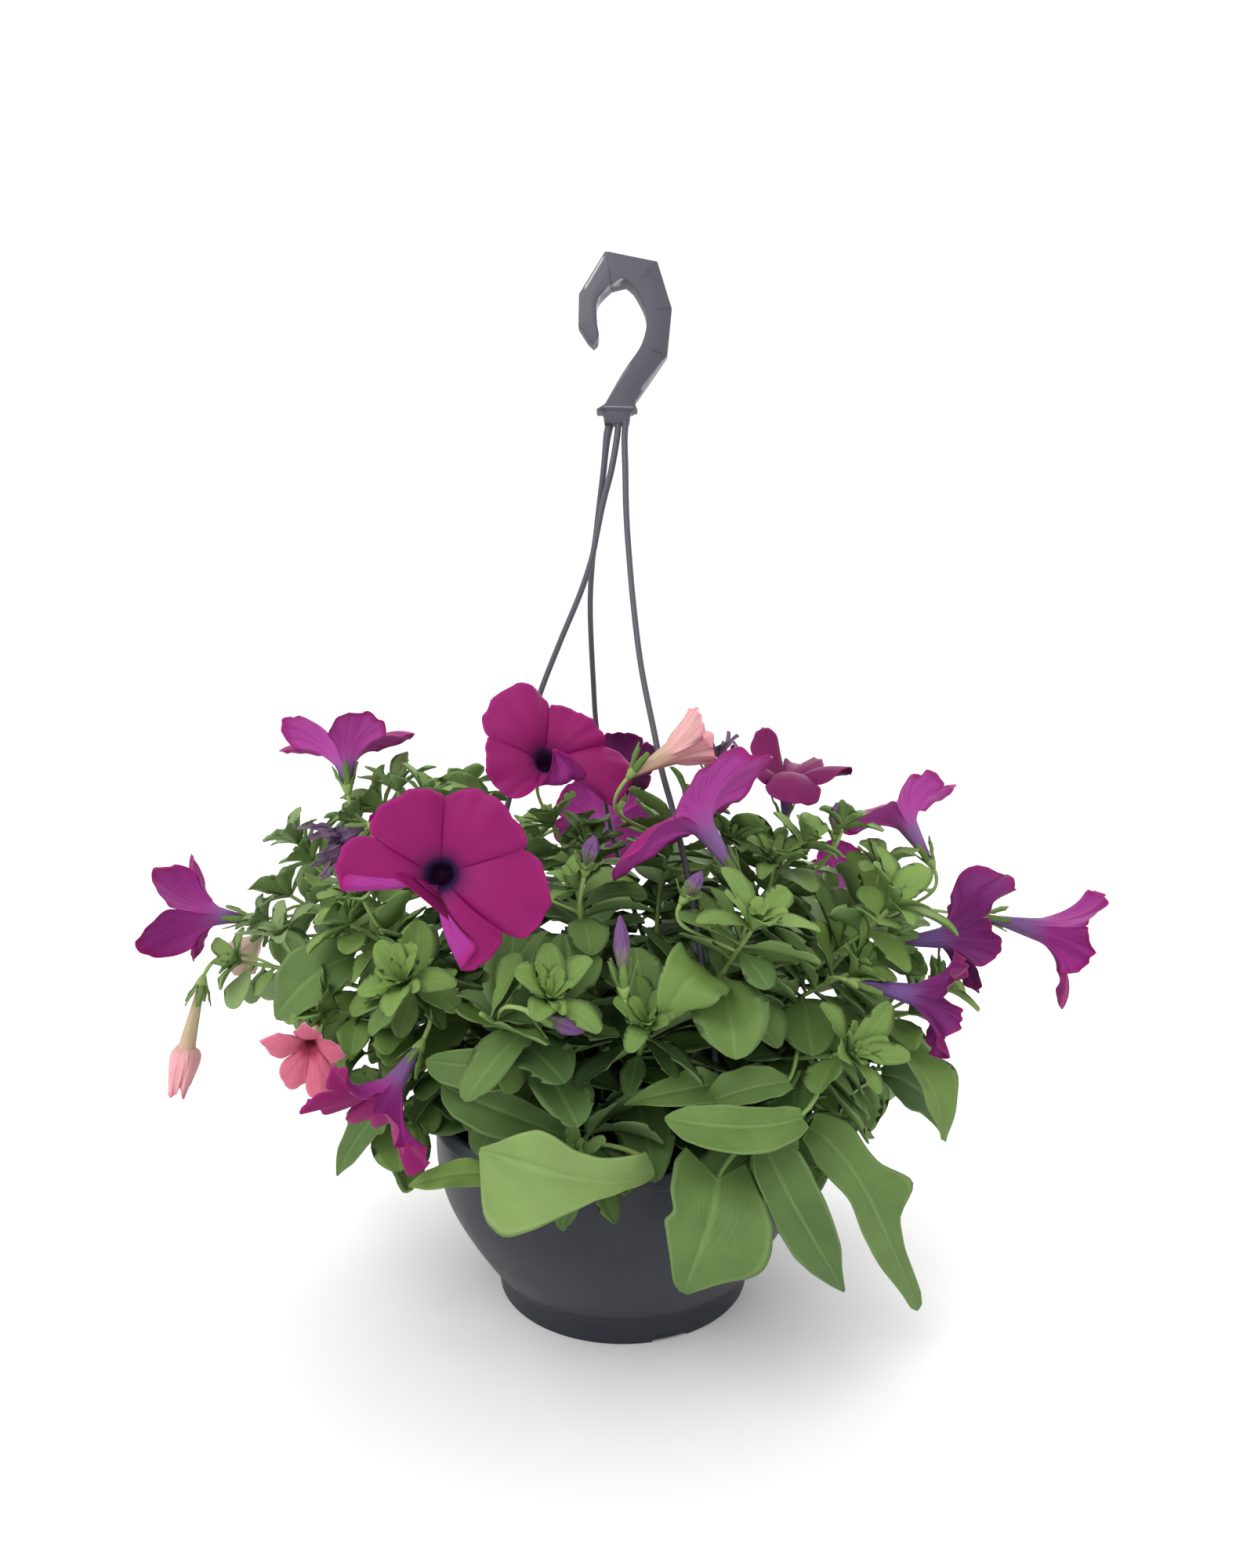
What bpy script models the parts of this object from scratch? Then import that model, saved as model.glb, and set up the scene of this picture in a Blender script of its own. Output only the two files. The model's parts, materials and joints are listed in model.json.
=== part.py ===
"""Petunia hanging basket: a bowl pot of compost on a moulded three-strap hanger, with a petunia in flower.

Run it with blender --background --python part.py, or from the text editor. Units are metres, +Z is up, and
the origin is the centre of the pot's flat underside. The mouth of the bowl looks up, and the front is -Y.
"""

import math
import random
from collections import namedtuple

import bmesh
import bpy
import numpy as np
from mathutils.bvhtree import BVHTree

# Driving dimensions
POT_HEIGHT = 0.111
RIM_RADIUS = 0.118
BOWL_RADIUS = 0.1164
FOOT_RADIUS = 0.0775
WALL = 0.0022
FLOOR = 0.003
TURNED_STEPS = 24
DRAIN_RADIUS = 0.004
DRAIN_CIRCLE = 0.05
DRAINS = 5
COMPOST_TOP = 0.0975
GAP = 0.0003
LUG_ANGLES = (180, 300, 60)
LUG_CIRCLE = 0.1075
LUG_TOP = 0.1078
LUG_UNDER = 0.1046
STRAP_RADIUS = 0.0019
HOOK_THICKNESS = 0.0115
STEM_RADIUS = 0.0019
STEM_DEPTH = 0.028
GOLDEN_ANGLE = math.radians(137.5)
BLADE_THICKNESS = 0.0013
PETAL_THICKNESS = 0.0012
CLEARANCE = 0.0004

for leftover in list(bpy.data.objects):
    bpy.data.objects.remove(leftover)

basket = bpy.data.collections.new("petunia_hanging_basket")
cutters = bpy.data.collections.new("cutters")
bpy.context.scene.collection.children.link(basket)
bpy.context.scene.collection.children.link(cutters)


def finish(name, colour, roughness):
    """A Principled material of one colour, for a non-metal."""
    made = bpy.data.materials.new(name)
    made.use_nodes = True
    shader = made.node_tree.nodes["Principled BSDF"]
    shader.inputs["Base Color"].default_value = (*colour, 1)
    shader.inputs["Roughness"].default_value = roughness
    shader.inputs["Metallic"].default_value = 0
    return made


SLATE_PLASTIC = finish("slate_plastic", (0.045, 0.052, 0.072), 0.42)
GREY_PLASTIC = finish("grey_plastic", (0.11, 0.115, 0.14), 0.45)
COMPOST = finish("compost", (0.03, 0.02, 0.013), 0.95)
LEAF_GREEN = finish("leaf_green", (0.12, 0.26, 0.06), 0.6)
MAGENTA_PETAL = finish("magenta_petal", (0.32, 0.01, 0.13), 0.55)
PINK_PETAL = finish("pink_petal", (0.75, 0.3, 0.3), 0.6)
PURPLE_BUD = finish("purple_bud", (0.16, 0.08, 0.2), 0.65)


# Making and joining solids


def place_mesh(name, mesh, material, collection):
    mesh.name = name
    mesh.materials.clear()
    mesh.materials.append(material)
    made = bpy.data.objects.new(name, mesh)
    collection.objects.link(made)
    return made


def solid_mesh(name, points, faces):
    """A mesh from points and faces, turned so that its faces point outwards."""
    mesh = bpy.data.meshes.new(name)
    mesh.from_pydata([tuple(point) for point in points], [], [tuple(face) for face in faces])
    shape = bmesh.new()
    shape.from_mesh(mesh)
    bmesh.ops.recalc_face_normals(shape, faces=shape.faces)
    shape.to_mesh(mesh)
    shape.free()
    return mesh


def baked(made):
    """Replaces an object's mesh by what its modifiers make of it, and returns the object."""
    bpy.context.view_layer.update()
    graph = bpy.context.evaluated_depsgraph_get()
    mesh = bpy.data.meshes.new_from_object(made.evaluated_get(graph))
    made.modifiers.clear()
    made.data = mesh
    return made


def boolean(made, operation, others, solver="EXACT"):
    """Joins others to the object, or cuts them from it, in one step, and removes them."""
    group = bpy.data.collections.new(made.name + "_" + operation.lower())
    cutters.children.link(group)
    for other in others:
        for home in list(other.users_collection):
            home.objects.unlink(other)
        group.objects.link(other)
        other.hide_render = True
        other.display_type = "WIRE"
    step = made.modifiers.new(operation.lower(), "BOOLEAN")
    step.operation = operation
    step.operand_type = "COLLECTION"
    step.collection = group
    step.solver = solver
    baked(made)
    for other in list(group.objects):
        bpy.data.objects.remove(other)
    bpy.data.collections.remove(group)
    return made


def keep_outer_shell(made):
    """Fills the hollows that a union has sealed in, by removing every shell but the largest."""
    shape = bmesh.new()
    shape.from_mesh(made.data)
    unseen = set(shape.verts)
    shells = []
    while unseen:
        shell = {unseen.pop()}
        border = list(shell)
        while border:
            for edge in border.pop().link_edges:
                for vertex in edge.verts:
                    if vertex in unseen:
                        unseen.discard(vertex)
                        shell.add(vertex)
                        border.append(vertex)
        shells.append(shell)
    largest = max(shells, key=len)
    inner = [vertex for vertex in shape.verts if vertex not in largest]
    bmesh.ops.delete(shape, geom=inner, context="VERTS")
    shape.to_mesh(made.data)
    shape.free()
    return made


def fused(name, pieces, material):
    """One object from closed pieces, each (points, faces), that reach well into one another."""
    made = place_mesh(name, solid_mesh(name, *pieces[0]), material, basket)
    others = []
    for number, piece in enumerate(pieces[1:]):
        mesh = solid_mesh(f"{name}_{number}", *piece)
        others.append(place_mesh(mesh.name, mesh, material, cutters))
    return keep_outer_shell(boolean(made, "UNION", others, "MANIFOLD")) if others else made


def cylinder(radius, low, high, centre, sides, collection=cutters):
    """An upright cylinder from height low to height high, at centre (x, y)."""
    shape = bmesh.new()
    bmesh.ops.create_cone(
        shape, cap_ends=True, segments=sides, radius1=radius, radius2=radius, depth=high - low
    )
    bmesh.ops.translate(shape, vec=(centre[0], centre[1], (low + high) / 2), verts=shape.verts)
    mesh = bpy.data.meshes.new("cylinder")
    shape.to_mesh(mesh)
    shape.free()
    return place_mesh("cylinder", mesh, SLATE_PLASTIC, collection)


def box(size, centre, turn=0.0):
    """A box of the given size, turned about the vertical and then moved to centre."""
    shape = bmesh.new()
    bmesh.ops.create_cube(shape, size=1)
    bmesh.ops.scale(shape, vec=size, verts=shape.verts)
    mesh = bpy.data.meshes.new("box")
    shape.to_mesh(mesh)
    shape.free()
    made = place_mesh("box", mesh, SLATE_PLASTIC, cutters)
    made.rotation_euler.z = turn
    made.location = centre
    return made


def turned(name, profile, material, steps):
    """A solid of revolution about Z. The profile of (radius, height) runs down its outer side."""
    mesh = bpy.data.meshes.new(name)
    points = [(radius, 0, height) for radius, height in profile]
    mesh.from_pydata(points, [(k, k + 1) for k in range(len(points) - 1)], [])
    made = place_mesh(name, mesh, material, basket)
    screw = made.modifiers.new("turn", "SCREW")
    screw.steps = steps
    screw.render_steps = steps
    screw.use_merge_vertices = True
    screw.merge_threshold = 0.00005
    baked(made)
    shape = bmesh.new()
    shape.from_mesh(made.data)
    bmesh.ops.dissolve_limit(
        shape, angle_limit=math.radians(0.5), verts=shape.verts, edges=shape.edges
    )
    shape.to_mesh(made.data)
    shape.free()
    return made


def around(angle_degrees, radius):
    angle = math.radians(angle_degrees)
    return radius * math.cos(angle), radius * math.sin(angle)


# Pot: one moulding, with a rolled rim, three strap lugs inside it, a foot and drain holes

BOWL_OUTSIDE = [
    (BOWL_RADIUS, 0.1015), (0.1154, 0.08), (0.1099, 0.06), (0.099, 0.04), (0.087, 0.0225),
    (0.0803, 0.0150),
]
FOOT_OUTSIDE = [(0.0787, 0.0145), (0.0785, 0.009), (FOOT_RADIUS - 0.001, 0)]
RIM_OUTSIDE = [(RIM_RADIUS - 0.0008, POT_HEIGHT), (RIM_RADIUS, 0.102)]


def inner_wall():
    """The bowl's inside, from the edge of its floor up to the rim."""
    rising = [(radius - WALL, height + 0.001) for radius, height in BOWL_OUTSIDE[-2:0:-1]]
    return [(0.0745, FLOOR), *rising, (BOWL_RADIUS - WALL, POT_HEIGHT)]


def make_pot():
    profile = [(0, FLOOR), *inner_wall(), *RIM_OUTSIDE, *BOWL_OUTSIDE, *FOOT_OUTSIDE, (0, 0)]
    pot = turned("pot", profile, SLATE_PLASTIC, TURNED_STEPS)
    lug_length = BOWL_RADIUS - LUG_CIRCLE + 0.005
    lug_centre = LUG_CIRCLE - 0.005 + lug_length / 2
    lugs = [
        box(
            (lug_length, 0.013, LUG_TOP - LUG_UNDER),
            (*around(angle, lug_centre), (LUG_TOP + LUG_UNDER) / 2),
            math.radians(angle),
        )
        for angle in LUG_ANGLES
    ]
    boolean(pot, "UNION", lugs, "MANIFOLD")
    strap_holes = [
        cylinder(STRAP_RADIUS + 0.0006, LUG_UNDER - 0.002, LUG_TOP + 0.002, around(angle, LUG_CIRCLE), 8)
        for angle in LUG_ANGLES
    ]
    drains = [
        cylinder(DRAIN_RADIUS, -0.002, FLOOR + 0.002, around(30 + 360 * k / DRAINS, DRAIN_CIRCLE), 6)
        for k in range(DRAINS)
    ]
    foot_notches = [
        box((0.012, 0.02, 0.0032), (*around(angle, FOOT_RADIUS), 0), math.radians(angle))
        for angle in (-70, 50, 170)
    ]
    return boolean(pot, "DIFFERENCE", strap_holes + drains + foot_notches, "MANIFOLD")


# Compost: fills the pot, with a hole for each stem


def make_compost(roots):
    inside = [(radius - GAP * 1.5, height) for radius, height in inner_wall()[1:-1]]
    foot = (inner_wall()[0][0] - GAP, FLOOR + GAP)
    profile = [(0, COMPOST_TOP), (inside[-1][0], COMPOST_TOP), *inside[::-1], foot, (0, FLOOR + GAP)]
    compost = turned("compost", profile, COMPOST, TURNED_STEPS)
    hole_radius = (STEM_RADIUS + 0.0004) / math.cos(math.pi / 4)
    bottom = COMPOST_TOP - STEM_DEPTH - 0.0015
    holes = [cylinder(hole_radius, bottom, 0.12, root, 4) for root in roots]
    return boolean(compost, "DIFFERENCE", holes, "MANIFOLD")


# Hanger: a hook, a collar and three straps in one moulding. The hook's outer edge is straight
# facets and its inner edge is a smooth arch, in the XZ plane.

HOOK_OUTER = [
    (-0.0184, 0.5862), (-0.0224, 0.5892), (-0.0284, 0.5983), (-0.0280, 0.6182), (-0.0116, 0.6449),
    (-0.0092, 0.6449), (0.0219, 0.6386), (0.0311, 0.6087), (0.0283, 0.5800), (0.0083, 0.5512),
    (0.0080, 0.5475), (0.0092, 0.5441), (-0.0172, 0.5441), (-0.0110, 0.5490),
]
HOOK_INNER = [
    (0.0004, 0.5688), (0.0115, 0.5855), (0.0151, 0.5983), (0.0139, 0.6071), (0.0099, 0.6166),
    (0.0020, 0.6258), (-0.0077, 0.6230), (-0.0156, 0.6142), (-0.0168, 0.6047), (-0.0152, 0.5935),
]
HOOK_BEVEL = 0.0009
# Where each strap runs from the collar down to its lug, in its own slack curve.
STRAP_ROUTES = {
    180: [
        (-0.0030, -0.001, 0.538), (-0.0040, 0.000, 0.5275), (-0.0075, 0.000, 0.5075),
        (-0.0125, -0.001, 0.4875), (-0.0165, -0.002, 0.4675), (-0.0200, -0.003, 0.4500),
        (-0.0275, -0.003, 0.4275), (-0.0400, -0.003, 0.3975), (-0.0535, -0.003, 0.3625),
        (-0.0680, -0.002, 0.3150), (-0.0850, -0.001, 0.2450), (-0.0990, 0.000, 0.1720),
    ],
    300: [
        (0.0018, -0.002, 0.538), (0.0010, -0.001, 0.5271), (0.0015, -0.003, 0.5064),
        (0.0020, -0.006, 0.4806), (0.0035, -0.011, 0.4545), (0.0064, -0.020, 0.4183),
        (0.0110, -0.032, 0.3781), (0.0185, -0.046, 0.3373), (0.0228, -0.054, 0.3143),
        (0.0291, -0.062, 0.2898), (0.0373, -0.071, 0.2500), (0.0470, -0.083, 0.1850),
    ],
    60: [
        (-0.0085, 0.002, 0.538), (-0.0105, 0.003, 0.5283), (-0.0126, 0.005, 0.5086),
        (-0.0152, 0.008, 0.4891), (-0.0178, 0.012, 0.4698), (-0.0205, 0.017, 0.4508),
        (-0.0220, 0.025, 0.4223), (-0.0206, 0.042, 0.3775), (-0.0184, 0.054, 0.3432),
        (-0.0090, 0.069, 0.2750), (0.0170, 0.084, 0.1900),
    ],
}


def flat_outline(name, outline, thickness):
    """A closed outline in the XZ plane, as a solid of this thickness along Y."""
    curve = bpy.data.curves.new(name, "CURVE")
    curve.dimensions = "2D"
    curve.fill_mode = "BOTH"
    curve.extrude = thickness / 2
    spline = curve.splines.new("POLY")
    spline.points.add(len(outline) - 1)
    for point, (across, up) in zip(spline.points, outline):
        point.co = (across, up, 0, 1)
    spline.use_cyclic_u = True
    drawn = bpy.data.objects.new(name, curve)
    drawn.rotation_euler.x = math.radians(90)
    cutters.objects.link(drawn)
    return curve_to_mesh(drawn)


def curve_to_mesh(drawn):
    """The mesh object that stands for a curve object, with its caps welded on."""
    bpy.context.view_layer.update()
    mesh = bpy.data.meshes.new_from_object(drawn.evaluated_get(bpy.context.evaluated_depsgraph_get()))
    mesh.transform(drawn.matrix_world)
    shape = bmesh.new()
    shape.from_mesh(mesh)
    bmesh.ops.remove_doubles(shape, verts=shape.verts, dist=0.00001)
    bmesh.ops.recalc_face_normals(shape, faces=shape.faces)
    shape.to_mesh(mesh)
    shape.free()
    curve = drawn.data
    bpy.data.objects.remove(drawn)
    bpy.data.curves.remove(curve)
    return mesh


def tube(points, radii, bevel_resolution):
    """The mesh of a round bar through the points, with its own radius at each."""
    curve = bpy.data.curves.new("tube", "CURVE")
    curve.dimensions = "3D"
    curve.bevel_depth = 1
    curve.bevel_resolution = bevel_resolution
    curve.use_fill_caps = True
    spline = curve.splines.new("POLY")
    spline.points.add(len(points) - 1)
    for point, place, radius in zip(spline.points, points, radii):
        point.co = (*place, 1)
        point.radius = radius
    drawn = bpy.data.objects.new("tube", curve)
    cutters.objects.link(drawn)
    return curve_to_mesh(drawn)


def smooth_route(points, count):
    """Count points, evenly spread, on a smooth curve through the given ones (Catmull-Rom)."""
    knots = np.array([points[0], *points, points[-1]], float)
    spans = len(points) - 1
    at = np.linspace(0, spans, count)
    first = np.minimum(at.astype(int), spans - 1)
    t = (at - first)[:, None]
    a, b, c, d = (knots[first + k] for k in range(4))
    bend = 2 * a - 5 * b + 4 * c - d
    return 0.5 * (2 * b + (c - a) * t + bend * t**2 + (3 * b - a - 3 * c + d) * t**3)


def strap_route(angle):
    lug = around(angle, LUG_CIRCLE)
    ending = [(*lug, LUG_TOP + 0.012), (*lug, LUG_TOP + 0.002), (*lug, LUG_UNDER - 0.001)]
    return smooth_route([*STRAP_ROUTES[angle], *ending], 17)


def make_hanger():
    hook = flat_outline("hook", HOOK_OUTER + HOOK_INNER, HOOK_THICKNESS)
    hanger = place_mesh("hanger", hook, GREY_PLASTIC, basket)
    bevel = hanger.modifiers.new("edges", "BEVEL")
    bevel.width = HOOK_BEVEL
    bevel.segments = 1
    bevel.limit_method = "ANGLE"
    bevel.angle_limit = math.radians(60)
    baked(hanger)
    others = [box((0.0205, 0.0085, 0.0145), (-0.0038, 0, 0.5395))]
    for angle in LUG_ANGLES:
        route = strap_route(angle)
        strap = tube(route, [STRAP_RADIUS] * len(route), 0)
        others.append(place_mesh("strap", strap, GREY_PLASTIC, cutters))
        others.append(cylinder(0.0036, 0.1002, LUG_UNDER - GAP, around(angle, LUG_CIRCLE), 8))
    return boolean(hanger, "UNION", others, "MANIFOLD")


# Plant: shapes shared by every shoot and flower


def unit(vector):
    vector = np.asarray(vector, float)
    return vector / np.linalg.norm(vector)


def level_of(aim):
    """The level way square to an aim."""
    return unit(np.cross([0.01, 0.02, 1], unit(aim)))


def bezier(controls, t):
    """Points at t of the Bezier curve with these control points."""
    controls = np.asarray(controls, float)
    t = np.atleast_1d(t)[:, None]
    degree = len(controls) - 1
    return sum(
        math.comb(degree, k) * t**k * (1 - t) ** (degree - k) * controls[k]
        for k in range(degree + 1)
    )


OPEN = "open"


def loft(rings, base=None, tip=None, mirrored_bands=(), mirrored_sides=()):
    """A solid through rings of equal counts. Base and tip are points, None for a flat end, or OPEN.

    Each quad is cut from its first corner, or the other way on mirrored bands and sides, so that the
    two faces of a thin blade are cut alike.
    """
    count = len(rings[0])
    points = np.concatenate([np.asarray(ring, float) for ring in rings])
    faces = []
    for band in range(len(rings) - 1):
        for side in range(count):
            a, b = band * count + side, band * count + (side + 1) % count
            c, d = b + count, a + count
            if (band in mirrored_bands) != (side in mirrored_sides):
                faces += [(a, b, d), (b, c, d)]
            else:
                faces += [(a, b, c), (a, c, d)]
    for end, ring in ((base, 0), (tip, len(rings) - 1)):
        loop = [ring * count + side for side in range(count)]
        if ring == 0:
            loop.reverse()
        if end is None:
            faces.append(tuple(loop))
        elif end is not OPEN:
            points = np.vstack([points, end])
            faces += [(loop[k], loop[(k + 1) % count], len(points) - 1) for k in range(count)]
    return points, faces


# A leaf grows from root to tip over its knee. Its half width swells from the stalk to its widest part
# and closes at the tip, its two halves fold up from the midrib, and its edges wave.
Leaf = namedtuple("Leaf", "root knee tip width roll fold wave phase swell stations")
STALK_PART = 0.13
STALK_WIDTH = 0.0011
MIDDLE_LEAF = (0.12, 0.38, 0.70)
LARGE_LEAF = (0.1, 0.22, 0.4, 0.6, 0.82)


def leaf_frame(leaf, along):
    """Midrib points, the way across the blade and the way out of its face, at each part along."""
    line = [leaf.root, leaf.knee, leaf.tip]
    along = np.asarray(along)
    rib = bezier(line, along)
    ahead = bezier(line, along + 0.01) - rib
    ahead /= np.linalg.norm(ahead, axis=1, keepdims=True)
    level = np.cross(np.asarray(leaf.knee) - leaf.root + [0, 0, 1e-4], [0.02, 0.01, 1])
    across = level - (ahead @ level)[:, None] * ahead
    across /= np.linalg.norm(across, axis=1, keepdims=True)
    out = np.cross(across, ahead)
    cos, sin = math.cos(leaf.roll), math.sin(leaf.roll)
    return rib, across * cos + out * sin, out * cos - across * sin


def half_width(leaf, along):
    """Half width: a sine hump over the blade, pushed towards the stalk by swell."""
    part = np.clip((np.asarray(along) - STALK_PART) / (1 - STALK_PART), 0, 1)
    hump = np.sin(math.pi * part**leaf.swell) ** 0.8
    return STALK_WIDTH + (leaf.width - STALK_WIDTH) * hump


def edge_wave(leaf, along, side):
    """How far an edge stands out of the blade's face. Side is -1 or 1."""
    along = np.asarray(along)
    return leaf.wave * np.sin(leaf.phase + 0.65 + 0.65 * side + 11 * along) * half_width(leaf, along) / leaf.width


def leaf_solid(leaf, extra=0.0):
    """A blade with thin edges, made extra thicker for tests of room.

    A large leaf has a thick midrib, and a smaller one has a keel under it.
    """
    along = np.array(leaf.stations)
    rib, across, out = leaf_frame(leaf, along)
    wide = half_width(leaf, along)[:, None]
    lift = wide * math.sin(leaf.fold)
    reach = across * (wide * math.cos(leaf.fold) + extra)
    left = rib - reach + out * (lift + edge_wave(leaf, along, -1)[:, None])
    right = rib + reach + out * (lift + edge_wave(leaf, along, 1)[:, None])
    if leaf.stations[-1] == LARGE_LEAF[-1]:
        thick = out * (BLADE_THICKNESS / 2 + extra)
        rings = np.stack([left, rib + thick, right, rib - thick], axis=1)
        return loft(rings, leaf.root, leaf.tip, mirrored_sides=(2, 3))
    rings = np.stack([left, right, rib - out * (BLADE_THICKNESS + extra)], axis=1)
    return loft(rings, leaf.root, leaf.tip)


# A flower stands on its foot and opens along aim. Its tube widens to the throat, and from there the
# limb spreads over five lobes, each of which turns from the throat's angle to its own: 0 degrees is
# straight on, 90 is flat open and more is rolled back.
Flower = namedtuple("Flower", "shoot foot aim tube throat limb lobes spin notch ruffle")
TUBE_RADIUS = 0.0019
CUP_HEIGHT = 0.0034
THROAT_ANGLE = math.radians(28)
LOBE_STEP = 2 * math.pi / 5


def lobe_weights(angle):
    """How far each of the five lobes has a say at this angle round the flower."""
    apart = angle[..., None] - LOBE_STEP * np.arange(5)
    nearness = np.clip(np.cos(apart), 0, 1) ** 6
    return nearness / nearness.sum(axis=-1, keepdims=True)


def limb_surface(flower, part, angle):
    """Radius from the axis and height along it, at each part out from the throat and each angle.

    A lobe's line starts at the throat's angle and turns evenly to the lobe's own, so radius and
    height are the sums of sines and of cosines along it. Notches shorten it between lobes.
    """
    angle = np.asarray(angle) + 0 * part
    final = np.radians((lobe_weights(angle) * np.array(flower.lobes)).sum(axis=-1))
    length = flower.limb * (1 - flower.notch * (1 - np.abs(np.cos(2.5 * angle)) ** 0.6))
    turn = final - THROAT_ANGLE + 1e-6
    now = THROAT_ANGLE + turn * part
    radius = flower.throat + length * (math.cos(THROAT_ANGLE) - np.cos(now)) / turn
    height = flower.tube + length * (np.sin(now) - math.sin(THROAT_ANGLE)) / turn
    ripple = flower.ruffle * part**2 * np.sin(5 * angle + 7 * flower.spin + 2.2)
    return radius - ripple * np.cos(now), height + ripple * np.sin(now)


def flower_points(flower, radius, height, angle):
    """World points from radius and height along the flower's axis, at an angle round it."""
    aim = unit(flower.aim)
    level = level_of(aim)
    up = np.cross(aim, level)
    angle = np.asarray(angle) + flower.spin
    outward = np.cos(angle)[..., None] * level + np.sin(angle)[..., None] * up
    along = np.asarray(height)[..., None] * aim
    return np.asarray(flower.foot) + along + np.asarray(radius)[..., None] * outward


def axis_point(flower, height):
    return np.asarray(flower.foot) + unit(flower.aim) * height


def corolla_solid(flower, corners_per_lobe):
    """The trumpet: a closed tube, then a limb with thin edges and an open throat."""
    corners = 5 * corners_per_lobe
    angle = LOBE_STEP * (0.5 + np.arange(corners) / corners_per_lobe)
    level = np.ones(corners)
    mid_radius, mid_height = limb_surface(flower, np.array(0.5), angle)
    edge_radius, edge_height = limb_surface(flower, np.array(1.0), angle)
    lean = np.arctan2(edge_radius - mid_radius, edge_height - mid_height)
    shift_out, shift_up = np.cos(lean) * PETAL_THICKNESS / 2, np.sin(lean) * PETAL_THICKNESS / 2
    rings = [
        (TUBE_RADIUS * level, CUP_HEIGHT * level),
        ((flower.throat + 0.0008) * level, flower.tube * level),
        (mid_radius + shift_out, mid_height - shift_up),
        (edge_radius, edge_height),
        (mid_radius - shift_out, mid_height + shift_up),
        ((flower.throat - 0.0008) * level, (flower.tube + 0.0006) * level),
    ]
    solid_rings = [flower_points(flower, radius, height, angle) for radius, height in rings]
    return loft(solid_rings, None, axis_point(flower, flower.tube * 0.7), mirrored_bands=(3, 4))


def bud_solid(flower):
    """A closed or withered flower: a six-sided spindle that turns a little and ends in a point."""
    angle = np.arange(6) * math.pi / 3
    level = np.ones(6)
    stations = (
        (CUP_HEIGHT, TUBE_RADIUS), (0.45 * flower.tube, flower.throat * 0.4), (flower.tube, flower.throat),
    )
    rings = [
        flower_points(flower, radius * level, height * level, angle + 25 * height)
        for height, radius in stations
    ]
    return loft(rings, None, axis_point(flower, flower.tube + flower.limb))


# Stems have five sides and end in a crown: sepals round a flower's foot, or a tuft of young leaves.


def swept_rings(route, radii, level):
    """Rings of five points along a route, turned as little as can be on the way back from its end."""
    ahead = np.gradient(np.asarray(route), axis=0)
    ahead /= np.linalg.norm(ahead, axis=1, keepdims=True)
    angle = LOBE_STEP * np.arange(5)[:, None]
    rings = []
    for place, radius, way in zip(route[::-1], radii[::-1], ahead[::-1]):
        level = unit(level - (level @ way) * way)
        rings.append(place + radius * (np.cos(angle) * level + np.sin(angle) * np.cross(way, level)))
    return rings[::-1]


CUP_NOTCH = (0.0040, 0.0062)
SEPAL_TIP = (0.0085, 0.017)
CALYX_FOOT = 0.0021


def calyx_crown(flower):
    """Points and faces of five pointed sepals on a cup. Points 0 to 4 are the foot, which is left open.

    The cup's socket is where the flower's tube stands.
    """
    notch_angle = LOBE_STEP * np.arange(5)
    level = np.ones(5)
    foot = flower_points(flower, CALYX_FOOT * level, -0.0008 * level, notch_angle)
    notch = flower_points(flower, CUP_NOTCH[0] * level, CUP_NOTCH[1] * level, notch_angle)
    tip_radius = max(SEPAL_TIP[0], flower.throat + 0.002)
    tip_height = min(SEPAL_TIP[1], 0.75 * flower.tube)
    tip = flower_points(flower, tip_radius * level, tip_height * level, notch_angle + LOBE_STEP / 2)
    socket = flower_points(flower, 0.0031 * level, (CUP_HEIGHT - GAP) * level, notch_angle)
    faces = [tuple(range(15, 20))]
    for k in range(5):
        after = (k + 1) % 5
        faces += [(k, after, 10 + k), (k, 10 + k, 5 + k), (after, 5 + after, 10 + k)]
        faces += [(15 + after, 15 + k, 10 + k), (15 + k, 5 + k, 10 + k), (5 + after, 15 + after, 10 + k)]
    return np.concatenate([foot, notch, tip, socket]), faces


# A tuft: five young leaves at a stem's tip. Opening is how far each leans out from the stem.
Tuft = namedtuple("Tuft", "place aim spin length openings slim")


def tuft_ways(tuft, shift=0.0):
    """The five ways out from a tuft's axis, shifted round it by part of a step."""
    aim = unit(tuft.aim)
    level = level_of(aim)
    angle = (tuft.spin + LOBE_STEP * (np.arange(5) + shift))[:, None]
    return np.cos(angle) * level + np.sin(angle) * np.cross(aim, level)


def tuft_blades(tuft):
    """Middle, tip, way across and way out of the upper face of each of the five young leaves."""
    aim = unit(tuft.aim)
    outward = tuft_ways(tuft, 0.5)
    lean = np.array(tuft.openings)[:, None]
    start = np.sin(lean) * outward + np.cos(lean) * aim
    end = np.sin(lean + 0.4) * outward + np.cos(lean + 0.4) * aim
    middle = tuft.place + outward * 0.001 + start * tuft.length * 0.5
    across = np.cross(aim, outward)
    return middle, middle + end * tuft.length * 0.5, across, np.cross(start, across)


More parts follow.
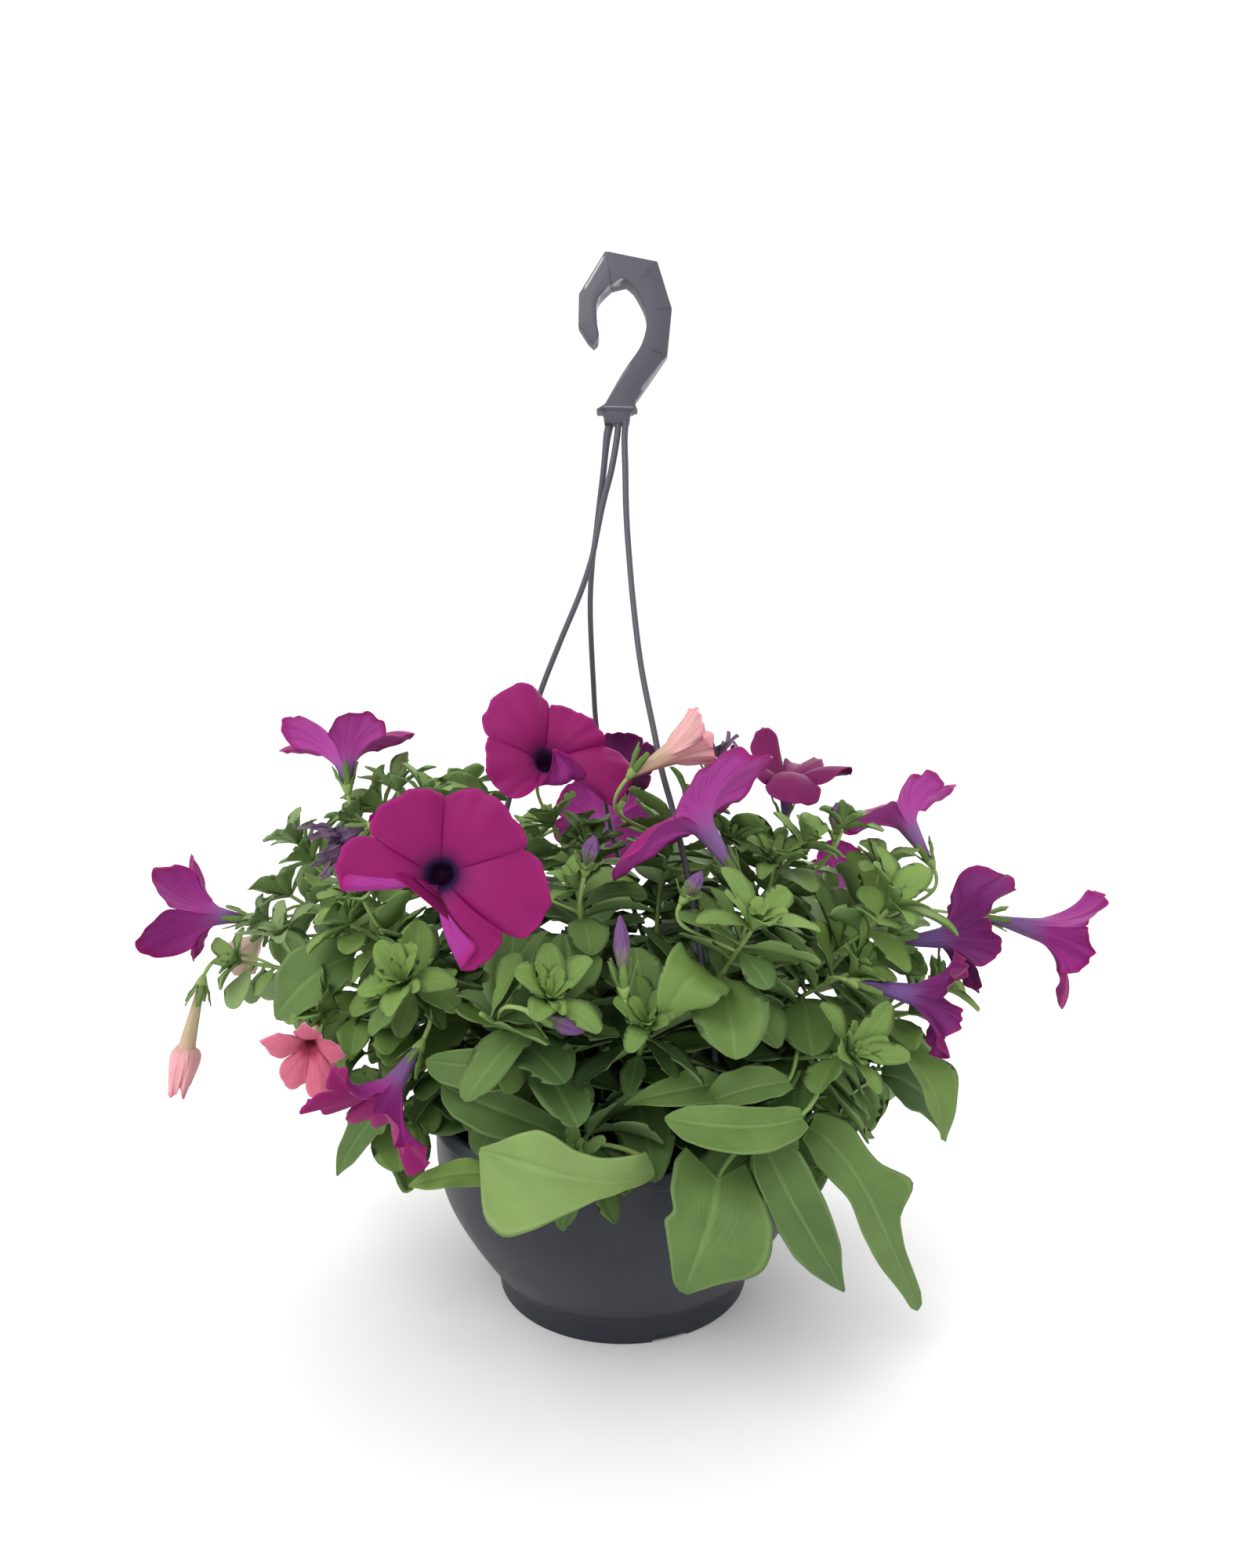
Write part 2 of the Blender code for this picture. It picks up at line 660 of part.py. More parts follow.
def tuft_crown(tuft, extra=0.0):
    """Points and faces of a tuft on an open foot of five points, made extra thicker for tests of room."""
    aim = unit(tuft.aim)
    ring = tuft_ways(tuft)
    middle, tip, across, out = tuft_blades(tuft)
    wide = tuft.length * tuft.slim + extra
    foot = tuft.place + ring * TIP_RADIUS
    notch = tuft.place + ring * (TIP_RADIUS * 1.5) + aim * 0.0022
    left = middle - across * wide + out * wide * 0.3
    right = middle + across * wide + out * wide * 0.3
    keel = middle - out * (BLADE_THICKNESS / 2 + extra)
    heart = [tuft.place + aim * 0.0026]
    points = np.concatenate([foot, notch, left, right, tip, keel, heart])
    faces = []
    for k in range(5):
        after = (k + 1) % 5
        notch_a, notch_b, left_k, right_k, tip_k, keel_k = 5 + k, 5 + after, 10 + k, 15 + k, 20 + k, 25 + k
        faces += [(k, after, keel_k), (k, keel_k, notch_a), (after, notch_b, keel_k)]
        faces += [(notch_a, keel_k, left_k), (left_k, keel_k, tip_k), (keel_k, right_k, tip_k)]
        faces += [(notch_b, right_k, keel_k), (30, notch_a, left_k), (30, left_k, right_k)]
        faces += [(left_k, tip_k, right_k), (30, right_k, notch_b)]
    return points, faces


def crowned_stem(route, radii, crown, level):
    """A five-sided stem that ends in a crown, as one closed solid."""
    crown_points, crown_faces = crown
    rings = swept_rings(route, radii, level)
    points, faces = loft([*rings[:-1], crown_points[:5]], None, OPEN)
    shift = len(points) - 5
    return np.vstack([points, crown_points[5:]]), faces + [tuple(k + shift for k in face) for face in crown_faces]


# Where the plant's parts are: shoots and their side twigs by their tips, flowers by their feet and
# the way that they face. Rise is how steeply a tip ends.

Shoot = namedtuple("Shoot", "tip rise leaves length")
SHOOTS = {
    "shoot_left_top": Shoot((-0.148, -0.018, 0.290), 0.7, 5, 0.046),
    "shoot_left_upper": Shoot((-0.186, -0.034, 0.262), 0.5, 5, 0.048),
    "shoot_left_outer": Shoot((-0.214, 0.004, 0.236), 0.5, 5, 0.048),
    "shoot_left_trailing": Shoot((-0.240, -0.010, 0.196), 0.1, 4, 0.046),
    "shoot_left_front": Shoot((-0.152, -0.070, 0.230), 0.5, 5, 0.052),
    "shoot_left_lower": Shoot((-0.158, -0.072, 0.182), 0.2, 5, 0.054),
    "shoot_left_rim": Shoot((-0.136, -0.062, 0.122), -0.2, 4, 0.060),
    "shoot_front_left": Shoot((-0.066, -0.146, 0.200), 0.5, 6, 0.054),
    "shoot_front_tall": Shoot((-0.024, -0.098, 0.252), 0.9, 6, 0.052),
    "shoot_front_middle": Shoot((0.012, -0.136, 0.192), 0.6, 6, 0.054),
    "shoot_front_right": Shoot((0.064, -0.126, 0.236), 0.8, 6, 0.054),
    "shoot_front_rim_left": Shoot((-0.022, -0.132, 0.128), 0.0, 3, 0.060),
    "shoot_front_rim_right": Shoot((0.070, -0.120, 0.126), 0.0, 3, 0.060),
    "shoot_centre": Shoot((-0.044, -0.016, 0.282), 1.0, 5, 0.050),
    "shoot_centre_right": Shoot((0.040, -0.024, 0.290), 1.0, 5, 0.050),
    "shoot_right_top": Shoot((0.102, -0.062, 0.272), 0.8, 6, 0.050),
    "shoot_right_upper": Shoot((0.174, -0.030, 0.240), 0.6, 6, 0.050),
    "shoot_right_middle": Shoot((0.122, -0.088, 0.206), 0.4, 6, 0.054),
    "shoot_right_front": Shoot((0.112, -0.118, 0.172), 0.2, 4, 0.056),
    "shoot_right_outer": Shoot((0.170, -0.040, 0.172), 0.2, 5, 0.056),
    "shoot_right_rim": Shoot((0.128, -0.080, 0.124), 0.0, 4, 0.060),
    "shoot_right_back_rim": Shoot((0.170, -0.008, 0.128), 0.0, 4, 0.060),
    "shoot_back_left": Shoot((-0.126, 0.092, 0.236), 0.6, 5, 0.054),
    "shoot_back": Shoot((-0.024, 0.140, 0.244), 0.7, 5, 0.054),
    "shoot_back_middle": Shoot((0.066, 0.132, 0.240), 0.7, 5, 0.054),
    "shoot_back_right": Shoot((0.146, 0.080, 0.220), 0.4, 5, 0.054),
    "shoot_back_left_rim": Shoot((-0.110, 0.118, 0.138), 0.0, 5, 0.060),
    "shoot_back_rim": Shoot((0.000, 0.164, 0.140), 0.0, 5, 0.060),
    "shoot_back_right_rim": Shoot((0.112, 0.116, 0.138), 0.0, 5, 0.060),
}

Twig = namedtuple("Twig", "shoot part tip rise leaves length")
TWIGS = [
    Twig("shoot_left_top", 0.70, (-0.108, 0.022, 0.300), 0.8, 2, 0.044),
    Twig("shoot_left_outer", 0.62, (-0.196, 0.062, 0.196), 0.3, 3, 0.050),
    Twig("shoot_left_front", 0.60, (-0.112, -0.102, 0.204), 0.5, 3, 0.050),
    Twig("shoot_front_left", 0.66, (-0.034, -0.146, 0.206), 0.6, 2, 0.050),
    Twig("shoot_right_top", 0.62, (0.092, -0.010, 0.262), 0.8, 3, 0.048),
    Twig("shoot_right_upper", 0.60, (0.184, 0.042, 0.204), 0.4, 3, 0.050),
    Twig("shoot_right_middle", 0.60, (0.144, -0.084, 0.240), 0.7, 3, 0.048),
    Twig("shoot_centre_right", 0.60, (0.030, 0.052, 0.262), 0.9, 3, 0.050),
    Twig("shoot_back_left", 0.60, (-0.066, 0.070, 0.262), 0.9, 3, 0.050),
]

FLOWERS = {
    "bloom_front_left": Flower(
        "shoot_front_tall", (-0.089, -0.117, 0.262), (0.16, -0.98, 0.10), 0.034, 0.0062, 0.046,
        (98, 92, 96, 150, 104), math.radians(54), 0.20, 0.0016,
    ),
    "bloom_top": Flower(
        "shoot_centre", (-0.052, -0.022, 0.308), (0.24, -0.90, 0.36), 0.032, 0.0060, 0.044,
        (92, 100, 96, 84, 92), math.radians(20), 0.20, 0.0016,
    ),
    "bloom_top_left": Flower(
        "shoot_left_top", (-0.164, -0.036, 0.303), (-0.12, 0.10, 0.98), 0.026, 0.0058, 0.042,
        (78, 92, 78, 92, 80), math.radians(10), 0.26, 0.0014,
    ),
    "bloom_left": Flower(
        "shoot_left_outer", (-0.236, -0.002, 0.222), (-0.96, -0.16, 0.10), 0.028, 0.0056, 0.037,
        (74, 92, 78, 70, 86), math.radians(30), 0.32, 0.0012,
    ),
    "bloom_centre_right": Flower(
        "shoot_front_right", (0.062, -0.092, 0.257), (-0.56, -0.16, 0.81), 0.034, 0.0062, 0.046,
        (84, 70, 74, 96, 118), math.radians(16), 0.20, 0.0016,
    ),
    "bloom_back_right": Flower(
        "shoot_right_top", (0.104, 0.004, 0.284), (0.04, 0.40, 0.90), 0.022, 0.0056, 0.040,
        (84, 100, 88, 104, 84), math.radians(50), 0.42, 0.0020,
    ),
    "bloom_right": Flower(
        "shoot_right_upper", (0.188, -0.026, 0.258), (-0.44, 0.14, 0.88), 0.028, 0.0060, 0.040,
        (84, 70, 88, 118, 76), math.radians(14), 0.24, 0.0020,
    ),
    "bloom_right_low": Flower(
        "shoot_right_middle", (0.150, -0.058, 0.217), (0.95, 0.10, 0.06), 0.034, 0.0058, 0.038,
        (84, 100, 72, 96, 70), math.radians(40), 0.30, 0.0022,
    ),
    "bloom_far_right": Flower(
        "shoot_right_upper", (0.226, -0.004, 0.224), (0.95, -0.22, -0.06), 0.036, 0.0064, 0.039,
        (80, 84, 66, 92, 70), math.radians(0), 0.20, 0.0020,
    ),
    "bloom_lower_right": Flower(
        "shoot_right_middle", (0.120, -0.098, 0.204), (0.92, -0.24, -0.30), 0.032, 0.0056, 0.028,
        (60, 78, 50, 84, 58), math.radians(60), 0.34, 0.0024,
    ),
    "bloom_lower_left": Flower(
        "shoot_left_lower", (-0.102, -0.112, 0.176), (-0.46, -0.34, -0.82), 0.024, 0.0056, 0.039,
        (70, 96, 66, 88, 66), math.radians(12), 0.30, 0.0022,
    ),
    "bloom_top_behind": Flower(
        "shoot_centre_right", (-0.002, 0.010, 0.292), (-0.06, 0.66, 0.75), 0.024, 0.0054, 0.032,
        (76, 88, 70, 90, 72), math.radians(22), 0.26, 0.0016,
    ),
    "bloom_rear_left": Flower(
        "shoot_back_left", (-0.148, 0.112, 0.246), (-0.40, 0.80, 0.44), 0.032, 0.0060, 0.043,
        (92, 98, 90, 104, 92), math.radians(18), 0.20, 0.0016,
    ),
    "bloom_rear": Flower(
        "shoot_back", (-0.020, 0.158, 0.256), (0.04, 0.90, 0.42), 0.032, 0.0060, 0.045,
        (96, 90, 100, 92, 110), math.radians(44), 0.20, 0.0016,
    ),
    "bloom_rear_right": Flower(
        "shoot_back_right", (0.150, 0.104, 0.214), (0.62, 0.74, 0.20), 0.032, 0.0060, 0.041,
        (90, 100, 88, 96, 84), math.radians(8), 0.22, 0.0018,
    ),
    "bloom_rear_low": Flower(
        "shoot_back_left_rim", (-0.092, 0.156, 0.156), (-0.36, 0.92, 0.06), 0.030, 0.0058, 0.041,
        (94, 88, 100, 90, 96), math.radians(32), 0.22, 0.0018,
    ),
}

FADED = {
    "faded_bloom_peach": Flower(
        "shoot_centre_right", (0.004, -0.074, 0.312), (0.66, -0.04, 0.75), 0.024, 0.0070, 0.023,
        (58, 40, 62, 44, 56), math.radians(10), 0.28, 0.0016,
    ),
    "faded_bloom_star": Flower(
        "shoot_left_lower", (-0.168, -0.076, 0.176), (-0.10, -0.66, -0.74), 0.014, 0.0040, 0.026,
        (82, 90, 84, 92, 80), math.radians(18), 0.55, 0.0010,
    ),
    "faded_bloom_hanging": Flower(
        "shoot_left_trailing", (-0.263, -0.010, 0.186), (-0.22, -0.02, -0.97), 0.044, 0.0060, 0.031,
        (24, 10, 30, 14, 22), math.radians(0), 0.30, 0.0012,
    ),
    "faded_bloom_pale": Flower(
        "shoot_left_outer", (-0.238, 0.026, 0.212), (-0.60, 0.10, -0.62), 0.014, 0.0050, 0.021,
        (36, 20, 42, 26, 30), math.radians(30), 0.25, 0.0010,
    ),
}


def bud(shoot, foot, aim, tube, throat, limb):
    return Flower(shoot, foot, aim, tube, throat, limb, None, 0, 0, 0)


BUDS = {
    "withered_bloom_left": bud(
        "shoot_left_upper", (-0.142, -0.060, 0.284), (-0.86, -0.10, -0.42), 0.016, 0.0085, 0.012
    ),
    "withered_bloom_top": bud(
        "shoot_centre_right", (0.052, -0.018, 0.312), (0.40, -0.10, 0.85), 0.012, 0.0085, 0.010
    ),
    "bud_front_tall": bud(
        "shoot_front_tall", (-0.019, -0.108, 0.262), (0.24, -0.26, 0.93), 0.012, 0.0052, 0.009
    ),
    "bud_front_right": bud(
        "shoot_front_right", (0.030, -0.124, 0.250), (0.50, -0.20, 0.80), 0.010, 0.0046, 0.008
    ),
    "bud_front_upright": bud(
        "shoot_front_middle", (0.001, -0.142, 0.208), (-0.05, -0.04, 1.0), 0.022, 0.0046, 0.016
    ),
    "bud_front_lying": bud(
        "shoot_front_left", (-0.042, -0.154, 0.203), (0.94, -0.12, -0.30), 0.017, 0.0052, 0.010
    ),
    "bud_right_top": bud(
        "shoot_right_top", (0.124, -0.046, 0.276), (0.06, 0.02, 1.0), 0.011, 0.0046, 0.010
    ),
    "bud_rear": bud(
        "shoot_back_middle", (0.080, 0.146, 0.250), (0.30, 0.60, 0.74), 0.013, 0.0048, 0.010
    ),
}

# The large lower leaves: shoot, part along it, knee, tip, half width, roll, fold, swell
BIG_LEAVES = [
    ("shoot_front_rim_left", 0.80, (-0.030, -0.144, 0.136), (-0.052, -0.156, 0.100), 0.022, 0.50, 0.28, 0.62),
    ("shoot_front_rim_right", 0.70, (0.052, -0.142, 0.128), (0.027, -0.150, 0.071), 0.029, 0.10, 0.10, 0.50),
    ("shoot_front_rim_right", 0.86, (0.094, -0.146, 0.130), (0.112, -0.132, 0.057), 0.018, -0.30, 0.20, 0.66),
    ("shoot_right_rim", 0.84, (0.160, -0.104, 0.128), (0.158, -0.094, 0.028), 0.019, -0.20, 0.25, 0.80),
    ("shoot_right_back_rim", 0.85, (0.212, -0.022, 0.145), (0.200, -0.026, 0.080), 0.024, 0.10, 0.20, 0.70),
    ("shoot_right_front", 0.60, (0.052, -0.146, 0.160), (0.020, -0.150, 0.146), 0.017, 0.45, 0.20, 0.80),
    ("shoot_right_front", 0.40, (0.046, -0.124, 0.182), (-0.004, -0.130, 0.168), 0.018, 0.50, 0.20, 0.75),
    ("shoot_front_right", 0.72, (0.036, -0.150, 0.230), (0.020, -0.140, 0.196), 0.017, 0.60, 0.20, 0.75),
    ("shoot_right_middle", 0.80, (0.100, -0.130, 0.190), (0.062, -0.136, 0.178), 0.015, 0.50, 0.25, 0.75),
    ("shoot_left_trailing", 0.82, (-0.226, -0.040, 0.196), (-0.208, -0.052, 0.160), 0.018, 0.30, 0.20, 0.70),
    ("shoot_left_rim", 0.80, (-0.162, -0.076, 0.128), (-0.158, -0.078, 0.088), 0.014, 0.10, 0.20, 0.70),
    ("shoot_left_rim", 0.66, (-0.112, -0.112, 0.140), (-0.098, -0.130, 0.100), 0.014, 0.20, 0.20, 0.70),
    ("shoot_front_left", 0.60, (-0.096, -0.138, 0.176), (-0.092, -0.146, 0.148), 0.018, 0.20, 0.20, 0.70),
    ("shoot_front_left", 0.55, (-0.046, -0.148, 0.170), (-0.060, -0.158, 0.140), 0.016, 0.20, 0.25, 0.70),
    ("shoot_right_outer", 0.75, (0.176, -0.082, 0.160), (0.170, -0.092, 0.118), 0.018, 0.00, 0.25, 0.70),
    ("shoot_back_rim", 0.80, (0.024, 0.196, 0.140), (0.030, 0.194, 0.072), 0.024, 0.00, 0.20, 0.60),
    ("shoot_back_left_rim", 0.60, (-0.140, 0.130, 0.140), (-0.152, 0.134, 0.080), 0.022, 0.00, 0.20, 0.65),
    ("shoot_back_right_rim", 0.70, (0.150, 0.128, 0.150), (0.160, 0.136, 0.084), 0.024, 0.00, 0.20, 0.60),
    ("shoot_back", 0.50, (-0.040, 0.160, 0.170), (-0.046, 0.170, 0.118), 0.022, 0.00, 0.20, 0.65),
]


# Growing the plant. Every draw has its own seed, named for what it is drawn for, so that no choice
# changes another.

STEM_POINTS = 6
TWIG_POINTS = 3


def drawing(*labels):
    return random.Random(" ".join(str(label) for label in labels))


def on_stem(controls, part, count=STEM_POINTS):
    """The point at this part of a stem, on the straight runs between its points."""
    route = bezier(controls, np.linspace(0, 1, count))
    return np.array([np.interp(part * (count - 1), range(count), line) for line in route.T])


def shoot_controls(name, attempt):
    """The root in the compost and the arch of a shoot. Later attempts range wider."""
    shoot = SHOOTS[name]
    draw = drawing(name, "stem", attempt)
    loose = min(1.0, attempt / 60)
    tip = np.asarray(shoot.tip)
    angle = math.atan2(tip[1], tip[0]) + draw.uniform(-0.5, 0.5) * loose
    radius = 0.015 + 0.30 * math.hypot(tip[0], tip[1]) + draw.uniform(-0.03, 0.02) * loose
    radius = min(max(radius, 0.01), 0.082)
    root = np.array([radius * math.cos(angle), radius * math.sin(angle), COMPOST_TOP + 0.002])
    away = tip - root
    outward = unit([away[0], away[1], 0.0])
    sideways = np.array([-outward[1], outward[0], 0.0]) * draw.uniform(-0.03, 0.03) * loose
    far = np.linalg.norm(away)
    first = root + np.array([0, 0, far * (0.35 + draw.uniform(0, 0.35) * loose)]) + sideways
    ending = unit(outward * 0.8 + np.array([0, 0, shoot.rise]))
    return [root, first, tip - ending * far * 0.3 + sideways, tip]


def twig_controls(twig, number, stem, attempt):
    """The arch of a side twig from its place on the stem to its tip."""
    draw = drawing("twig", number, attempt)
    loose = min(1.0, attempt / 40)
    start = on_stem(stem, twig.part - 0.2 * draw.random() * loose)
    tip = np.asarray(twig.tip)
    away = tip - start
    far = np.linalg.norm(away)
    aside = np.array([draw.uniform(-1, 1), draw.uniform(-1, 1), draw.uniform(-0.3, 1)]) * 0.02 * loose
    ending = unit([away[0] * 0.8 / far, away[1] * 0.8 / far, twig.rise])
    return [start, start + away * 0.3 + [0, 0, 0.12 * far] + aside, tip - ending * far * 0.3, tip]


def stalk_controls(label, flower, stem, attempt):
    """A flower stalk from a place on the stem to the flower's foot, arriving along its aim."""
    draw = drawing(label, "stalk", attempt)
    start = on_stem(stem, 0.88 - 0.45 * (attempt % 16) / 16)
    foot = np.asarray(flower.foot)
    far = np.linalg.norm(foot - start)
    spread = 0.02 * (attempt // 16) / 10
    aside = np.array([draw.uniform(-1, 1), draw.uniform(-1, 1), draw.uniform(-0.3, 1)]) * spread
    middle = foot - unit(flower.aim) * far * 0.45 + aside
    return [start, (start + middle) / 2 + aside + [0, 0, 0.1 * far], middle, foot]


def drawn_leaf(axis, runs, part, number, length, draw):
    """A leaf at this part of a stem, a golden angle round it from the last one."""
    root = on_stem(axis, part, runs)
    ahead = unit(bezier(axis, part + 0.01)[0] - bezier(axis, part - 0.01)[0])
    level = unit(np.cross(ahead, [0.1, 0.2, 1]))
    turn = GOLDEN_ANGLE * number + draw.uniform(-0.9, 0.9)
    aside = level * math.cos(turn) + np.cross(level, ahead) * math.sin(turn)
    start = unit(aside + ahead * 0.2 + np.array([0, 0, 0.2]))
    end = unit(start + np.array([0, 0, draw.uniform(-0.95, -0.15)]))
    long = length * draw.uniform(0.85, 1.15)
    knee = root + start * long * 0.5
    return Leaf(
        root, knee, knee + end * long * 0.55, long * draw.uniform(0.25, 0.32), draw.uniform(-0.4, 0.4),
        draw.uniform(0.10, 0.30), long * 0.03, draw.uniform(0, 6), draw.uniform(0.68, 0.85), MIDDLE_LEAF,
    )


BIG_LEAF_DRAWS = 60


def drawn_big_leaf(number, stem, attempt):
    """A large leaf. Later attempts move further from its place and shrink."""
    _, part, knee, tip, width, roll, fold, swell = BIG_LEAVES[number]
    draw = drawing("big leaf", number, attempt)
    loose = attempt / BIG_LEAF_DRAWS
    root = on_stem(stem, part - draw.uniform(0, 0.3) * loose)
    shift = np.array([draw.uniform(-1, 1), draw.uniform(-1, 0.3), draw.uniform(-1, 1)]) * 0.014 * loose
    turned = roll + draw.uniform(-0.5, 0.5) * loose
    size = width * (1 - 0.3 * loose)
    return Leaf(root, knee + shift, tip + shift, size, turned, fold, 0.003, 1.0, swell, LARGE_LEAF)


LEAF_DRAWS = 28
LEAF_ZONE = (0.28, 0.93)


def leaf_choices(label, axis, runs, number, count, length):
    """Every leaf drawn for one place on a stem. Lower leaves are larger."""
    low, high = LEAF_ZONE
    part = low + (high - low) * (number + 0.5) / count
    choices = []
    for attempt in range(LEAF_DRAWS):
        draw = drawing(label, "leaf", number, attempt)
        size = length * (1.25 - 0.5 * part) * (1 - 0.25 * attempt / LEAF_DRAWS)
        place = part + draw.uniform(-0.04, 0.04)
        choices.append(drawn_leaf(axis, runs, place, number + attempt, size, draw))
    return choices


TUFT_DRAWS = 160


def drawn_tuft(label, axis, length, attempt):
    """A tuft at the end of a stem. Later attempts are smaller and lean further."""
    draw = drawing(label, "tuft", attempt)
    loose = attempt / TUFT_DRAWS
    openings = tuple(draw.uniform(0.45, 1.25) for _ in range(5))
    size = length * draw.uniform(0.9, 1.1) * (1 - 0.55 * loose)
    lean = np.array([draw.uniform(-1, 1), draw.uniform(-1, 1), draw.uniform(-0.3, 1)]) * loose
    aim = unit(axis[-1] - bezier(axis, 0.95)[0]) + [0, 0, 0.3] + lean * 0.9
    return Tuft(axis[-1], aim, draw.uniform(0, LOBE_STEP), size, openings, draw.uniform(0.18, 0.24))


def blocks_a_mouth(leaf):
    """Would the leaf stand in front of a flower's mouth, seen along its aim or from the front?"""
    knee, tip = np.asarray(leaf.knee), np.asarray(leaf.tip)
    points = np.array([knee, (knee + tip) / 2, tip])
    for flower in [*FLOWERS.values(), *FADED.values()]:
        mouth = axis_point(flower, flower.tube + 0.3 * flower.limb)
        open_radius = (flower.throat + 0.8 * flower.limb) * 0.85
        views = [(unit(flower.aim), 0.07)]
        if mouth[1] < 0.03:
            views.append((unit(FRONT_EYE - mouth), 0.3))
        for way, reach in views:
            from_mouth = points - mouth
            ahead = from_mouth @ way
            aside = np.linalg.norm(from_mouth - ahead[:, None] * way, axis=1)
            if np.any((ahead > 0.002) & (ahead < reach) & (aside < open_radius)):
                return True
    return False


TUFT_LENGTH = 0.032
FRONT_EYE = np.array([0.0, -0.55, 0.31])
CORE = np.array([0.0, 0.0, 0.13])


class Room:
    """What stands where. A new piece is tried against all that stand."""

    def __init__(self):
        self.pieces = []
        self.low = np.zeros((0, 3))
        self.high = np.zeros((0, 3))

    def add(self, owner, points, faces):
        points = np.asarray(points)
        tree = BVHTree.FromPolygons(points.tolist(), [tuple(face) for face in faces])
        self.pieces.append((owner, tree))
        self.low = np.vstack([self.low, points.min(axis=0)])
        self.high = np.vstack([self.high, points.max(axis=0)])

    def blocked(self, points, faces, without=None, only=None):
        """Does this piece touch any that stands, without those of one owner, or only those of one?"""
        points = np.asarray(points)
        near = np.all((self.low <= points.max(axis=0)) & (self.high >= points.min(axis=0)), axis=1)
        tree = None
        for number in np.flatnonzero(near):
            owner, other = self.pieces[number]
            if owner == without or (only and owner != only):
                continue
            tree = tree or BVHTree.FromPolygons(points.tolist(), [tuple(face) for face in faces])
            if tree.overlap(other):
                return True
        return False


def mesh_arrays(mesh):
    """A mesh's points and faces, as arrays and tuples."""
    points = np.empty(len(mesh.vertices) * 3)
    mesh.vertices.foreach_get("co", points)
    return points.reshape(-1, 3), [tuple(face.vertices) for face in mesh.polygons]


TIP_RADIUS = 0.0012
TWIG_ROOT_RADIUS = 0.0009


def stem_route(controls, count, extra=0.0):
    """Points and radii along an arch of a stem, a twig or a stalk, made extra thicker for tests."""
    start = STEM_RADIUS if count == STEM_POINTS else TWIG_ROOT_RADIUS
    return bezier(controls, np.linspace(0, 1, count)), np.linspace(start, TIP_RADIUS, count) + extra


def bare_stem(controls, count, low=0.0, high=1.0):
    """A stem alone, or this much of it, a little too thick, for tests of room."""
    route, radii = stem_route(controls, count, CLEARANCE)
    route = bezier(controls, np.linspace(low, high, count))
    return loft(swept_rings(route, radii, level_of(route[-1] - route[-2])))


def leaf_fits(room, name, leaf):
    """Has the leaf room, apart from its root in its own stem?"""
    if room.blocked(*leaf_solid(leaf, CLEARANCE), without=name):
        return False
    blade = leaf._replace(stations=tuple(part for part in leaf.stations if part > 0.2))
    points, faces = leaf_solid(blade)
    points[-2] = bezier([leaf.root, leaf.knee, leaf.tip], 0.2)[0]
    return not room.blocked(points, faces, only=name)


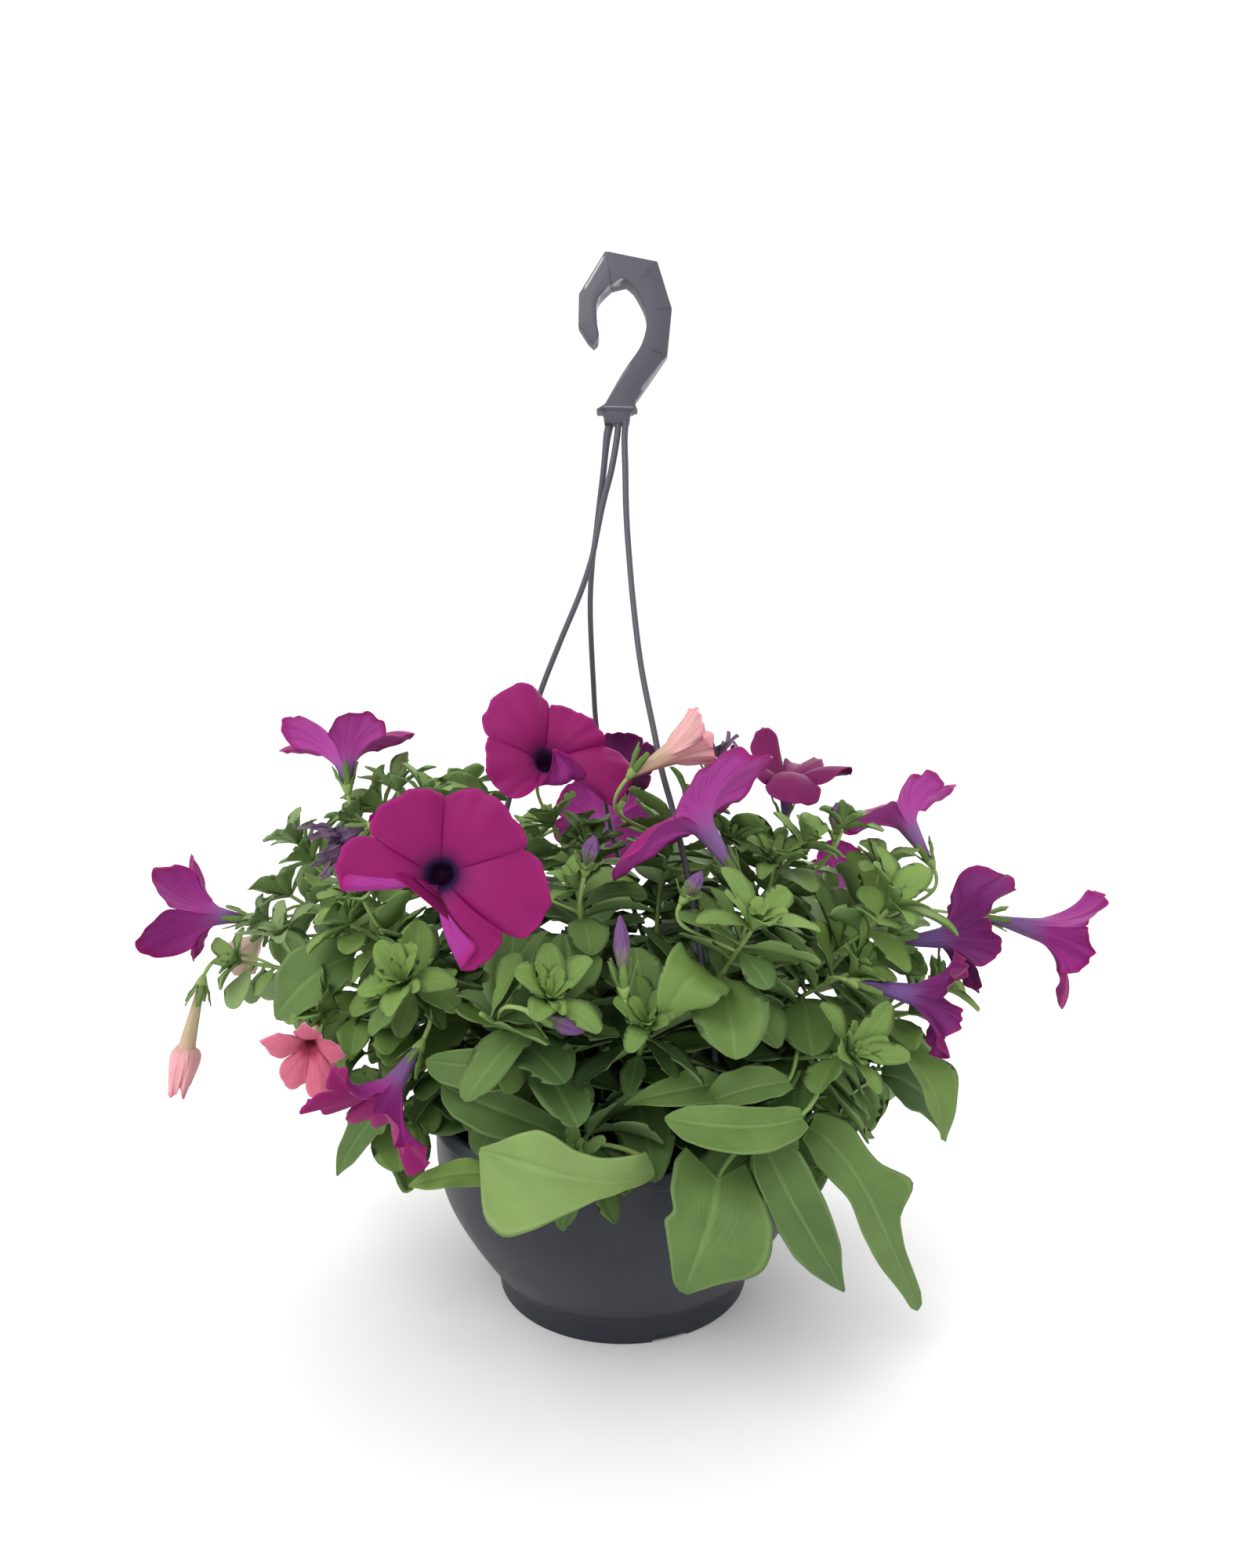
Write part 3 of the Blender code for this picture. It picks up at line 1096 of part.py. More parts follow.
class Plant:
    """The plant as it grows: each shoot's axes and solid pieces, and the room that is taken."""

    def __init__(self, room):
        self.room = room
        self.axes = {}
        self.pieces = {name: [] for name in SHOOTS}
        self.centres = np.array([[0.0, 0.0, 0.0]])

    def keep(self, name, solid):
        self.room.add(name, *solid)
        self.pieces[name].append(solid)

    def first_free(self, offers, count, owner, own_part=None):
        """The first of the offered arches that has room. Own part of it is tried against its own shoot too."""
        for controls in offers:
            if self.room.blocked(*bare_stem(controls, count), without=owner):
                continue
            if own_part and self.room.blocked(*bare_stem(controls, count, *own_part), only=owner):
                continue
            return controls
        raise RuntimeError(f"no room on {owner}")

    def grow_stems(self):
        """Lays out every stem, so that each knows where the others stand."""
        roots = []
        for name in SHOOTS:
            arches = (shoot_controls(name, attempt) for attempt in range(240))
            apart = (arch for arch in arches if all(np.hypot(*(arch[0] - root)[:2]) > 0.0075 for root in roots))
            self.axes[name] = self.first_free(apart, STEM_POINTS, "compost")
            roots.append(self.axes[name][0])
            self.room.add(name, *bare_stem(self.axes[name], STEM_POINTS))
        for number, twig in enumerate(TWIGS):
            arches = (twig_controls(twig, number, self.axes[twig.shoot], attempt) for attempt in range(160))
            self.axes[number] = self.first_free(arches, TWIG_POINTS, twig.shoot, (0.18, 1.0))
            self.room.add(twig.shoot, *bare_stem(self.axes[number], TWIG_POINTS))
        return roots

    def grow_stalks(self):
        """Flower stalks, each with its calyx."""
        flowers = {**FLOWERS, **FADED, **BUDS}
        crowns = {label: calyx_crown(flower) for label, flower in flowers.items()}
        for label, flower in flowers.items():
            self.room.add(flower.shoot, *crowns[label])
        for label, flower in flowers.items():
            stem = self.axes[flower.shoot]
            arches = (stalk_controls(label, flower, stem, attempt) for attempt in range(160))
            controls = self.first_free(arches, TWIG_POINTS, flower.shoot, (0.18, 0.9))
            route, radii = stem_route(controls, TWIG_POINTS)
            level = flower_points(flower, np.array(1.0), np.array(0.0), np.array(0.0)) - flower.foot
            self.keep(flower.shoot, crowned_stem(route, radii, crowns[label], level))

    def first_tuft(self, name, key):
        """The first tuft drawn for the end of this stem that has room."""
        for attempt in range(TUFT_DRAWS):
            tuft = drawn_tuft(key, self.axes[key], TUFT_LENGTH, attempt)
            ahead = tuft._replace(place=tuft.place + unit(tuft.aim) * 0.004)
            if self.room.blocked(*tuft_crown(tuft, CLEARANCE), without=name):
                continue
            if not self.room.blocked(*tuft_crown(ahead), only=name):
                return tuft
        return None

    def grow_tufts(self):
        """Stems and twigs, each with a tuft at its tip where there is room for one."""
        ends = [(name, name, STEM_POINTS) for name in SHOOTS]
        ends += [(twig.shoot, number, TWIG_POINTS) for number, twig in enumerate(TWIGS)]
        for name, key, count in ends:
            route, radii = stem_route(self.axes[key], count)
            if count == STEM_POINTS:
                route, radii = np.vstack([route[0] - [0, 0, STEM_DEPTH], route]), np.append(STEM_RADIUS, radii)
            tuft = self.first_tuft(name, key)
            if tuft:
                self.keep(name, crowned_stem(route, radii, tuft_crown(tuft), tuft_ways(tuft)[0]))
            else:
                self.keep(name, loft(swept_rings(route, radii, level_of(route[-1] - route[-2]))))

    def grow_big_leaves(self):
        for number, (name, *_) in enumerate(BIG_LEAVES):
            for attempt in range(BIG_LEAF_DRAWS):
                leaf = drawn_big_leaf(number, self.axes[name], attempt)
                if leaf_fits(self.room, name, leaf):
                    self.keep(name, leaf_solid(leaf))
                    self.centres = np.vstack([self.centres, (leaf.knee + leaf.tip) / 2])
                    break

    def grow_leaves(self, name, key, runs, count, length):
        """At each place on a stem, the drawn leaf that fits and lies furthest out and from the others."""
        for number in range(count):
            ranked = []
            for leaf in leaf_choices(key, self.axes[key], runs, number, count, length):
                centre = (leaf.knee + leaf.tip) / 2
                apart = min(np.linalg.norm(self.centres - centre, axis=1).min(), 0.04)
                ranked.append((-apart - 0.2 * np.linalg.norm(centre - CORE), len(ranked), leaf, centre))
            for _, _, leaf, centre in sorted(ranked, key=lambda entry: entry[:2]):
                if not blocks_a_mouth(leaf) and leaf_fits(self.room, name, leaf):
                    self.keep(name, leaf_solid(leaf))
                    self.centres = np.vstack([self.centres, centre])
                    break

    def grow_foliage(self):
        for name, shoot in SHOOTS.items():
            self.grow_leaves(name, name, STEM_POINTS, shoot.leaves, shoot.length)
        for number, twig in enumerate(TWIGS):
            self.grow_leaves(twig.shoot, number, TWIG_POINTS, twig.leaves, twig.length)


room = Room()
for holder in (make_pot(), make_hanger()):
    room.add(holder.name, *mesh_arrays(holder.data))
compost_top = cylinder(0.112, 0.06, COMPOST_TOP, (0, 0), 24)
room.add("compost", *mesh_arrays(compost_top.data))
bpy.data.objects.remove(compost_top)

corollas = {}
for name, flower in {**FLOWERS, **FADED}.items():
    small = name in FADED or flower.aim[1] > 0.35
    corollas[name] = corolla_solid(flower, 2 if small else 3)
for name, flower in BUDS.items():
    corollas[name] = bud_solid(flower)
for name, solid in corollas.items():
    room.add(name, *solid)

plant = Plant(room)
make_compost(plant.grow_stems())
plant.grow_stalks()
plant.grow_big_leaves()
plant.grow_tufts()
plant.grow_foliage()
for name, pieces in plant.pieces.items():
    fused(name, pieces, LEAF_GREEN)
for group, material in ((FLOWERS, MAGENTA_PETAL), (FADED, PINK_PETAL), (BUDS, PURPLE_BUD)):
    for name in group:
        fused(name, [corollas[name]], material)

for made in basket.objects:
    made.data.shade_smooth()
    made.data.set_sharp_from_angle(angle=math.radians(35))
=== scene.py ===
"""Petunia hanging basket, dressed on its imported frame: a bowl pot, a moulded hanger and a petunia."""

import json
import math
import random
from collections import namedtuple

import bpy
import numpy as np
from mathutils.bvhtree import BVHTree
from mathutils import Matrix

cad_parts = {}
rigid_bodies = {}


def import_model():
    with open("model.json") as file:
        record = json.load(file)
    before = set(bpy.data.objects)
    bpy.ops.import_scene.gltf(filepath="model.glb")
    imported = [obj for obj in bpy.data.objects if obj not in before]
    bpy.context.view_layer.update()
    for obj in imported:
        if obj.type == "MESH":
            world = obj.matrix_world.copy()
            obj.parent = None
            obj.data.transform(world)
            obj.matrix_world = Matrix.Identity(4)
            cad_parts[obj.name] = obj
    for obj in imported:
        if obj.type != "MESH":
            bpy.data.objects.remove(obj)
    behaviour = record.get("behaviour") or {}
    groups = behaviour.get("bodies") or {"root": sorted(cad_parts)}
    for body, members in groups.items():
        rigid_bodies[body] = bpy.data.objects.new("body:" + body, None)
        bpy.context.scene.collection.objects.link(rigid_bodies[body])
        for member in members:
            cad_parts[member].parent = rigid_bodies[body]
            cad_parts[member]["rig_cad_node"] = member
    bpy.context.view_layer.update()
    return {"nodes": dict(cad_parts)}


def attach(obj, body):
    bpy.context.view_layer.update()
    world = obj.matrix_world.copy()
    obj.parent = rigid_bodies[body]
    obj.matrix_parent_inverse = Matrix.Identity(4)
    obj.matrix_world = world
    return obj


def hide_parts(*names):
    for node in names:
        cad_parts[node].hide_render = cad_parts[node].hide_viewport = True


for leftover in list(bpy.data.objects):
    bpy.data.objects.remove(leftover)
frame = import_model()


# Pot: one thin moulding of slate plastic. It is turned about the upright axis, from the middle of its
# floor up the inside, over a rolled rim and down the bowl to a foot with a small step. Three lugs stand
# inside the rim for the straps, and five drain holes and three notches open the foot.

POT_HEIGHT = 0.111
RIM_RADIUS = 0.118
WALL = 0.0022
FLOOR = 0.003
RIM_ROUND = 0.0012
BOWL_OUTSIDE = [
    (0.1164, 0.1015), (0.1154, 0.08), (0.1099, 0.06), (0.099, 0.04), (0.087, 0.0225), (0.0803, 0.0150),
]
POT_SIDES = 192
LUG_ANGLES = (180, 300, 60)
LUG_CIRCLE = 0.1075
LUG_TOP = 0.1078
LUG_UNDER = 0.1046
LUG_LENGTH = 0.0139
LUG_WIDTH = 0.013
LUG_REACH = 0.00195
DRAIN_ANGLES = range(30, 390, 72)
DRAIN_CIRCLE = 0.05
DRAIN_RADIUS = 0.004
NOTCH_ANGLES = (-70, 50, 170)
NOTCH_CIRCLE = 0.0775
NOTCH_SIZE = (0.012, 0.021, 0.0034)


class Mark:
    """A value in a finish's tree of nodes, so that sums of values are written as arithmetic."""

    def __init__(self, finish, socket):
        self.finish, self.socket = finish, socket

    def sum(self, operation, first, second, clamp=False):
        """A Math node on two values. One that needs a single value leaves the second aside."""
        settings = {"operation": operation, "use_clamp": clamp}
        return self.finish.node("ShaderNodeMath", settings, {0: first, 1: second})

    def __add__(self, other):
        return self.sum("ADD", self, other)

    def __radd__(self, other):
        return self.sum("ADD", other, self)

    def __sub__(self, other):
        return self.sum("SUBTRACT", self, other)

    def __rsub__(self, other):
        return self.sum("SUBTRACT", other, self)

    def __mul__(self, other):
        return self.sum("MULTIPLY", self, other)

    def __rmul__(self, other):
        return self.sum("MULTIPLY", other, self)

    def clamped(self):
        """The value, held between 0 and 1."""
        return self.sum("ADD", self, 0.0, clamp=True)

    def size(self):
        """The value without its sign."""
        return self.sum("ABSOLUTE", self, 0.0)

    def wave(self):
        """The sine of the value, counted in turns."""
        return self.sum("SINE", self * (2 * math.pi), 0.0)


class Finish:
    """A surface finish. What is the same all over is set on the shader's own sockets."""

    def __init__(self, name, roughness, **constants):
        self.material = bpy.data.materials.new(name)
        self.material.use_nodes = True
        self.tree = self.material.node_tree
        self.shader = self.tree.nodes["Principled BSDF"]
        self.put(self.shader.inputs["Roughness"], roughness)
        for socket, value in constants.items():
            self.put(self.shader.inputs[socket.replace("_", " ")], value)

    def put(self, socket, value):
        """Links a mark to a socket, or sets the socket to a plain value."""
        if isinstance(value, Mark):
            self.tree.links.new(value.socket, socket)
        else:
            socket.default_value = value

    def node(self, kind, settings=None, values=None, output=0):
        """Adds a node: its settings first, then the values or links of its sockets."""
        made = self.tree.nodes.new(kind)
        for name, value in (settings or {}).items():
            if name == "stops":
                stops = made.color_ramp.elements
                stops.remove(stops[1])
                stops[0].position = value[0][0]
                for place, _ in value[1:]:
                    stops.new(place)
                for stop, (_, colour) in zip(stops, value):
                    stop.color = (*colour, 1)
            else:
                setattr(made, name, value)
        for key, value in (values or {}).items():
            self.put(made.inputs[key], value)
        return Mark(self, made.outputs[output])

    def mix(self, factor, first, second):
        """The colour that lies between two by a factor. Its sockets follow those for numbers and vectors."""
        return self.node("ShaderNodeMix", {"data_type": "RGBA"}, {0: factor, 6: first, 7: second}, 2)

    def ramp(self, factor, stops):
        """The colour at a factor along stops, each of which is a place and a colour."""
        return self.node("ShaderNodeValToRGB", {"stops": stops}, {0: factor})

    def noise(self, scale, detail=2.0, where=None):
        """Smooth noise of 0 to 1, on the object's own coordinates or on given ones."""
        where = where or self.node("ShaderNodeTexCoord", output="Object")
        return self.node("ShaderNodeTexNoise", None, {"Vector": where, "Scale": scale, "Detail": detail})

    def marks(self):
        """The four numbers that each point carries, as separate values."""
        read = self.node("ShaderNodeAttribute", {"attribute_name": "mark"})
        alpha = Mark(self, read.socket.node.outputs["Alpha"])
        parts = self.node("ShaderNodeSeparateXYZ", None, {0: read})
        return [Mark(self, parts.socket.node.outputs[k]) for k in range(3)] + [alpha]

    def coloured(self, colour):
        """Gives the finish its colour."""
        self.put(self.shader.inputs["Base Color"], colour)

    def glossed(self, roughness):
        """Gives the finish a roughness that changes over the surface."""
        self.put(self.shader.inputs["Roughness"], roughness)

    def embossed(self, height, strength, distance):
        """Gives the finish fine bumps of a height."""
        values = {"Height": height, "Strength": strength, "Distance": distance}
        self.put(self.shader.inputs["Normal"], self.node("ShaderNodeBump", None, values))


class Skin:
    """Closed surfaces gathered into one mesh.

    A surface is a grid of rings: each ring closes round, and a point closes each end. Every point
    carries a mark of four numbers for its finish.
    """

    def __init__(self):
        self.points, self.marks, self.quads, self.fans, self.count = [], [], [], [], 0

    def add(self, rings, marks, base, tip):
        """Rings of (steps, sides, 3), their marks of (steps, sides, 4), and the end points."""
        steps, sides = rings.shape[:2]
        points = np.concatenate([rings.reshape(-1, 3), [base, tip]])
        ends = [marks[0].mean(axis=0), marks[-1].mean(axis=0)]
        corner = np.arange(steps * sides).reshape(steps, sides)
        after = np.roll(corner, -1, axis=1)
        quads = np.stack([corner[:-1], after[:-1], after[1:], corner[1:]], axis=-1).reshape(-1, 4)
        low = np.stack([after[0], corner[0], np.full(sides, steps * sides)], axis=-1)
        high = np.stack([corner[-1], after[-1], np.full(sides, steps * sides + 1)], axis=-1)
        fans = np.concatenate([low, high])
        middle = points - points.mean(axis=0)
        triangles = np.concatenate([quads[:, :3], quads[:, [0, 2, 3]], fans])
        if np.linalg.det(middle[triangles]).sum() < 0:
            quads, fans = quads[:, ::-1], fans[:, ::-1]
        self.points.append(points)
        self.marks.append(np.concatenate([marks.reshape(-1, 4), ends]))
        self.quads.append(quads + self.count)
        self.fans.append(fans + self.count)
        self.count += len(points)

    def piece(self, name, finish, slot, nodes=(), crease=None):
        """Makes the object, gives it its finish and hides the frame's nodes that it stands in for."""
        quads, fans = np.concatenate(self.quads), np.concatenate(self.fans)
        mesh = bpy.data.meshes.new(name)
        mesh.vertices.add(self.count)
        mesh.vertices.foreach_set("co", np.concatenate(self.points).ravel())
        mesh.loops.add(quads.size + fans.size)
        mesh.loops.foreach_set("vertex_index", np.concatenate([quads.ravel(), fans.ravel()]))
        mesh.polygons.add(len(quads) + len(fans))
        starts = np.concatenate([np.arange(len(quads)) * 4, quads.size + np.arange(len(fans)) * 3])
        mesh.polygons.foreach_set("loop_start", starts)
        mesh.update(calc_edges=True)
        mark = mesh.attributes.new("mark", "FLOAT_COLOR", "POINT")
        mark.data.foreach_set("color", np.concatenate(self.marks).ravel())
        mesh.shade_smooth()
        if crease:
            mesh.set_sharp_from_angle(angle=math.radians(crease))
        mesh.materials.append(finish.material)
        made = bpy.data.objects.new(name, mesh)
        bpy.context.scene.collection.objects.link(made)
        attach(made, "root")
        if nodes:
            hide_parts(*nodes)
        return made


def smooth_route(points, count):
    """Points evenly spread on a smooth curve through the given ones, by Catmull and Rom's cubic."""
    knots = np.array([points[0], *points, points[-1]], float)
    spans = len(points) - 1
    at = np.linspace(0, spans, count)
    first = np.minimum(at.astype(int), spans - 1)
    t = (at - first)[:, None]
    a, b, c, d = (knots[first + k] for k in range(4))
    bend = 2 * a - 5 * b + 4 * c - d
    return 0.5 * (2 * b + (c - a) * t + bend * t**2 + (3 * b - a - 3 * c + d) * t**3)


def whole_turn(sides):
    """Angles spread evenly round a whole turn."""
    return np.linspace(0, 2 * math.pi, sides, endpoint=False)


def turned(profile, sides):
    """Each (radius, height) of the profile swept round the upright axis: (r cos a, r sin a, z)."""
    angle = whole_turn(sides)
    radius, height = np.asarray(profile).T
    across = radius[:, None] * np.cos(angle), radius[:, None] * np.sin(angle)
    return np.stack([*across, np.repeat(height[:, None], sides, axis=1)], axis=-1)


def still(rings, value=(0, 0, 0, 0)):
    """The same mark for every point of a grid."""
    return np.broadcast_to(np.array(value, float), (*rings.shape[:2], 4)).copy()


def around(degrees, radius):
    """The x and y of a point at this angle and radius from the upright axis."""
    angle = math.radians(degrees)
    return radius * math.cos(angle), radius * math.sin(angle)


def squared(value, power):
    """A sine or cosine raised to a small power, its sign kept, which squares off a circle."""
    return np.sign(value) * np.abs(value) ** power


def rounded_bar(size, centre, turn, power=5.0, steps=14, sides=28):
    """A rounded block: a ball whose sines and cosines are raised to 2 / power, turned about Z."""
    lift = np.linspace(-math.pi / 2, math.pi / 2, steps + 2)[1:-1][:, None]
    angle = whole_turn(sides)[None]
    level, upright = squared(np.cos(lift), 2 / power), squared(np.sin(lift), 2 / power)
    shape = [level * squared(np.cos(angle), 2 / power), level * squared(np.sin(angle), 2 / power)]
    local = np.stack([*shape, upright + 0 * angle], axis=-1) * np.array(size) / 2
    cos, sin = math.cos(turn), math.sin(turn)
    spun = np.array([[cos, sin, 0], [-sin, cos, 0], [0, 0, 1]])
    rings = local @ spun + np.array(centre)
    rise = np.array([0, 0, size[2] / 2])
    return rings, still(rings), np.array(centre) - rise, np.array(centre) + rise


def inner_wall():
    """The pot's inside from its floor to its rim: the outside's points, moved in by the wall."""
    rising = [(radius - WALL, height + 0.001) for radius, height in BOWL_OUTSIDE[-2:0:-1]]
    return [(0.0745, FLOOR + 0.0012), *rising, (BOWL_OUTSIDE[0][0] - WALL, POT_HEIGHT - 0.0008)]


def arc(centre, radius, start, end, count):
    """Points on an arc of a (radius, height) profile, from one angle to another in degrees."""
    angle = np.radians(np.linspace(start, end, count))
    return np.stack([centre[0] + radius * np.cos(angle), centre[1] + radius * np.sin(angle)], axis=1)


pot_profile = np.concatenate([
    [(0.004, FLOOR), (0.03, FLOOR), (0.0725, FLOOR)],
    smooth_route(inner_wall(), 30),
    arc((0.1158, POT_HEIGHT - RIM_ROUND), RIM_ROUND, 170, 90, 4),
    arc((RIM_RADIUS - RIM_ROUND, POT_HEIGHT - RIM_ROUND), RIM_ROUND, 80, 0, 5),
    [(RIM_RADIUS, 0.1032)],
    arc((RIM_RADIUS - 0.0010, 0.1028), 0.0010, -20, -85, 3),
    smooth_route(BOWL_OUTSIDE, 40),
    arc((0.0796, 0.0148), 0.0006, -10, -80, 3),
    [(0.0788, 0.0142), (0.0786, 0.0120), (0.0783, 0.0080), (0.0772, 0.0012)],
    arc((0.0762, 0.0010), 0.0010, -10, -90, 4),
    [(0.0700, 0.0), (0.0696, 0.0010), (0.03, 0.0010), (0.004, 0.0010)],
])

slate = Finish("slate_plastic", 0.42, Specular_IOR_Level=0.34)
grain = slate.noise(900.0, 2.0)
cloud = slate.noise(14.0, 3.0)
dust = (slate.noise(60.0, 5.0) * 2.2 - 1.05).clamped()
plain = slate.mix(cloud, (0.012, 0.0155, 0.022, 1), (0.018, 0.022, 0.030, 1))
slate.coloured(slate.mix(dust * 0.18, plain, (0.055, 0.06, 0.066, 1)))
slate.glossed(0.38 + 0.14 * cloud + 0.12 * dust)
slate.embossed(grain + 0.4 * slate.noise(160.0, 3.0), 0.16, 0.0004)

pot_skin = Skin()
pot_rings = turned(pot_profile, POT_SIDES)
pot_skin.add(pot_rings, still(pot_rings), (0, 0, FLOOR), (0, 0, 0.0010))
pot = pot_skin.piece("pot_moulded", slate, "slate_plastic", ["pot"], crease=38)


def cut(made, cutters):
    """Takes the cutters' surfaces out of a piece in one Boolean, and keeps the result as its mesh."""
    tool = Skin()
    for cutter in cutters:
        tool.add(*cutter)
    knife = tool.piece("knife", slate, "slate_plastic")
    step = made.modifiers.new("openings", "BOOLEAN")
    step.operation, step.solver, step.object = "DIFFERENCE", "EXACT", knife
    bpy.context.view_layer.update()
    mesh = bpy.data.meshes.new_from_object(made.evaluated_get(bpy.context.evaluated_depsgraph_get()))
    made.modifiers.clear()
    made.data = mesh
    bpy.data.objects.remove(knife)


def peg(centre, radius, low, high, sides=20):
    """An upright round peg."""
    angle = whole_turn(sides)
    ring = np.stack([centre[0] + radius * np.cos(angle), centre[1] + radius * np.sin(angle)], axis=1)
    rings = np.stack([np.column_stack([ring, np.full(sides, z)]) for z in (low, high)])
    return rings, still(rings), (*centre, low), (*centre, high)


drains = [peg(around(angle, DRAIN_CIRCLE), DRAIN_RADIUS, -0.002, FLOOR + 0.002) for angle in DRAIN_ANGLES]
notches = [
    rounded_bar(NOTCH_SIZE, (*around(angle, NOTCH_CIRCLE), 0), math.radians(angle), 12.0)
    for angle in NOTCH_ANGLES
]
cut(pot, drains + notches)

lug_skin = Skin()
for angle in LUG_ANGLES:
    size = (LUG_LENGTH, LUG_WIDTH, LUG_TOP - LUG_UNDER)
    place = (*around(angle, LUG_CIRCLE + LUG_REACH), (LUG_TOP + LUG_UNDER) / 2)
    lug_skin.add(*rounded_bar(size, place, math.radians(angle), 8.0))
lug_skin.piece("pot_lugs", slate, "slate_plastic")


# Compost: a dark, crumbly mix of peat and fine bark that fills the pot to just under the rim. Its top is
# a rough disc with crumbs lying on it, and its sides follow the pot's inside a hair's breadth away.

COMPOST_TOP = 0.0975
COMPOST_EDGE = 0.1118
COMPOST_GAP = 0.0006
COMPOST_ROWS = 70
CRUMBS = 240


def ripples(points, size, seed):
    """A smooth random value for each point, near -1 to 1: a sum of nine sines in random directions."""
    draw = np.random.default_rng(seed)
    ways = draw.normal(size=(9, 3))
    lengths = np.linalg.norm(ways, axis=1, keepdims=True)
    ways *= (2 * math.pi / size) * draw.uniform(0.6, 1.5, (9, 1)) / lengths
    return np.sin(points @ ways.T + draw.uniform(0, 6.28, 9)).sum(axis=-1) / 3.2


peat = Finish("peat_compost", 0.95, Specular_IOR_Level=0.2)
crumb = peat.noise(420.0, 4.0)
fibre = peat.noise(130.0, 6.0)
peat.coloured(peat.ramp(fibre, [
    (0.30, (0.006, 0.004, 0.003)), (0.48, (0.020, 0.012, 0.007)), (0.60, (0.045, 0.026, 0.014)),
    (0.74, (0.095, 0.060, 0.034)),
]))
peat.embossed(crumb + fibre, 0.9, 0.0012)

side_wall = [
    (radius - COMPOST_GAP, height) for radius, height in inner_wall() if height < COMPOST_TOP - 0.004
]
compost_profile = np.concatenate([
    [(radius, COMPOST_TOP) for radius in np.linspace(0.0015, COMPOST_EDGE, COMPOST_ROWS)],
    [(0.1131, COMPOST_TOP - 0.0015)],
    side_wall[::-1], [(0.060, FLOOR + 0.0004), (0.002, FLOOR + 0.0004)],
])
compost_rings = turned(compost_profile, 150)
lump = 0.0011 * ripples(compost_rings, 0.014, 3) + 0.0007 * ripples(compost_rings, 0.005, 4)
compost_top = compost_rings[: COMPOST_ROWS + 1, :, 2]
compost_top += np.clip(lump[: COMPOST_ROWS + 1], -0.002, 0.0016) - 0.0006
compost_skin = Skin()
top_height = float(compost_rings[0, :, 2].mean())
compost_skin.add(compost_rings, still(compost_rings), (0, 0, top_height), (0, 0, FLOOR + 0.0004))
scatter = random.Random(11)
for number in range(CRUMBS):
    angle, reach = scatter.uniform(0, 360), 0.108 * math.sqrt(scatter.random())
    crumb_size = [scatter.uniform(0.0015, 0.0045) * stretch for stretch in (1.3, 1.0, 0.7)]
    crumb_place = (*around(angle, reach), COMPOST_TOP + scatter.uniform(-0.0004, 0.0007))
    rings, marks, base, tip = rounded_bar(crumb_size, crumb_place, scatter.uniform(0, 3), 2.4, 3, 6)
    rings = rings + 0.0004 * ripples(rings, 0.003, number)[..., None]
    compost_skin.add(rings, marks, base, tip)
compost_skin.piece("compost_fill", peat, "compost", ["compost"])


# Hanger: a hook, a collar and three thin straps, all one moulding of grey plastic. The hook's outer edge
# runs in straight facets that slope a little down to the edge, so that a crease runs in from every
# corner, and its mouth is a smooth arch with a point at the top. Each strap ends in a knob under its lug.

HOOK_THICKNESS = 0.0115
HOOK_ROUND = 0.0013
FACET_DEPTH = 0.0080
FACET_SLOPE = 0.17
# Corners of the outer edge, each with the point of the inner edge across the bar from it.
HOOK_STATIONS = [
    ((-0.0190, 0.5858), (-0.0160, 0.5890)), ((-0.0226, 0.5892), (-0.0153, 0.5925)),
    ((-0.0284, 0.5983), (-0.0164, 0.6000)), ((-0.0280, 0.6182), (-0.0160, 0.6135)),
    ((-0.0116, 0.6449), (-0.0077, 0.6230)), ((-0.0090, 0.6449), (-0.0060, 0.6238)),
    ((0.0030, 0.6424), (0.0020, 0.6258)), ((0.0219, 0.6386), (0.0080, 0.6195)),
    ((0.0311, 0.6087), (0.0148, 0.6035)), ((0.0283, 0.5800), (0.0118, 0.5860)),
    ((0.0160, 0.5620), (0.0004, 0.5688)), ((0.0083, 0.5512), (-0.0098, 0.5510)),
    ((0.0080, 0.5475), (-0.0120, 0.5476)), ((0.0092, 0.5450), (-0.0168, 0.5446)),
]
# The inner edge's two arches meet in a point across from this corner.
HOOK_POINT = 6
HOOK_STEPS = 8
COLLAR_X = -0.0039
COLLAR_STEPS = [
    (0.5462, 0.0116, 0.0052), (0.5450, 0.0120, 0.0056), (0.5441, 0.0112, 0.0055), (0.5434, 0.0092, 0.0050),
    (0.5410, 0.0085, 0.0046), (0.5390, 0.0083, 0.0042), (0.5375, 0.0082, 0.0038), (0.5366, 0.0079, 0.0032),
]
STRAP_STEPS = 110
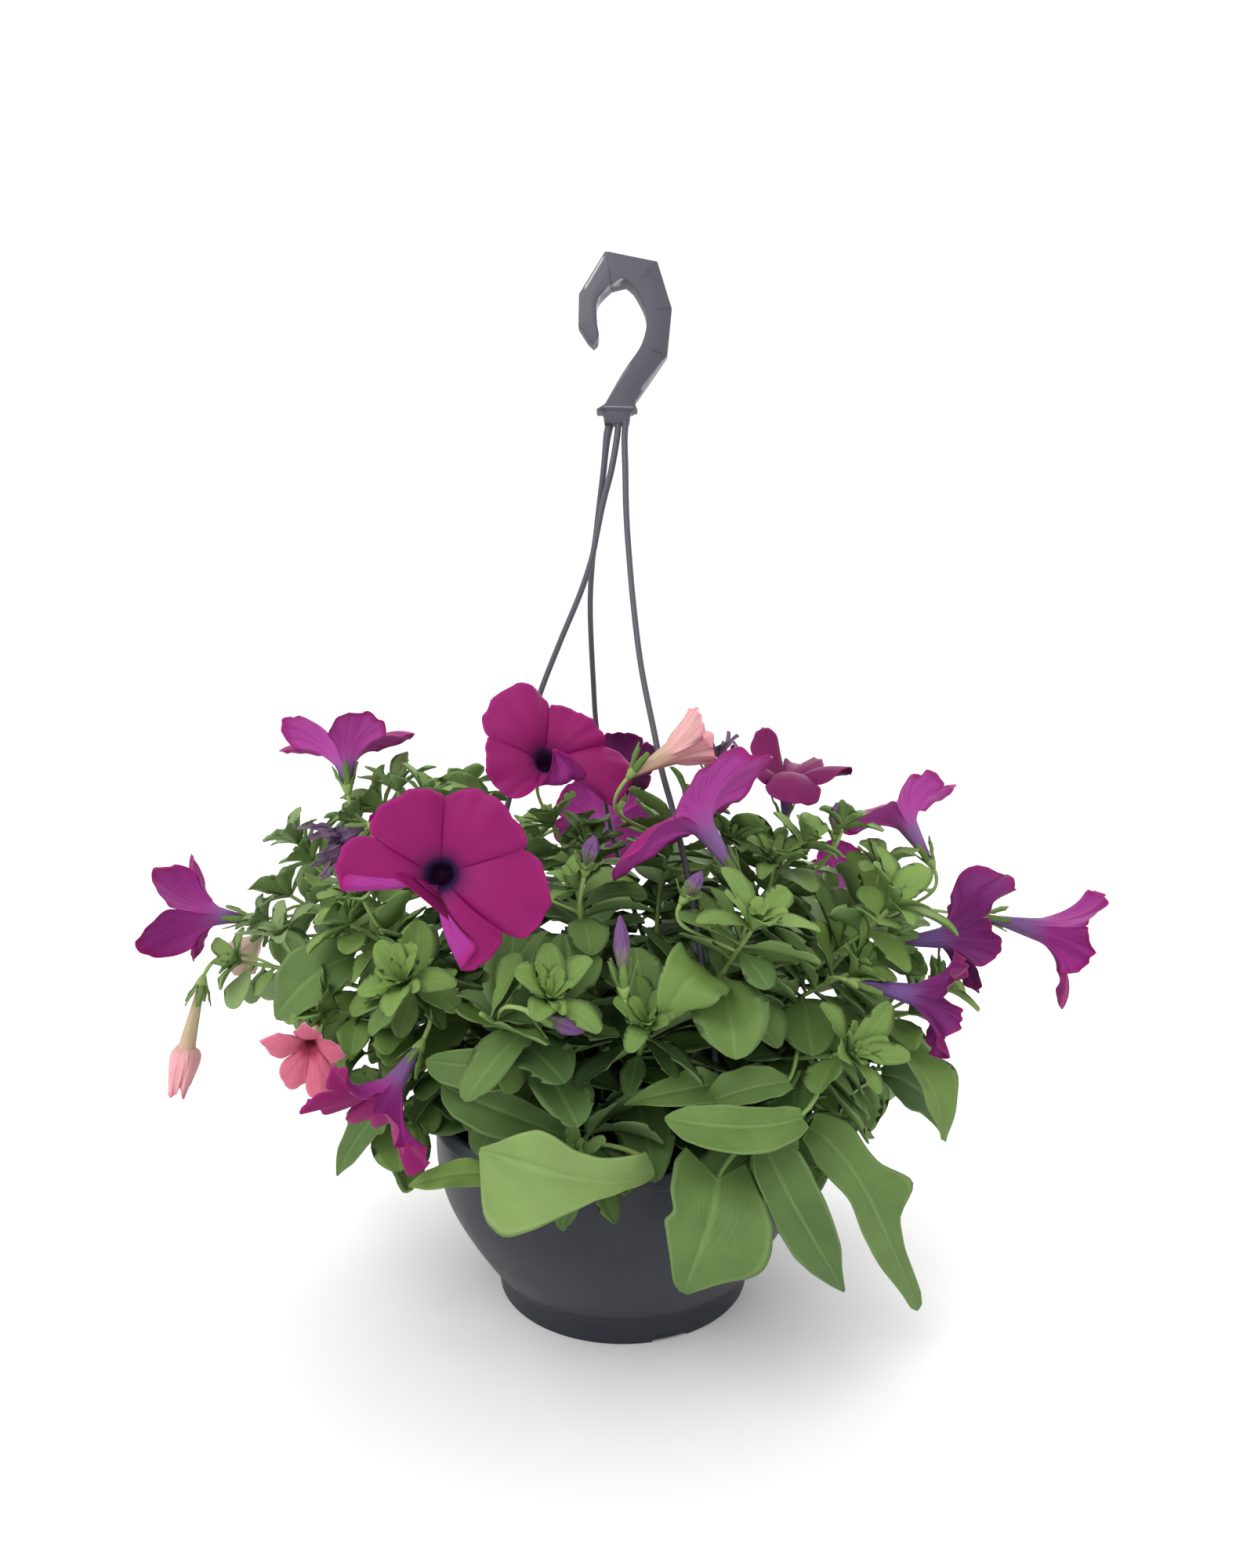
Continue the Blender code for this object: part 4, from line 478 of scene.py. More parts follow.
# Each strap's way down from the collar to the leaves, by the angle of the lug that it goes to.
STRAP_ROUTES = {
    180: [
        (-0.0030, -0.001, 0.538), (-0.0040, 0.000, 0.5275), (-0.0075, 0.000, 0.5075),
        (-0.0125, -0.001, 0.4875), (-0.0165, -0.002, 0.4675), (-0.0200, -0.003, 0.4500),
        (-0.0275, -0.003, 0.4275), (-0.0400, -0.003, 0.3975), (-0.0535, -0.003, 0.3625),
        (-0.0680, -0.002, 0.3150), (-0.0850, -0.001, 0.2450), (-0.0990, 0.000, 0.1720),
    ],
    300: [
        (0.0018, -0.002, 0.538), (0.0010, -0.001, 0.5271), (0.0015, -0.003, 0.5064),
        (0.0020, -0.006, 0.4806), (0.0035, -0.011, 0.4545), (0.0064, -0.020, 0.4183),
        (0.0110, -0.032, 0.3781), (0.0185, -0.046, 0.3373), (0.0228, -0.054, 0.3143),
        (0.0291, -0.062, 0.2898), (0.0373, -0.071, 0.2500), (0.0470, -0.083, 0.1850),
    ],
    60: [
        (-0.0085, 0.002, 0.538), (-0.0105, 0.003, 0.5283), (-0.0126, 0.005, 0.5086),
        (-0.0152, 0.008, 0.4891), (-0.0178, 0.012, 0.4698), (-0.0205, 0.017, 0.4508),
        (-0.0220, 0.025, 0.4223), (-0.0206, 0.042, 0.3775), (-0.0184, 0.054, 0.3432),
        (-0.0090, 0.069, 0.2750), (0.0170, 0.084, 0.1900),
    ],
}


def hook_edges():
    """Outer and inner edge points: the outer runs straight between corners, the inner in two arches."""
    outer = np.array([pair[0] for pair in HOOK_STATIONS])
    inner = np.array([pair[1] for pair in HOOK_STATIONS])
    spans = len(outer) - 1
    at = np.linspace(0, spans, spans * HOOK_STEPS + 1)
    outside = np.stack([np.interp(at, range(spans + 1), line) for line in outer.T], axis=1)
    before = smooth_route(inner[: HOOK_POINT + 1], HOOK_POINT * HOOK_STEPS + 1)
    beyond = smooth_route(inner[HOOK_POINT:], (spans - HOOK_POINT) * HOOK_STEPS + 1)
    return outside, np.concatenate([before, beyond[1:]])


def edge_distance(points, corners):
    """How far in from the nearest straight facet of the outer edge each point lies."""
    start, way = corners[:-1], np.diff(corners, axis=0)
    length = np.linalg.norm(way, axis=1)
    shift = points[..., None, :] - start
    along = np.clip((shift * way).sum(-1) / length**2, 0, 1)
    return np.linalg.norm(shift - along[..., None] * way, axis=-1).min(axis=-1)


def hook_rings():
    """Rings across the bar: over the face from the outer to the inner edge, and back behind it.

    Near the outer edge the face falls in straight facets, by their slope times how far it is within
    their depth, and both edges are rounded by a quarter circle.
    """
    outside, inside = hook_edges()
    corners = np.array([pair[0] for pair in HOOK_STATIONS])
    part = np.array([0, 0.015, 0.05, 0.11, 0.22, 0.36, 0.5, 0.64, 0.78, 0.89, 0.95, 0.985, 1.0])
    flat = outside[:, None] * (1 - part[None, :, None]) + inside[:, None] * part[None, :, None]
    wide = np.linalg.norm(outside - inside, axis=1)[:, None]
    near = np.minimum(part * wide, (1 - part) * wide)
    inward = 1 - np.clip(near / HOOK_ROUND, 0, 1)
    bevel = HOOK_ROUND * (1 - np.sqrt(np.clip(1 - inward**2, 0, 1)))
    slope = FACET_SLOPE * np.clip(FACET_DEPTH - edge_distance(flat, corners), 0, None)
    depth = HOOK_THICKNESS / 2 - slope - bevel
    front = np.stack([flat[..., 0], -depth, flat[..., 1]], axis=-1)
    back = np.stack([flat[..., 0], depth, flat[..., 1]], axis=-1)[:, ::-1]
    return np.concatenate([front, back], axis=1)


def carried(route, radii, sides, level=(0.3, 1, 0.1)):
    """A round section carried along a route, turned as little as can be from point to point."""
    route = np.asarray(route, float)
    ahead = np.gradient(route, axis=0)
    ahead /= np.linalg.norm(ahead, axis=1, keepdims=True)
    angle = whole_turn(sides)[:, None]
    level = np.asarray(level, float)
    rings = []
    for place, radius, way in zip(route, radii, ahead):
        level = level - (level @ way) * way
        level /= np.linalg.norm(level)
        rings.append(place + radius * (np.cos(angle) * level + np.sin(angle) * np.cross(way, level)))
    return np.array(rings)


# Lines painted on the hook's front, in millimetres from one point to another, with how wide and how dark (or,
# below nothing, how bright) each is: painted shade in the creases that run in from the corners, and painted
# highlights along the edges and down the lit left side of the neck.
HOOK_PAINTED_SHADE_AND_HIGHLIGHTS = [
    ((-10.2, 641.5), (-7.6, 623.5), 0.45, 0.75), ((17.6, 634.5), (12.6, 626.2), 1.6, 0.30),
    ((22.0, 607.2), (30.6, 608.3), 0.45, 0.45), ((16.2, 581.9), (25.4, 579.0), 0.50, 0.70),
    ((-24.6, 620.0), (-11.8, 641.6), 0.55, -0.85), ((11.2, 556.2), (27.0, 577.0), 0.8, -0.40),
    ((-12.6, 545.7), (7.4, 545.6), 0.35, -0.30), ((-14.6, 549.5), (2.5, 574.5), 2.6, -0.32),
    ((2.5, 574.5), (11.0, 592.0), 1.8, -0.18), ((-15.6, 614.0), (-8.2, 622.4), 0.55, -0.75),
    ((-8.2, 622.4), (0.0, 626.4), 0.45, -0.70),
]

grey = Finish("grey_plastic", 0.45, Specular_IOR_Level=0.5)
haze = grey.noise(25.0, 3.0)
plastic = grey.mix(haze, (0.040, 0.041, 0.056, 1), (0.058, 0.060, 0.076, 1))
spread = grey.node("ShaderNodeSeparateXYZ", None, {0: grey.node("ShaderNodeTexCoord", output="Object")})
x, depth, z = [Mark(grey, spread.socket.node.outputs[k]) for k in range(3)]
for (x1, z1), (x2, z2), wide, dark in HOOK_PAINTED_SHADE_AND_HIGHLIGHTS:
    length = math.hypot(x2 - x1, z2 - z1) / 1000
    ahead_x, ahead_z = (x2 - x1) / 1000 / length, (z2 - z1) / 1000 / length
    far_x, far_z = x - x1 / 1000, z - z1 / 1000
    aside = (far_x * -ahead_z + far_z * ahead_x).size() * (1000 / wide)
    along = (far_x * ahead_x + far_z * ahead_z) * (1 / length)
    within = (along * (1.0 - along) * 12.0).clamped() * (depth * -400.0).clamped()
    line = (1.6 - aside).clamped() * within * abs(dark)
    # Each line mixes painted shade (dark) or a painted highlight (bright) into the plastic's colour.
    plastic = grey.mix(line, plastic, (0.012, 0.012, 0.018, 1) if dark > 0 else (0.42, 0.42, 0.46, 1))
grey.coloured(plastic)
grey.glossed(0.40 + 0.16 * haze)
grey.embossed(grey.noise(1100.0, 2.0) + 0.5 * grey.noise(180.0), 0.12, 0.0003)

hook_skin = Skin()
bar = hook_rings()
hook_skin.add(bar, still(bar), bar[0].mean(axis=0), bar[-1].mean(axis=0))
collar_height, collar_wide, collar_deep = np.array(COLLAR_STEPS).T[:, :, None]
collar_angle = whole_turn(40)
collar = np.stack([
    COLLAR_X + collar_wide * squared(np.cos(collar_angle), 0.5),
    collar_deep * squared(np.sin(collar_angle), 0.5),
    collar_height + 0 * collar_angle,
], axis=-1)
hook_skin.add(collar, still(collar), (COLLAR_X, 0, 0.5464), (COLLAR_X, 0, 0.5364))
hook_skin.piece("hanger_hook", grey, "grey_plastic", ["hanger"], crease=24)

knob_profile = [
    (0.0014, LUG_UNDER - 0.0003), (0.0034, LUG_UNDER - 0.0005), (0.0036, 0.1030), (0.0031, 0.1008),
    (0.0012, 0.1002),
]
strap_skin = Skin()
for angle in LUG_ANGLES:
    lug = around(angle, LUG_CIRCLE)
    ending = [(*lug, LUG_TOP + 0.012), (*lug, LUG_TOP + 0.002), (*lug, LUG_UNDER - 0.001)]
    route = smooth_route([*STRAP_ROUTES[angle], *ending], STRAP_STEPS)
    top = 0.0027 if angle == 60 else 0.0021
    part = np.linspace(0, 1, STRAP_STEPS)
    radii = np.interp(part, [0, 0.05, 0.12, 0.3, 1], [top, top, 0.0021, 0.0019, 0.0017])
    strap = carried(route, radii, 16)
    strap_skin.add(strap, still(strap), route[0], route[-1])
    knob = turned(knob_profile, 20) + np.array([*lug, 0])
    strap_skin.add(knob, still(knob), (*lug, LUG_UNDER - 0.0002), (*lug, 0.1001))
strap_skin.piece("hanger_straps", grey, "grey_plastic")


# Shoots: a mound of soft green stems that arch out of the compost, each with side twigs, alternate
# leaves, a rosette of young leaves at its tip, and flower stalks that end in a calyx of five sepals.
# The stems, leaves and stalks that stand here are those whose corners the frame's own nodes have.

STEM_RADIUS = 0.0019
STEM_DEPTH = 0.028
STEM_POINTS = 6
TWIG_POINTS = 3
TIP_RADIUS = 0.0012
TWIG_ROOT_RADIUS = 0.0009
GOLDEN_ANGLE = math.radians(137.5)
LOBES = 5
LOBE_STEP = 2 * math.pi / LOBES
STALK_PART = 0.13
STALK_WIDTH = 0.0011
CUP_HEIGHT = 0.0034
SEPAL_TIP = (0.0085, 0.017)
TUFT_LENGTH = 0.032
LEAF_ZONE = (0.28, 0.93)
SAME_POINT = 0.00005
MOUND_MIDDLE = (0, 0, 0.12)
# How many arches or places were tried for each. Later ones stray further, and leaves shrink.
SHOOT_TRIES = 240
STALK_TRIES = 160
STALK_PLACES = 16
LEAF_TRIES = 28
TUFT_TRIES = 160
BIG_LEAF_TRIES = 60

# A shoot ends at its tip, the more steeply the greater its rise. A twig leaves its shoot at a part of it.
Shoot = namedtuple("Shoot", "tip rise leaves length")
SHOOTS = {
    "shoot_left_top": Shoot((-0.148, -0.018, 0.290), 0.7, 5, 0.046),
    "shoot_left_upper": Shoot((-0.186, -0.034, 0.262), 0.5, 5, 0.048),
    "shoot_left_outer": Shoot((-0.214, 0.004, 0.236), 0.5, 5, 0.048),
    "shoot_left_trailing": Shoot((-0.240, -0.010, 0.196), 0.1, 4, 0.046),
    "shoot_left_front": Shoot((-0.152, -0.070, 0.230), 0.5, 5, 0.052),
    "shoot_left_lower": Shoot((-0.158, -0.072, 0.182), 0.2, 5, 0.054),
    "shoot_left_rim": Shoot((-0.136, -0.062, 0.122), -0.2, 4, 0.060),
    "shoot_front_left": Shoot((-0.066, -0.146, 0.200), 0.5, 6, 0.054),
    "shoot_front_tall": Shoot((-0.024, -0.098, 0.252), 0.9, 6, 0.052),
    "shoot_front_middle": Shoot((0.012, -0.136, 0.192), 0.6, 6, 0.054),
    "shoot_front_right": Shoot((0.064, -0.126, 0.236), 0.8, 6, 0.054),
    "shoot_front_rim_left": Shoot((-0.022, -0.132, 0.128), 0.0, 3, 0.060),
    "shoot_front_rim_right": Shoot((0.070, -0.120, 0.126), 0.0, 3, 0.060),
    "shoot_centre": Shoot((-0.044, -0.016, 0.282), 1.0, 5, 0.050),
    "shoot_centre_right": Shoot((0.040, -0.024, 0.290), 1.0, 5, 0.050),
    "shoot_right_top": Shoot((0.102, -0.062, 0.272), 0.8, 6, 0.050),
    "shoot_right_upper": Shoot((0.174, -0.030, 0.240), 0.6, 6, 0.050),
    "shoot_right_middle": Shoot((0.122, -0.088, 0.206), 0.4, 6, 0.054),
    "shoot_right_front": Shoot((0.112, -0.118, 0.172), 0.2, 4, 0.056),
    "shoot_right_outer": Shoot((0.170, -0.040, 0.172), 0.2, 5, 0.056),
    "shoot_right_rim": Shoot((0.128, -0.080, 0.124), 0.0, 4, 0.060),
    "shoot_right_back_rim": Shoot((0.170, -0.008, 0.128), 0.0, 4, 0.060),
    "shoot_back_left": Shoot((-0.126, 0.092, 0.236), 0.6, 5, 0.054),
    "shoot_back": Shoot((-0.024, 0.140, 0.244), 0.7, 5, 0.054),
    "shoot_back_middle": Shoot((0.066, 0.132, 0.240), 0.7, 5, 0.054),
    "shoot_back_right": Shoot((0.146, 0.080, 0.220), 0.4, 5, 0.054),
    "shoot_back_left_rim": Shoot((-0.110, 0.118, 0.138), 0.0, 5, 0.060),
    "shoot_back_rim": Shoot((0.000, 0.164, 0.140), 0.0, 5, 0.060),
    "shoot_back_right_rim": Shoot((0.112, 0.116, 0.138), 0.0, 5, 0.060),
}

Twig = namedtuple("Twig", "shoot part tip rise leaves length")
TWIGS = [
    Twig("shoot_left_top", 0.70, (-0.108, 0.022, 0.300), 0.8, 2, 0.044),
    Twig("shoot_left_outer", 0.62, (-0.196, 0.062, 0.196), 0.3, 3, 0.050),
    Twig("shoot_left_front", 0.60, (-0.112, -0.102, 0.204), 0.5, 3, 0.050),
    Twig("shoot_front_left", 0.66, (-0.034, -0.146, 0.206), 0.6, 2, 0.050),
    Twig("shoot_right_top", 0.62, (0.092, -0.010, 0.262), 0.8, 3, 0.048),
    Twig("shoot_right_upper", 0.60, (0.184, 0.042, 0.204), 0.4, 3, 0.050),
    Twig("shoot_right_middle", 0.60, (0.144, -0.084, 0.240), 0.7, 3, 0.048),
    Twig("shoot_centre_right", 0.60, (0.030, 0.052, 0.262), 0.9, 3, 0.050),
    Twig("shoot_back_left", 0.60, (-0.066, 0.070, 0.262), 0.9, 3, 0.050),
]

# A flower stands on its foot and faces along its aim. Its tube and limb are lengths and its throat is a
# radius. Its lobes are the degrees that each turns from the aim, and its spin is in degrees round it.
# The notch is the part of the limb that a slit takes, and the ruffle is the height of the edge's waves.
Flower = namedtuple("Flower", "shoot foot aim tube throat limb lobes spin notch ruffle")
FLOWERS = {
    "bloom_front_left": Flower(
        "shoot_front_tall", (-0.089, -0.117, 0.262), (0.16, -0.98, 0.10), 0.034, 0.0062, 0.046,
        (98, 92, 96, 150, 104), 54, 0.20, 0.0016,
    ),
    "bloom_top": Flower(
        "shoot_centre", (-0.052, -0.022, 0.308), (0.24, -0.90, 0.36), 0.032, 0.0060, 0.044,
        (92, 100, 96, 84, 92), 20, 0.20, 0.0016,
    ),
    "bloom_top_left": Flower(
        "shoot_left_top", (-0.164, -0.036, 0.303), (-0.12, 0.10, 0.98), 0.026, 0.0058, 0.042,
        (78, 92, 78, 92, 80), 10, 0.26, 0.0014,
    ),
    "bloom_left": Flower(
        "shoot_left_outer", (-0.236, -0.002, 0.222), (-0.96, -0.16, 0.10), 0.028, 0.0056, 0.037,
        (74, 92, 78, 70, 86), 30, 0.32, 0.0012,
    ),
    "bloom_centre_right": Flower(
        "shoot_front_right", (0.062, -0.092, 0.257), (-0.56, -0.16, 0.81), 0.034, 0.0062, 0.046,
        (84, 70, 74, 96, 118), 16, 0.20, 0.0016,
    ),
    "bloom_back_right": Flower(
        "shoot_right_top", (0.104, 0.004, 0.284), (0.04, 0.40, 0.90), 0.022, 0.0056, 0.040,
        (84, 100, 88, 104, 84), 50, 0.42, 0.0020,
    ),
    "bloom_right": Flower(
        "shoot_right_upper", (0.188, -0.026, 0.258), (-0.44, 0.14, 0.88), 0.028, 0.0060, 0.040,
        (84, 70, 88, 118, 76), 14, 0.24, 0.0020,
    ),
    "bloom_right_low": Flower(
        "shoot_right_middle", (0.150, -0.058, 0.217), (0.95, 0.10, 0.06), 0.034, 0.0058, 0.038,
        (84, 100, 72, 96, 70), 40, 0.30, 0.0022,
    ),
    "bloom_far_right": Flower(
        "shoot_right_upper", (0.226, -0.004, 0.224), (0.95, -0.22, -0.06), 0.036, 0.0064, 0.039,
        (80, 84, 66, 92, 70), 0, 0.20, 0.0020,
    ),
    "bloom_lower_right": Flower(
        "shoot_right_middle", (0.120, -0.098, 0.204), (0.92, -0.24, -0.30), 0.032, 0.0056, 0.028,
        (60, 78, 50, 84, 58), 60, 0.34, 0.0024,
    ),
    "bloom_lower_left": Flower(
        "shoot_left_lower", (-0.102, -0.112, 0.176), (-0.46, -0.34, -0.82), 0.024, 0.0056, 0.039,
        (70, 96, 66, 88, 66), 12, 0.30, 0.0022,
    ),
    "bloom_top_behind": Flower(
        "shoot_centre_right", (-0.002, 0.010, 0.292), (-0.06, 0.66, 0.75), 0.024, 0.0054, 0.032,
        (76, 88, 70, 90, 72), 22, 0.26, 0.0016,
    ),
    "bloom_rear_left": Flower(
        "shoot_back_left", (-0.148, 0.112, 0.246), (-0.40, 0.80, 0.44), 0.032, 0.0060, 0.043,
        (92, 98, 90, 104, 92), 18, 0.20, 0.0016,
    ),
    "bloom_rear": Flower(
        "shoot_back", (-0.020, 0.158, 0.256), (0.04, 0.90, 0.42), 0.032, 0.0060, 0.045,
        (96, 90, 100, 92, 110), 44, 0.20, 0.0016,
    ),
    "bloom_rear_right": Flower(
        "shoot_back_right", (0.150, 0.104, 0.214), (0.62, 0.74, 0.20), 0.032, 0.0060, 0.041,
        (90, 100, 88, 96, 84), 8, 0.22, 0.0018,
    ),
    "bloom_rear_low": Flower(
        "shoot_back_left_rim", (-0.092, 0.156, 0.156), (-0.36, 0.92, 0.06), 0.030, 0.0058, 0.041,
        (94, 88, 100, 90, 96), 32, 0.22, 0.0018,
    ),
}

FADED = {
    "faded_bloom_peach": Flower(
        "shoot_centre_right", (0.004, -0.074, 0.312), (0.66, -0.04, 0.75), 0.024, 0.0070, 0.023,
        (58, 40, 62, 44, 56), 10, 0.28, 0.0016,
    ),
    "faded_bloom_star": Flower(
        "shoot_left_lower", (-0.168, -0.076, 0.176), (-0.10, -0.66, -0.74), 0.014, 0.0040, 0.026,
        (82, 90, 84, 92, 80), 18, 0.55, 0.0010,
    ),
    "faded_bloom_hanging": Flower(
        "shoot_left_trailing", (-0.263, -0.010, 0.186), (-0.22, -0.02, -0.97), 0.044, 0.0060, 0.031,
        (24, 10, 30, 14, 22), 0, 0.30, 0.0012,
    ),
    "faded_bloom_pale": Flower(
        "shoot_left_outer", (-0.238, 0.026, 0.212), (-0.60, 0.10, -0.62), 0.014, 0.0050, 0.021,
        (36, 20, 42, 26, 30), 30, 0.25, 0.0010,
    ),
}


def bud(shoot, foot, aim, tube, throat, limb):
    """A flower that has no lobes to open."""
    return Flower(shoot, foot, aim, tube, throat, limb, None, 0, 0, 0)


BUDS = {
    "withered_bloom_left": bud(
        "shoot_left_upper", (-0.142, -0.060, 0.284), (-0.86, -0.10, -0.42), 0.016, 0.0085, 0.012
    ),
    "withered_bloom_top": bud(
        "shoot_centre_right", (0.052, -0.018, 0.312), (0.40, -0.10, 0.85), 0.012, 0.0085, 0.010
    ),
    "bud_front_tall": bud(
        "shoot_front_tall", (-0.019, -0.108, 0.262), (0.24, -0.26, 0.93), 0.012, 0.0052, 0.009
    ),
    "bud_front_right": bud(
        "shoot_front_right", (0.030, -0.124, 0.250), (0.50, -0.20, 0.80), 0.010, 0.0046, 0.008
    ),
    "bud_front_upright": bud(
        "shoot_front_middle", (0.001, -0.142, 0.208), (-0.05, -0.04, 1.0), 0.022, 0.0046, 0.016
    ),
    "bud_front_lying": bud(
        "shoot_front_left", (-0.042, -0.154, 0.203), (0.94, -0.12, -0.30), 0.017, 0.0052, 0.010
    ),
    "bud_right_top": bud(
        "shoot_right_top", (0.124, -0.046, 0.276), (0.06, 0.02, 1.0), 0.011, 0.0046, 0.010
    ),
    "bud_rear": bud(
        "shoot_back_middle", (0.080, 0.146, 0.250), (0.30, 0.60, 0.74), 0.013, 0.0048, 0.010
    ),
}

# The large lower leaves: shoot, part along it, knee, tip, half width, roll, fold and swell.
BIG_LEAVES = [
    ("shoot_front_rim_left", 0.80, (-0.030, -0.144, 0.136), (-0.052, -0.156, 0.100), 0.022, 0.50, 0.28, 0.62),
    ("shoot_front_rim_right", 0.70, (0.052, -0.142, 0.128), (0.027, -0.150, 0.071), 0.029, 0.10, 0.10, 0.50),
    ("shoot_front_rim_right", 0.86, (0.094, -0.146, 0.130), (0.112, -0.132, 0.057), 0.018, -0.30, 0.20, 0.66),
    ("shoot_right_rim", 0.84, (0.160, -0.104, 0.128), (0.158, -0.094, 0.028), 0.019, -0.20, 0.25, 0.80),
    ("shoot_right_back_rim", 0.85, (0.212, -0.022, 0.145), (0.200, -0.026, 0.080), 0.024, 0.10, 0.20, 0.70),
    ("shoot_right_front", 0.60, (0.052, -0.146, 0.160), (0.020, -0.150, 0.146), 0.017, 0.45, 0.20, 0.80),
    ("shoot_right_front", 0.40, (0.046, -0.124, 0.182), (-0.004, -0.130, 0.168), 0.018, 0.50, 0.20, 0.75),
    ("shoot_front_right", 0.72, (0.036, -0.150, 0.230), (0.020, -0.140, 0.196), 0.017, 0.60, 0.20, 0.75),
    ("shoot_right_middle", 0.80, (0.100, -0.130, 0.190), (0.062, -0.136, 0.178), 0.015, 0.50, 0.25, 0.75),
    ("shoot_left_trailing", 0.82, (-0.226, -0.040, 0.196), (-0.208, -0.052, 0.160), 0.018, 0.30, 0.20, 0.70),
    ("shoot_left_rim", 0.80, (-0.162, -0.076, 0.128), (-0.158, -0.078, 0.088), 0.014, 0.10, 0.20, 0.70),
    ("shoot_left_rim", 0.66, (-0.112, -0.112, 0.140), (-0.098, -0.130, 0.100), 0.014, 0.20, 0.20, 0.70),
    ("shoot_front_left", 0.60, (-0.096, -0.138, 0.176), (-0.092, -0.146, 0.148), 0.018, 0.20, 0.20, 0.70),
    ("shoot_front_left", 0.55, (-0.046, -0.148, 0.170), (-0.060, -0.158, 0.140), 0.016, 0.20, 0.25, 0.70),
    ("shoot_right_outer", 0.75, (0.176, -0.082, 0.160), (0.170, -0.092, 0.118), 0.018, 0.00, 0.25, 0.70),
    ("shoot_back_rim", 0.80, (0.024, 0.196, 0.140), (0.030, 0.194, 0.072), 0.024, 0.00, 0.20, 0.60),
    ("shoot_back_left_rim", 0.60, (-0.140, 0.130, 0.140), (-0.152, 0.134, 0.080), 0.022, 0.00, 0.20, 0.65),
    ("shoot_back_right_rim", 0.70, (0.150, 0.128, 0.150), (0.160, 0.136, 0.084), 0.024, 0.00, 0.20, 0.60),
    ("shoot_back", 0.50, (-0.040, 0.160, 0.170), (-0.046, 0.170, 0.118), 0.022, 0.00, 0.20, 0.65),
]

# A leaf's midrib bends at its knee. It is rolled about that and folded along it, by angles. The young
# leaves of a tuft lean out from its aim by its openings, and slim is half their width over their length.
Leaf = namedtuple("Leaf", "root knee tip width roll fold wave phase swell")
Tuft = namedtuple("Tuft", "place aim spin length openings slim")


def unit(vector):
    """The way that a vector points, as a vector one long."""
    vector = np.asarray(vector, float)
    return vector / np.linalg.norm(vector)


def level_of(aim):
    """The level way square to an aim."""
    return unit(np.cross([0.01, 0.02, 1], unit(aim)))


def bezier(controls, t):
    """Points at t of the Bezier curve with these controls, each weighed by its Bernstein polynomial."""
    controls = np.asarray(controls, float)
    t = np.atleast_1d(t)[:, None]
    last = len(controls) - 1
    return sum(math.comb(last, k) * t**k * (1 - t) ** (last - k) * controls[k] for k in range(last + 1))


def drawing(*labels):
    """A seeded source of random numbers, named for what it draws."""
    return random.Random(" ".join(str(label) for label in labels))


def strayed(draw):
    """A random shift of up to one, more often upwards than down."""
    return np.array([draw.uniform(-1, 1), draw.uniform(-1, 1), draw.uniform(-0.3, 1)])


def on_stem(controls, part, count=STEM_POINTS):
    """The point at this part of a stem, on the straight runs between its points."""
    route = bezier(controls, np.linspace(0, 1, count))
    return np.array([np.interp(part * (count - 1), range(count), line) for line in route.T])


def shoot_controls(name, attempt):
    """The root in the compost and the arch of a shoot. Later attempts range wider."""
    shoot = SHOOTS[name]
    draw = drawing(name, "stem", attempt)
    loose = min(1.0, attempt / 60)
    tip = np.asarray(shoot.tip)
    angle = math.atan2(tip[1], tip[0]) + draw.uniform(-0.5, 0.5) * loose
    radius = 0.015 + 0.30 * math.hypot(tip[0], tip[1]) + draw.uniform(-0.03, 0.02) * loose
    radius = min(max(radius, 0.01), 0.082)
    root = np.array([radius * math.cos(angle), radius * math.sin(angle), COMPOST_TOP + 0.002])
    away = tip - root
    outward = unit([away[0], away[1], 0.0])
    sideways = np.array([-outward[1], outward[0], 0.0]) * draw.uniform(-0.03, 0.03) * loose
    far = np.linalg.norm(away)
    first = root + np.array([0, 0, far * (0.35 + draw.uniform(0, 0.35) * loose)]) + sideways
    ending = unit(outward * 0.8 + np.array([0, 0, shoot.rise]))
    return [root, first, tip - ending * far * 0.3 + sideways, tip]


def twig_controls(twig, number, stem, attempt):
    """The arch of a side twig from its place on the stem to its tip."""
    draw = drawing("twig", number, attempt)
    loose = min(1.0, attempt / 40)
    start = on_stem(stem, twig.part - 0.2 * draw.random() * loose)
    tip = np.asarray(twig.tip)
    away = tip - start
    far = np.linalg.norm(away)
    aside = strayed(draw) * 0.02 * loose
    ending = unit([away[0] * 0.8 / far, away[1] * 0.8 / far, twig.rise])
    return [start, start + away * 0.3 + [0, 0, 0.12 * far] + aside, tip - ending * far * 0.3, tip]


def stalk_controls(label, flower, stem, attempt):
    """A flower stalk from a place on the stem to the flower's foot, arriving along its aim."""
    draw = drawing(label, "stalk", attempt)
    spread, place = divmod(attempt, STALK_PLACES)
    start = on_stem(stem, 0.88 - 0.45 * place / STALK_PLACES)
    foot = np.asarray(flower.foot)
    far = np.linalg.norm(foot - start)
    aside = strayed(draw) * (0.02 * spread / 10)
    middle = foot - unit(flower.aim) * far * 0.45 + aside
    return [start, (start + middle) / 2 + aside + [0, 0, 0.1 * far], middle, foot]


def drawn_leaf(axis, runs, part, number, length, draw):
    """A leaf at this part of a stem, a golden angle round it from the last one."""
    root = on_stem(axis, part, runs)
    ahead = unit(bezier(axis, part + 0.01)[0] - bezier(axis, part - 0.01)[0])
    level = unit(np.cross(ahead, [0.1, 0.2, 1]))
    turn = GOLDEN_ANGLE * number + draw.uniform(-0.9, 0.9)
    aside = level * math.cos(turn) + np.cross(level, ahead) * math.sin(turn)
    start = unit(aside + ahead * 0.2 + np.array([0, 0, 0.2]))
    end = unit(start + np.array([0, 0, draw.uniform(-0.95, -0.15)]))
    long = length * draw.uniform(0.85, 1.15)
    knee = root + start * long * 0.5
    return Leaf(
        root, knee, knee + end * long * 0.55, long * draw.uniform(0.25, 0.32), draw.uniform(-0.4, 0.4),
        draw.uniform(0.10, 0.30), long * 0.03, draw.uniform(0, 6), draw.uniform(0.68, 0.85),
    )


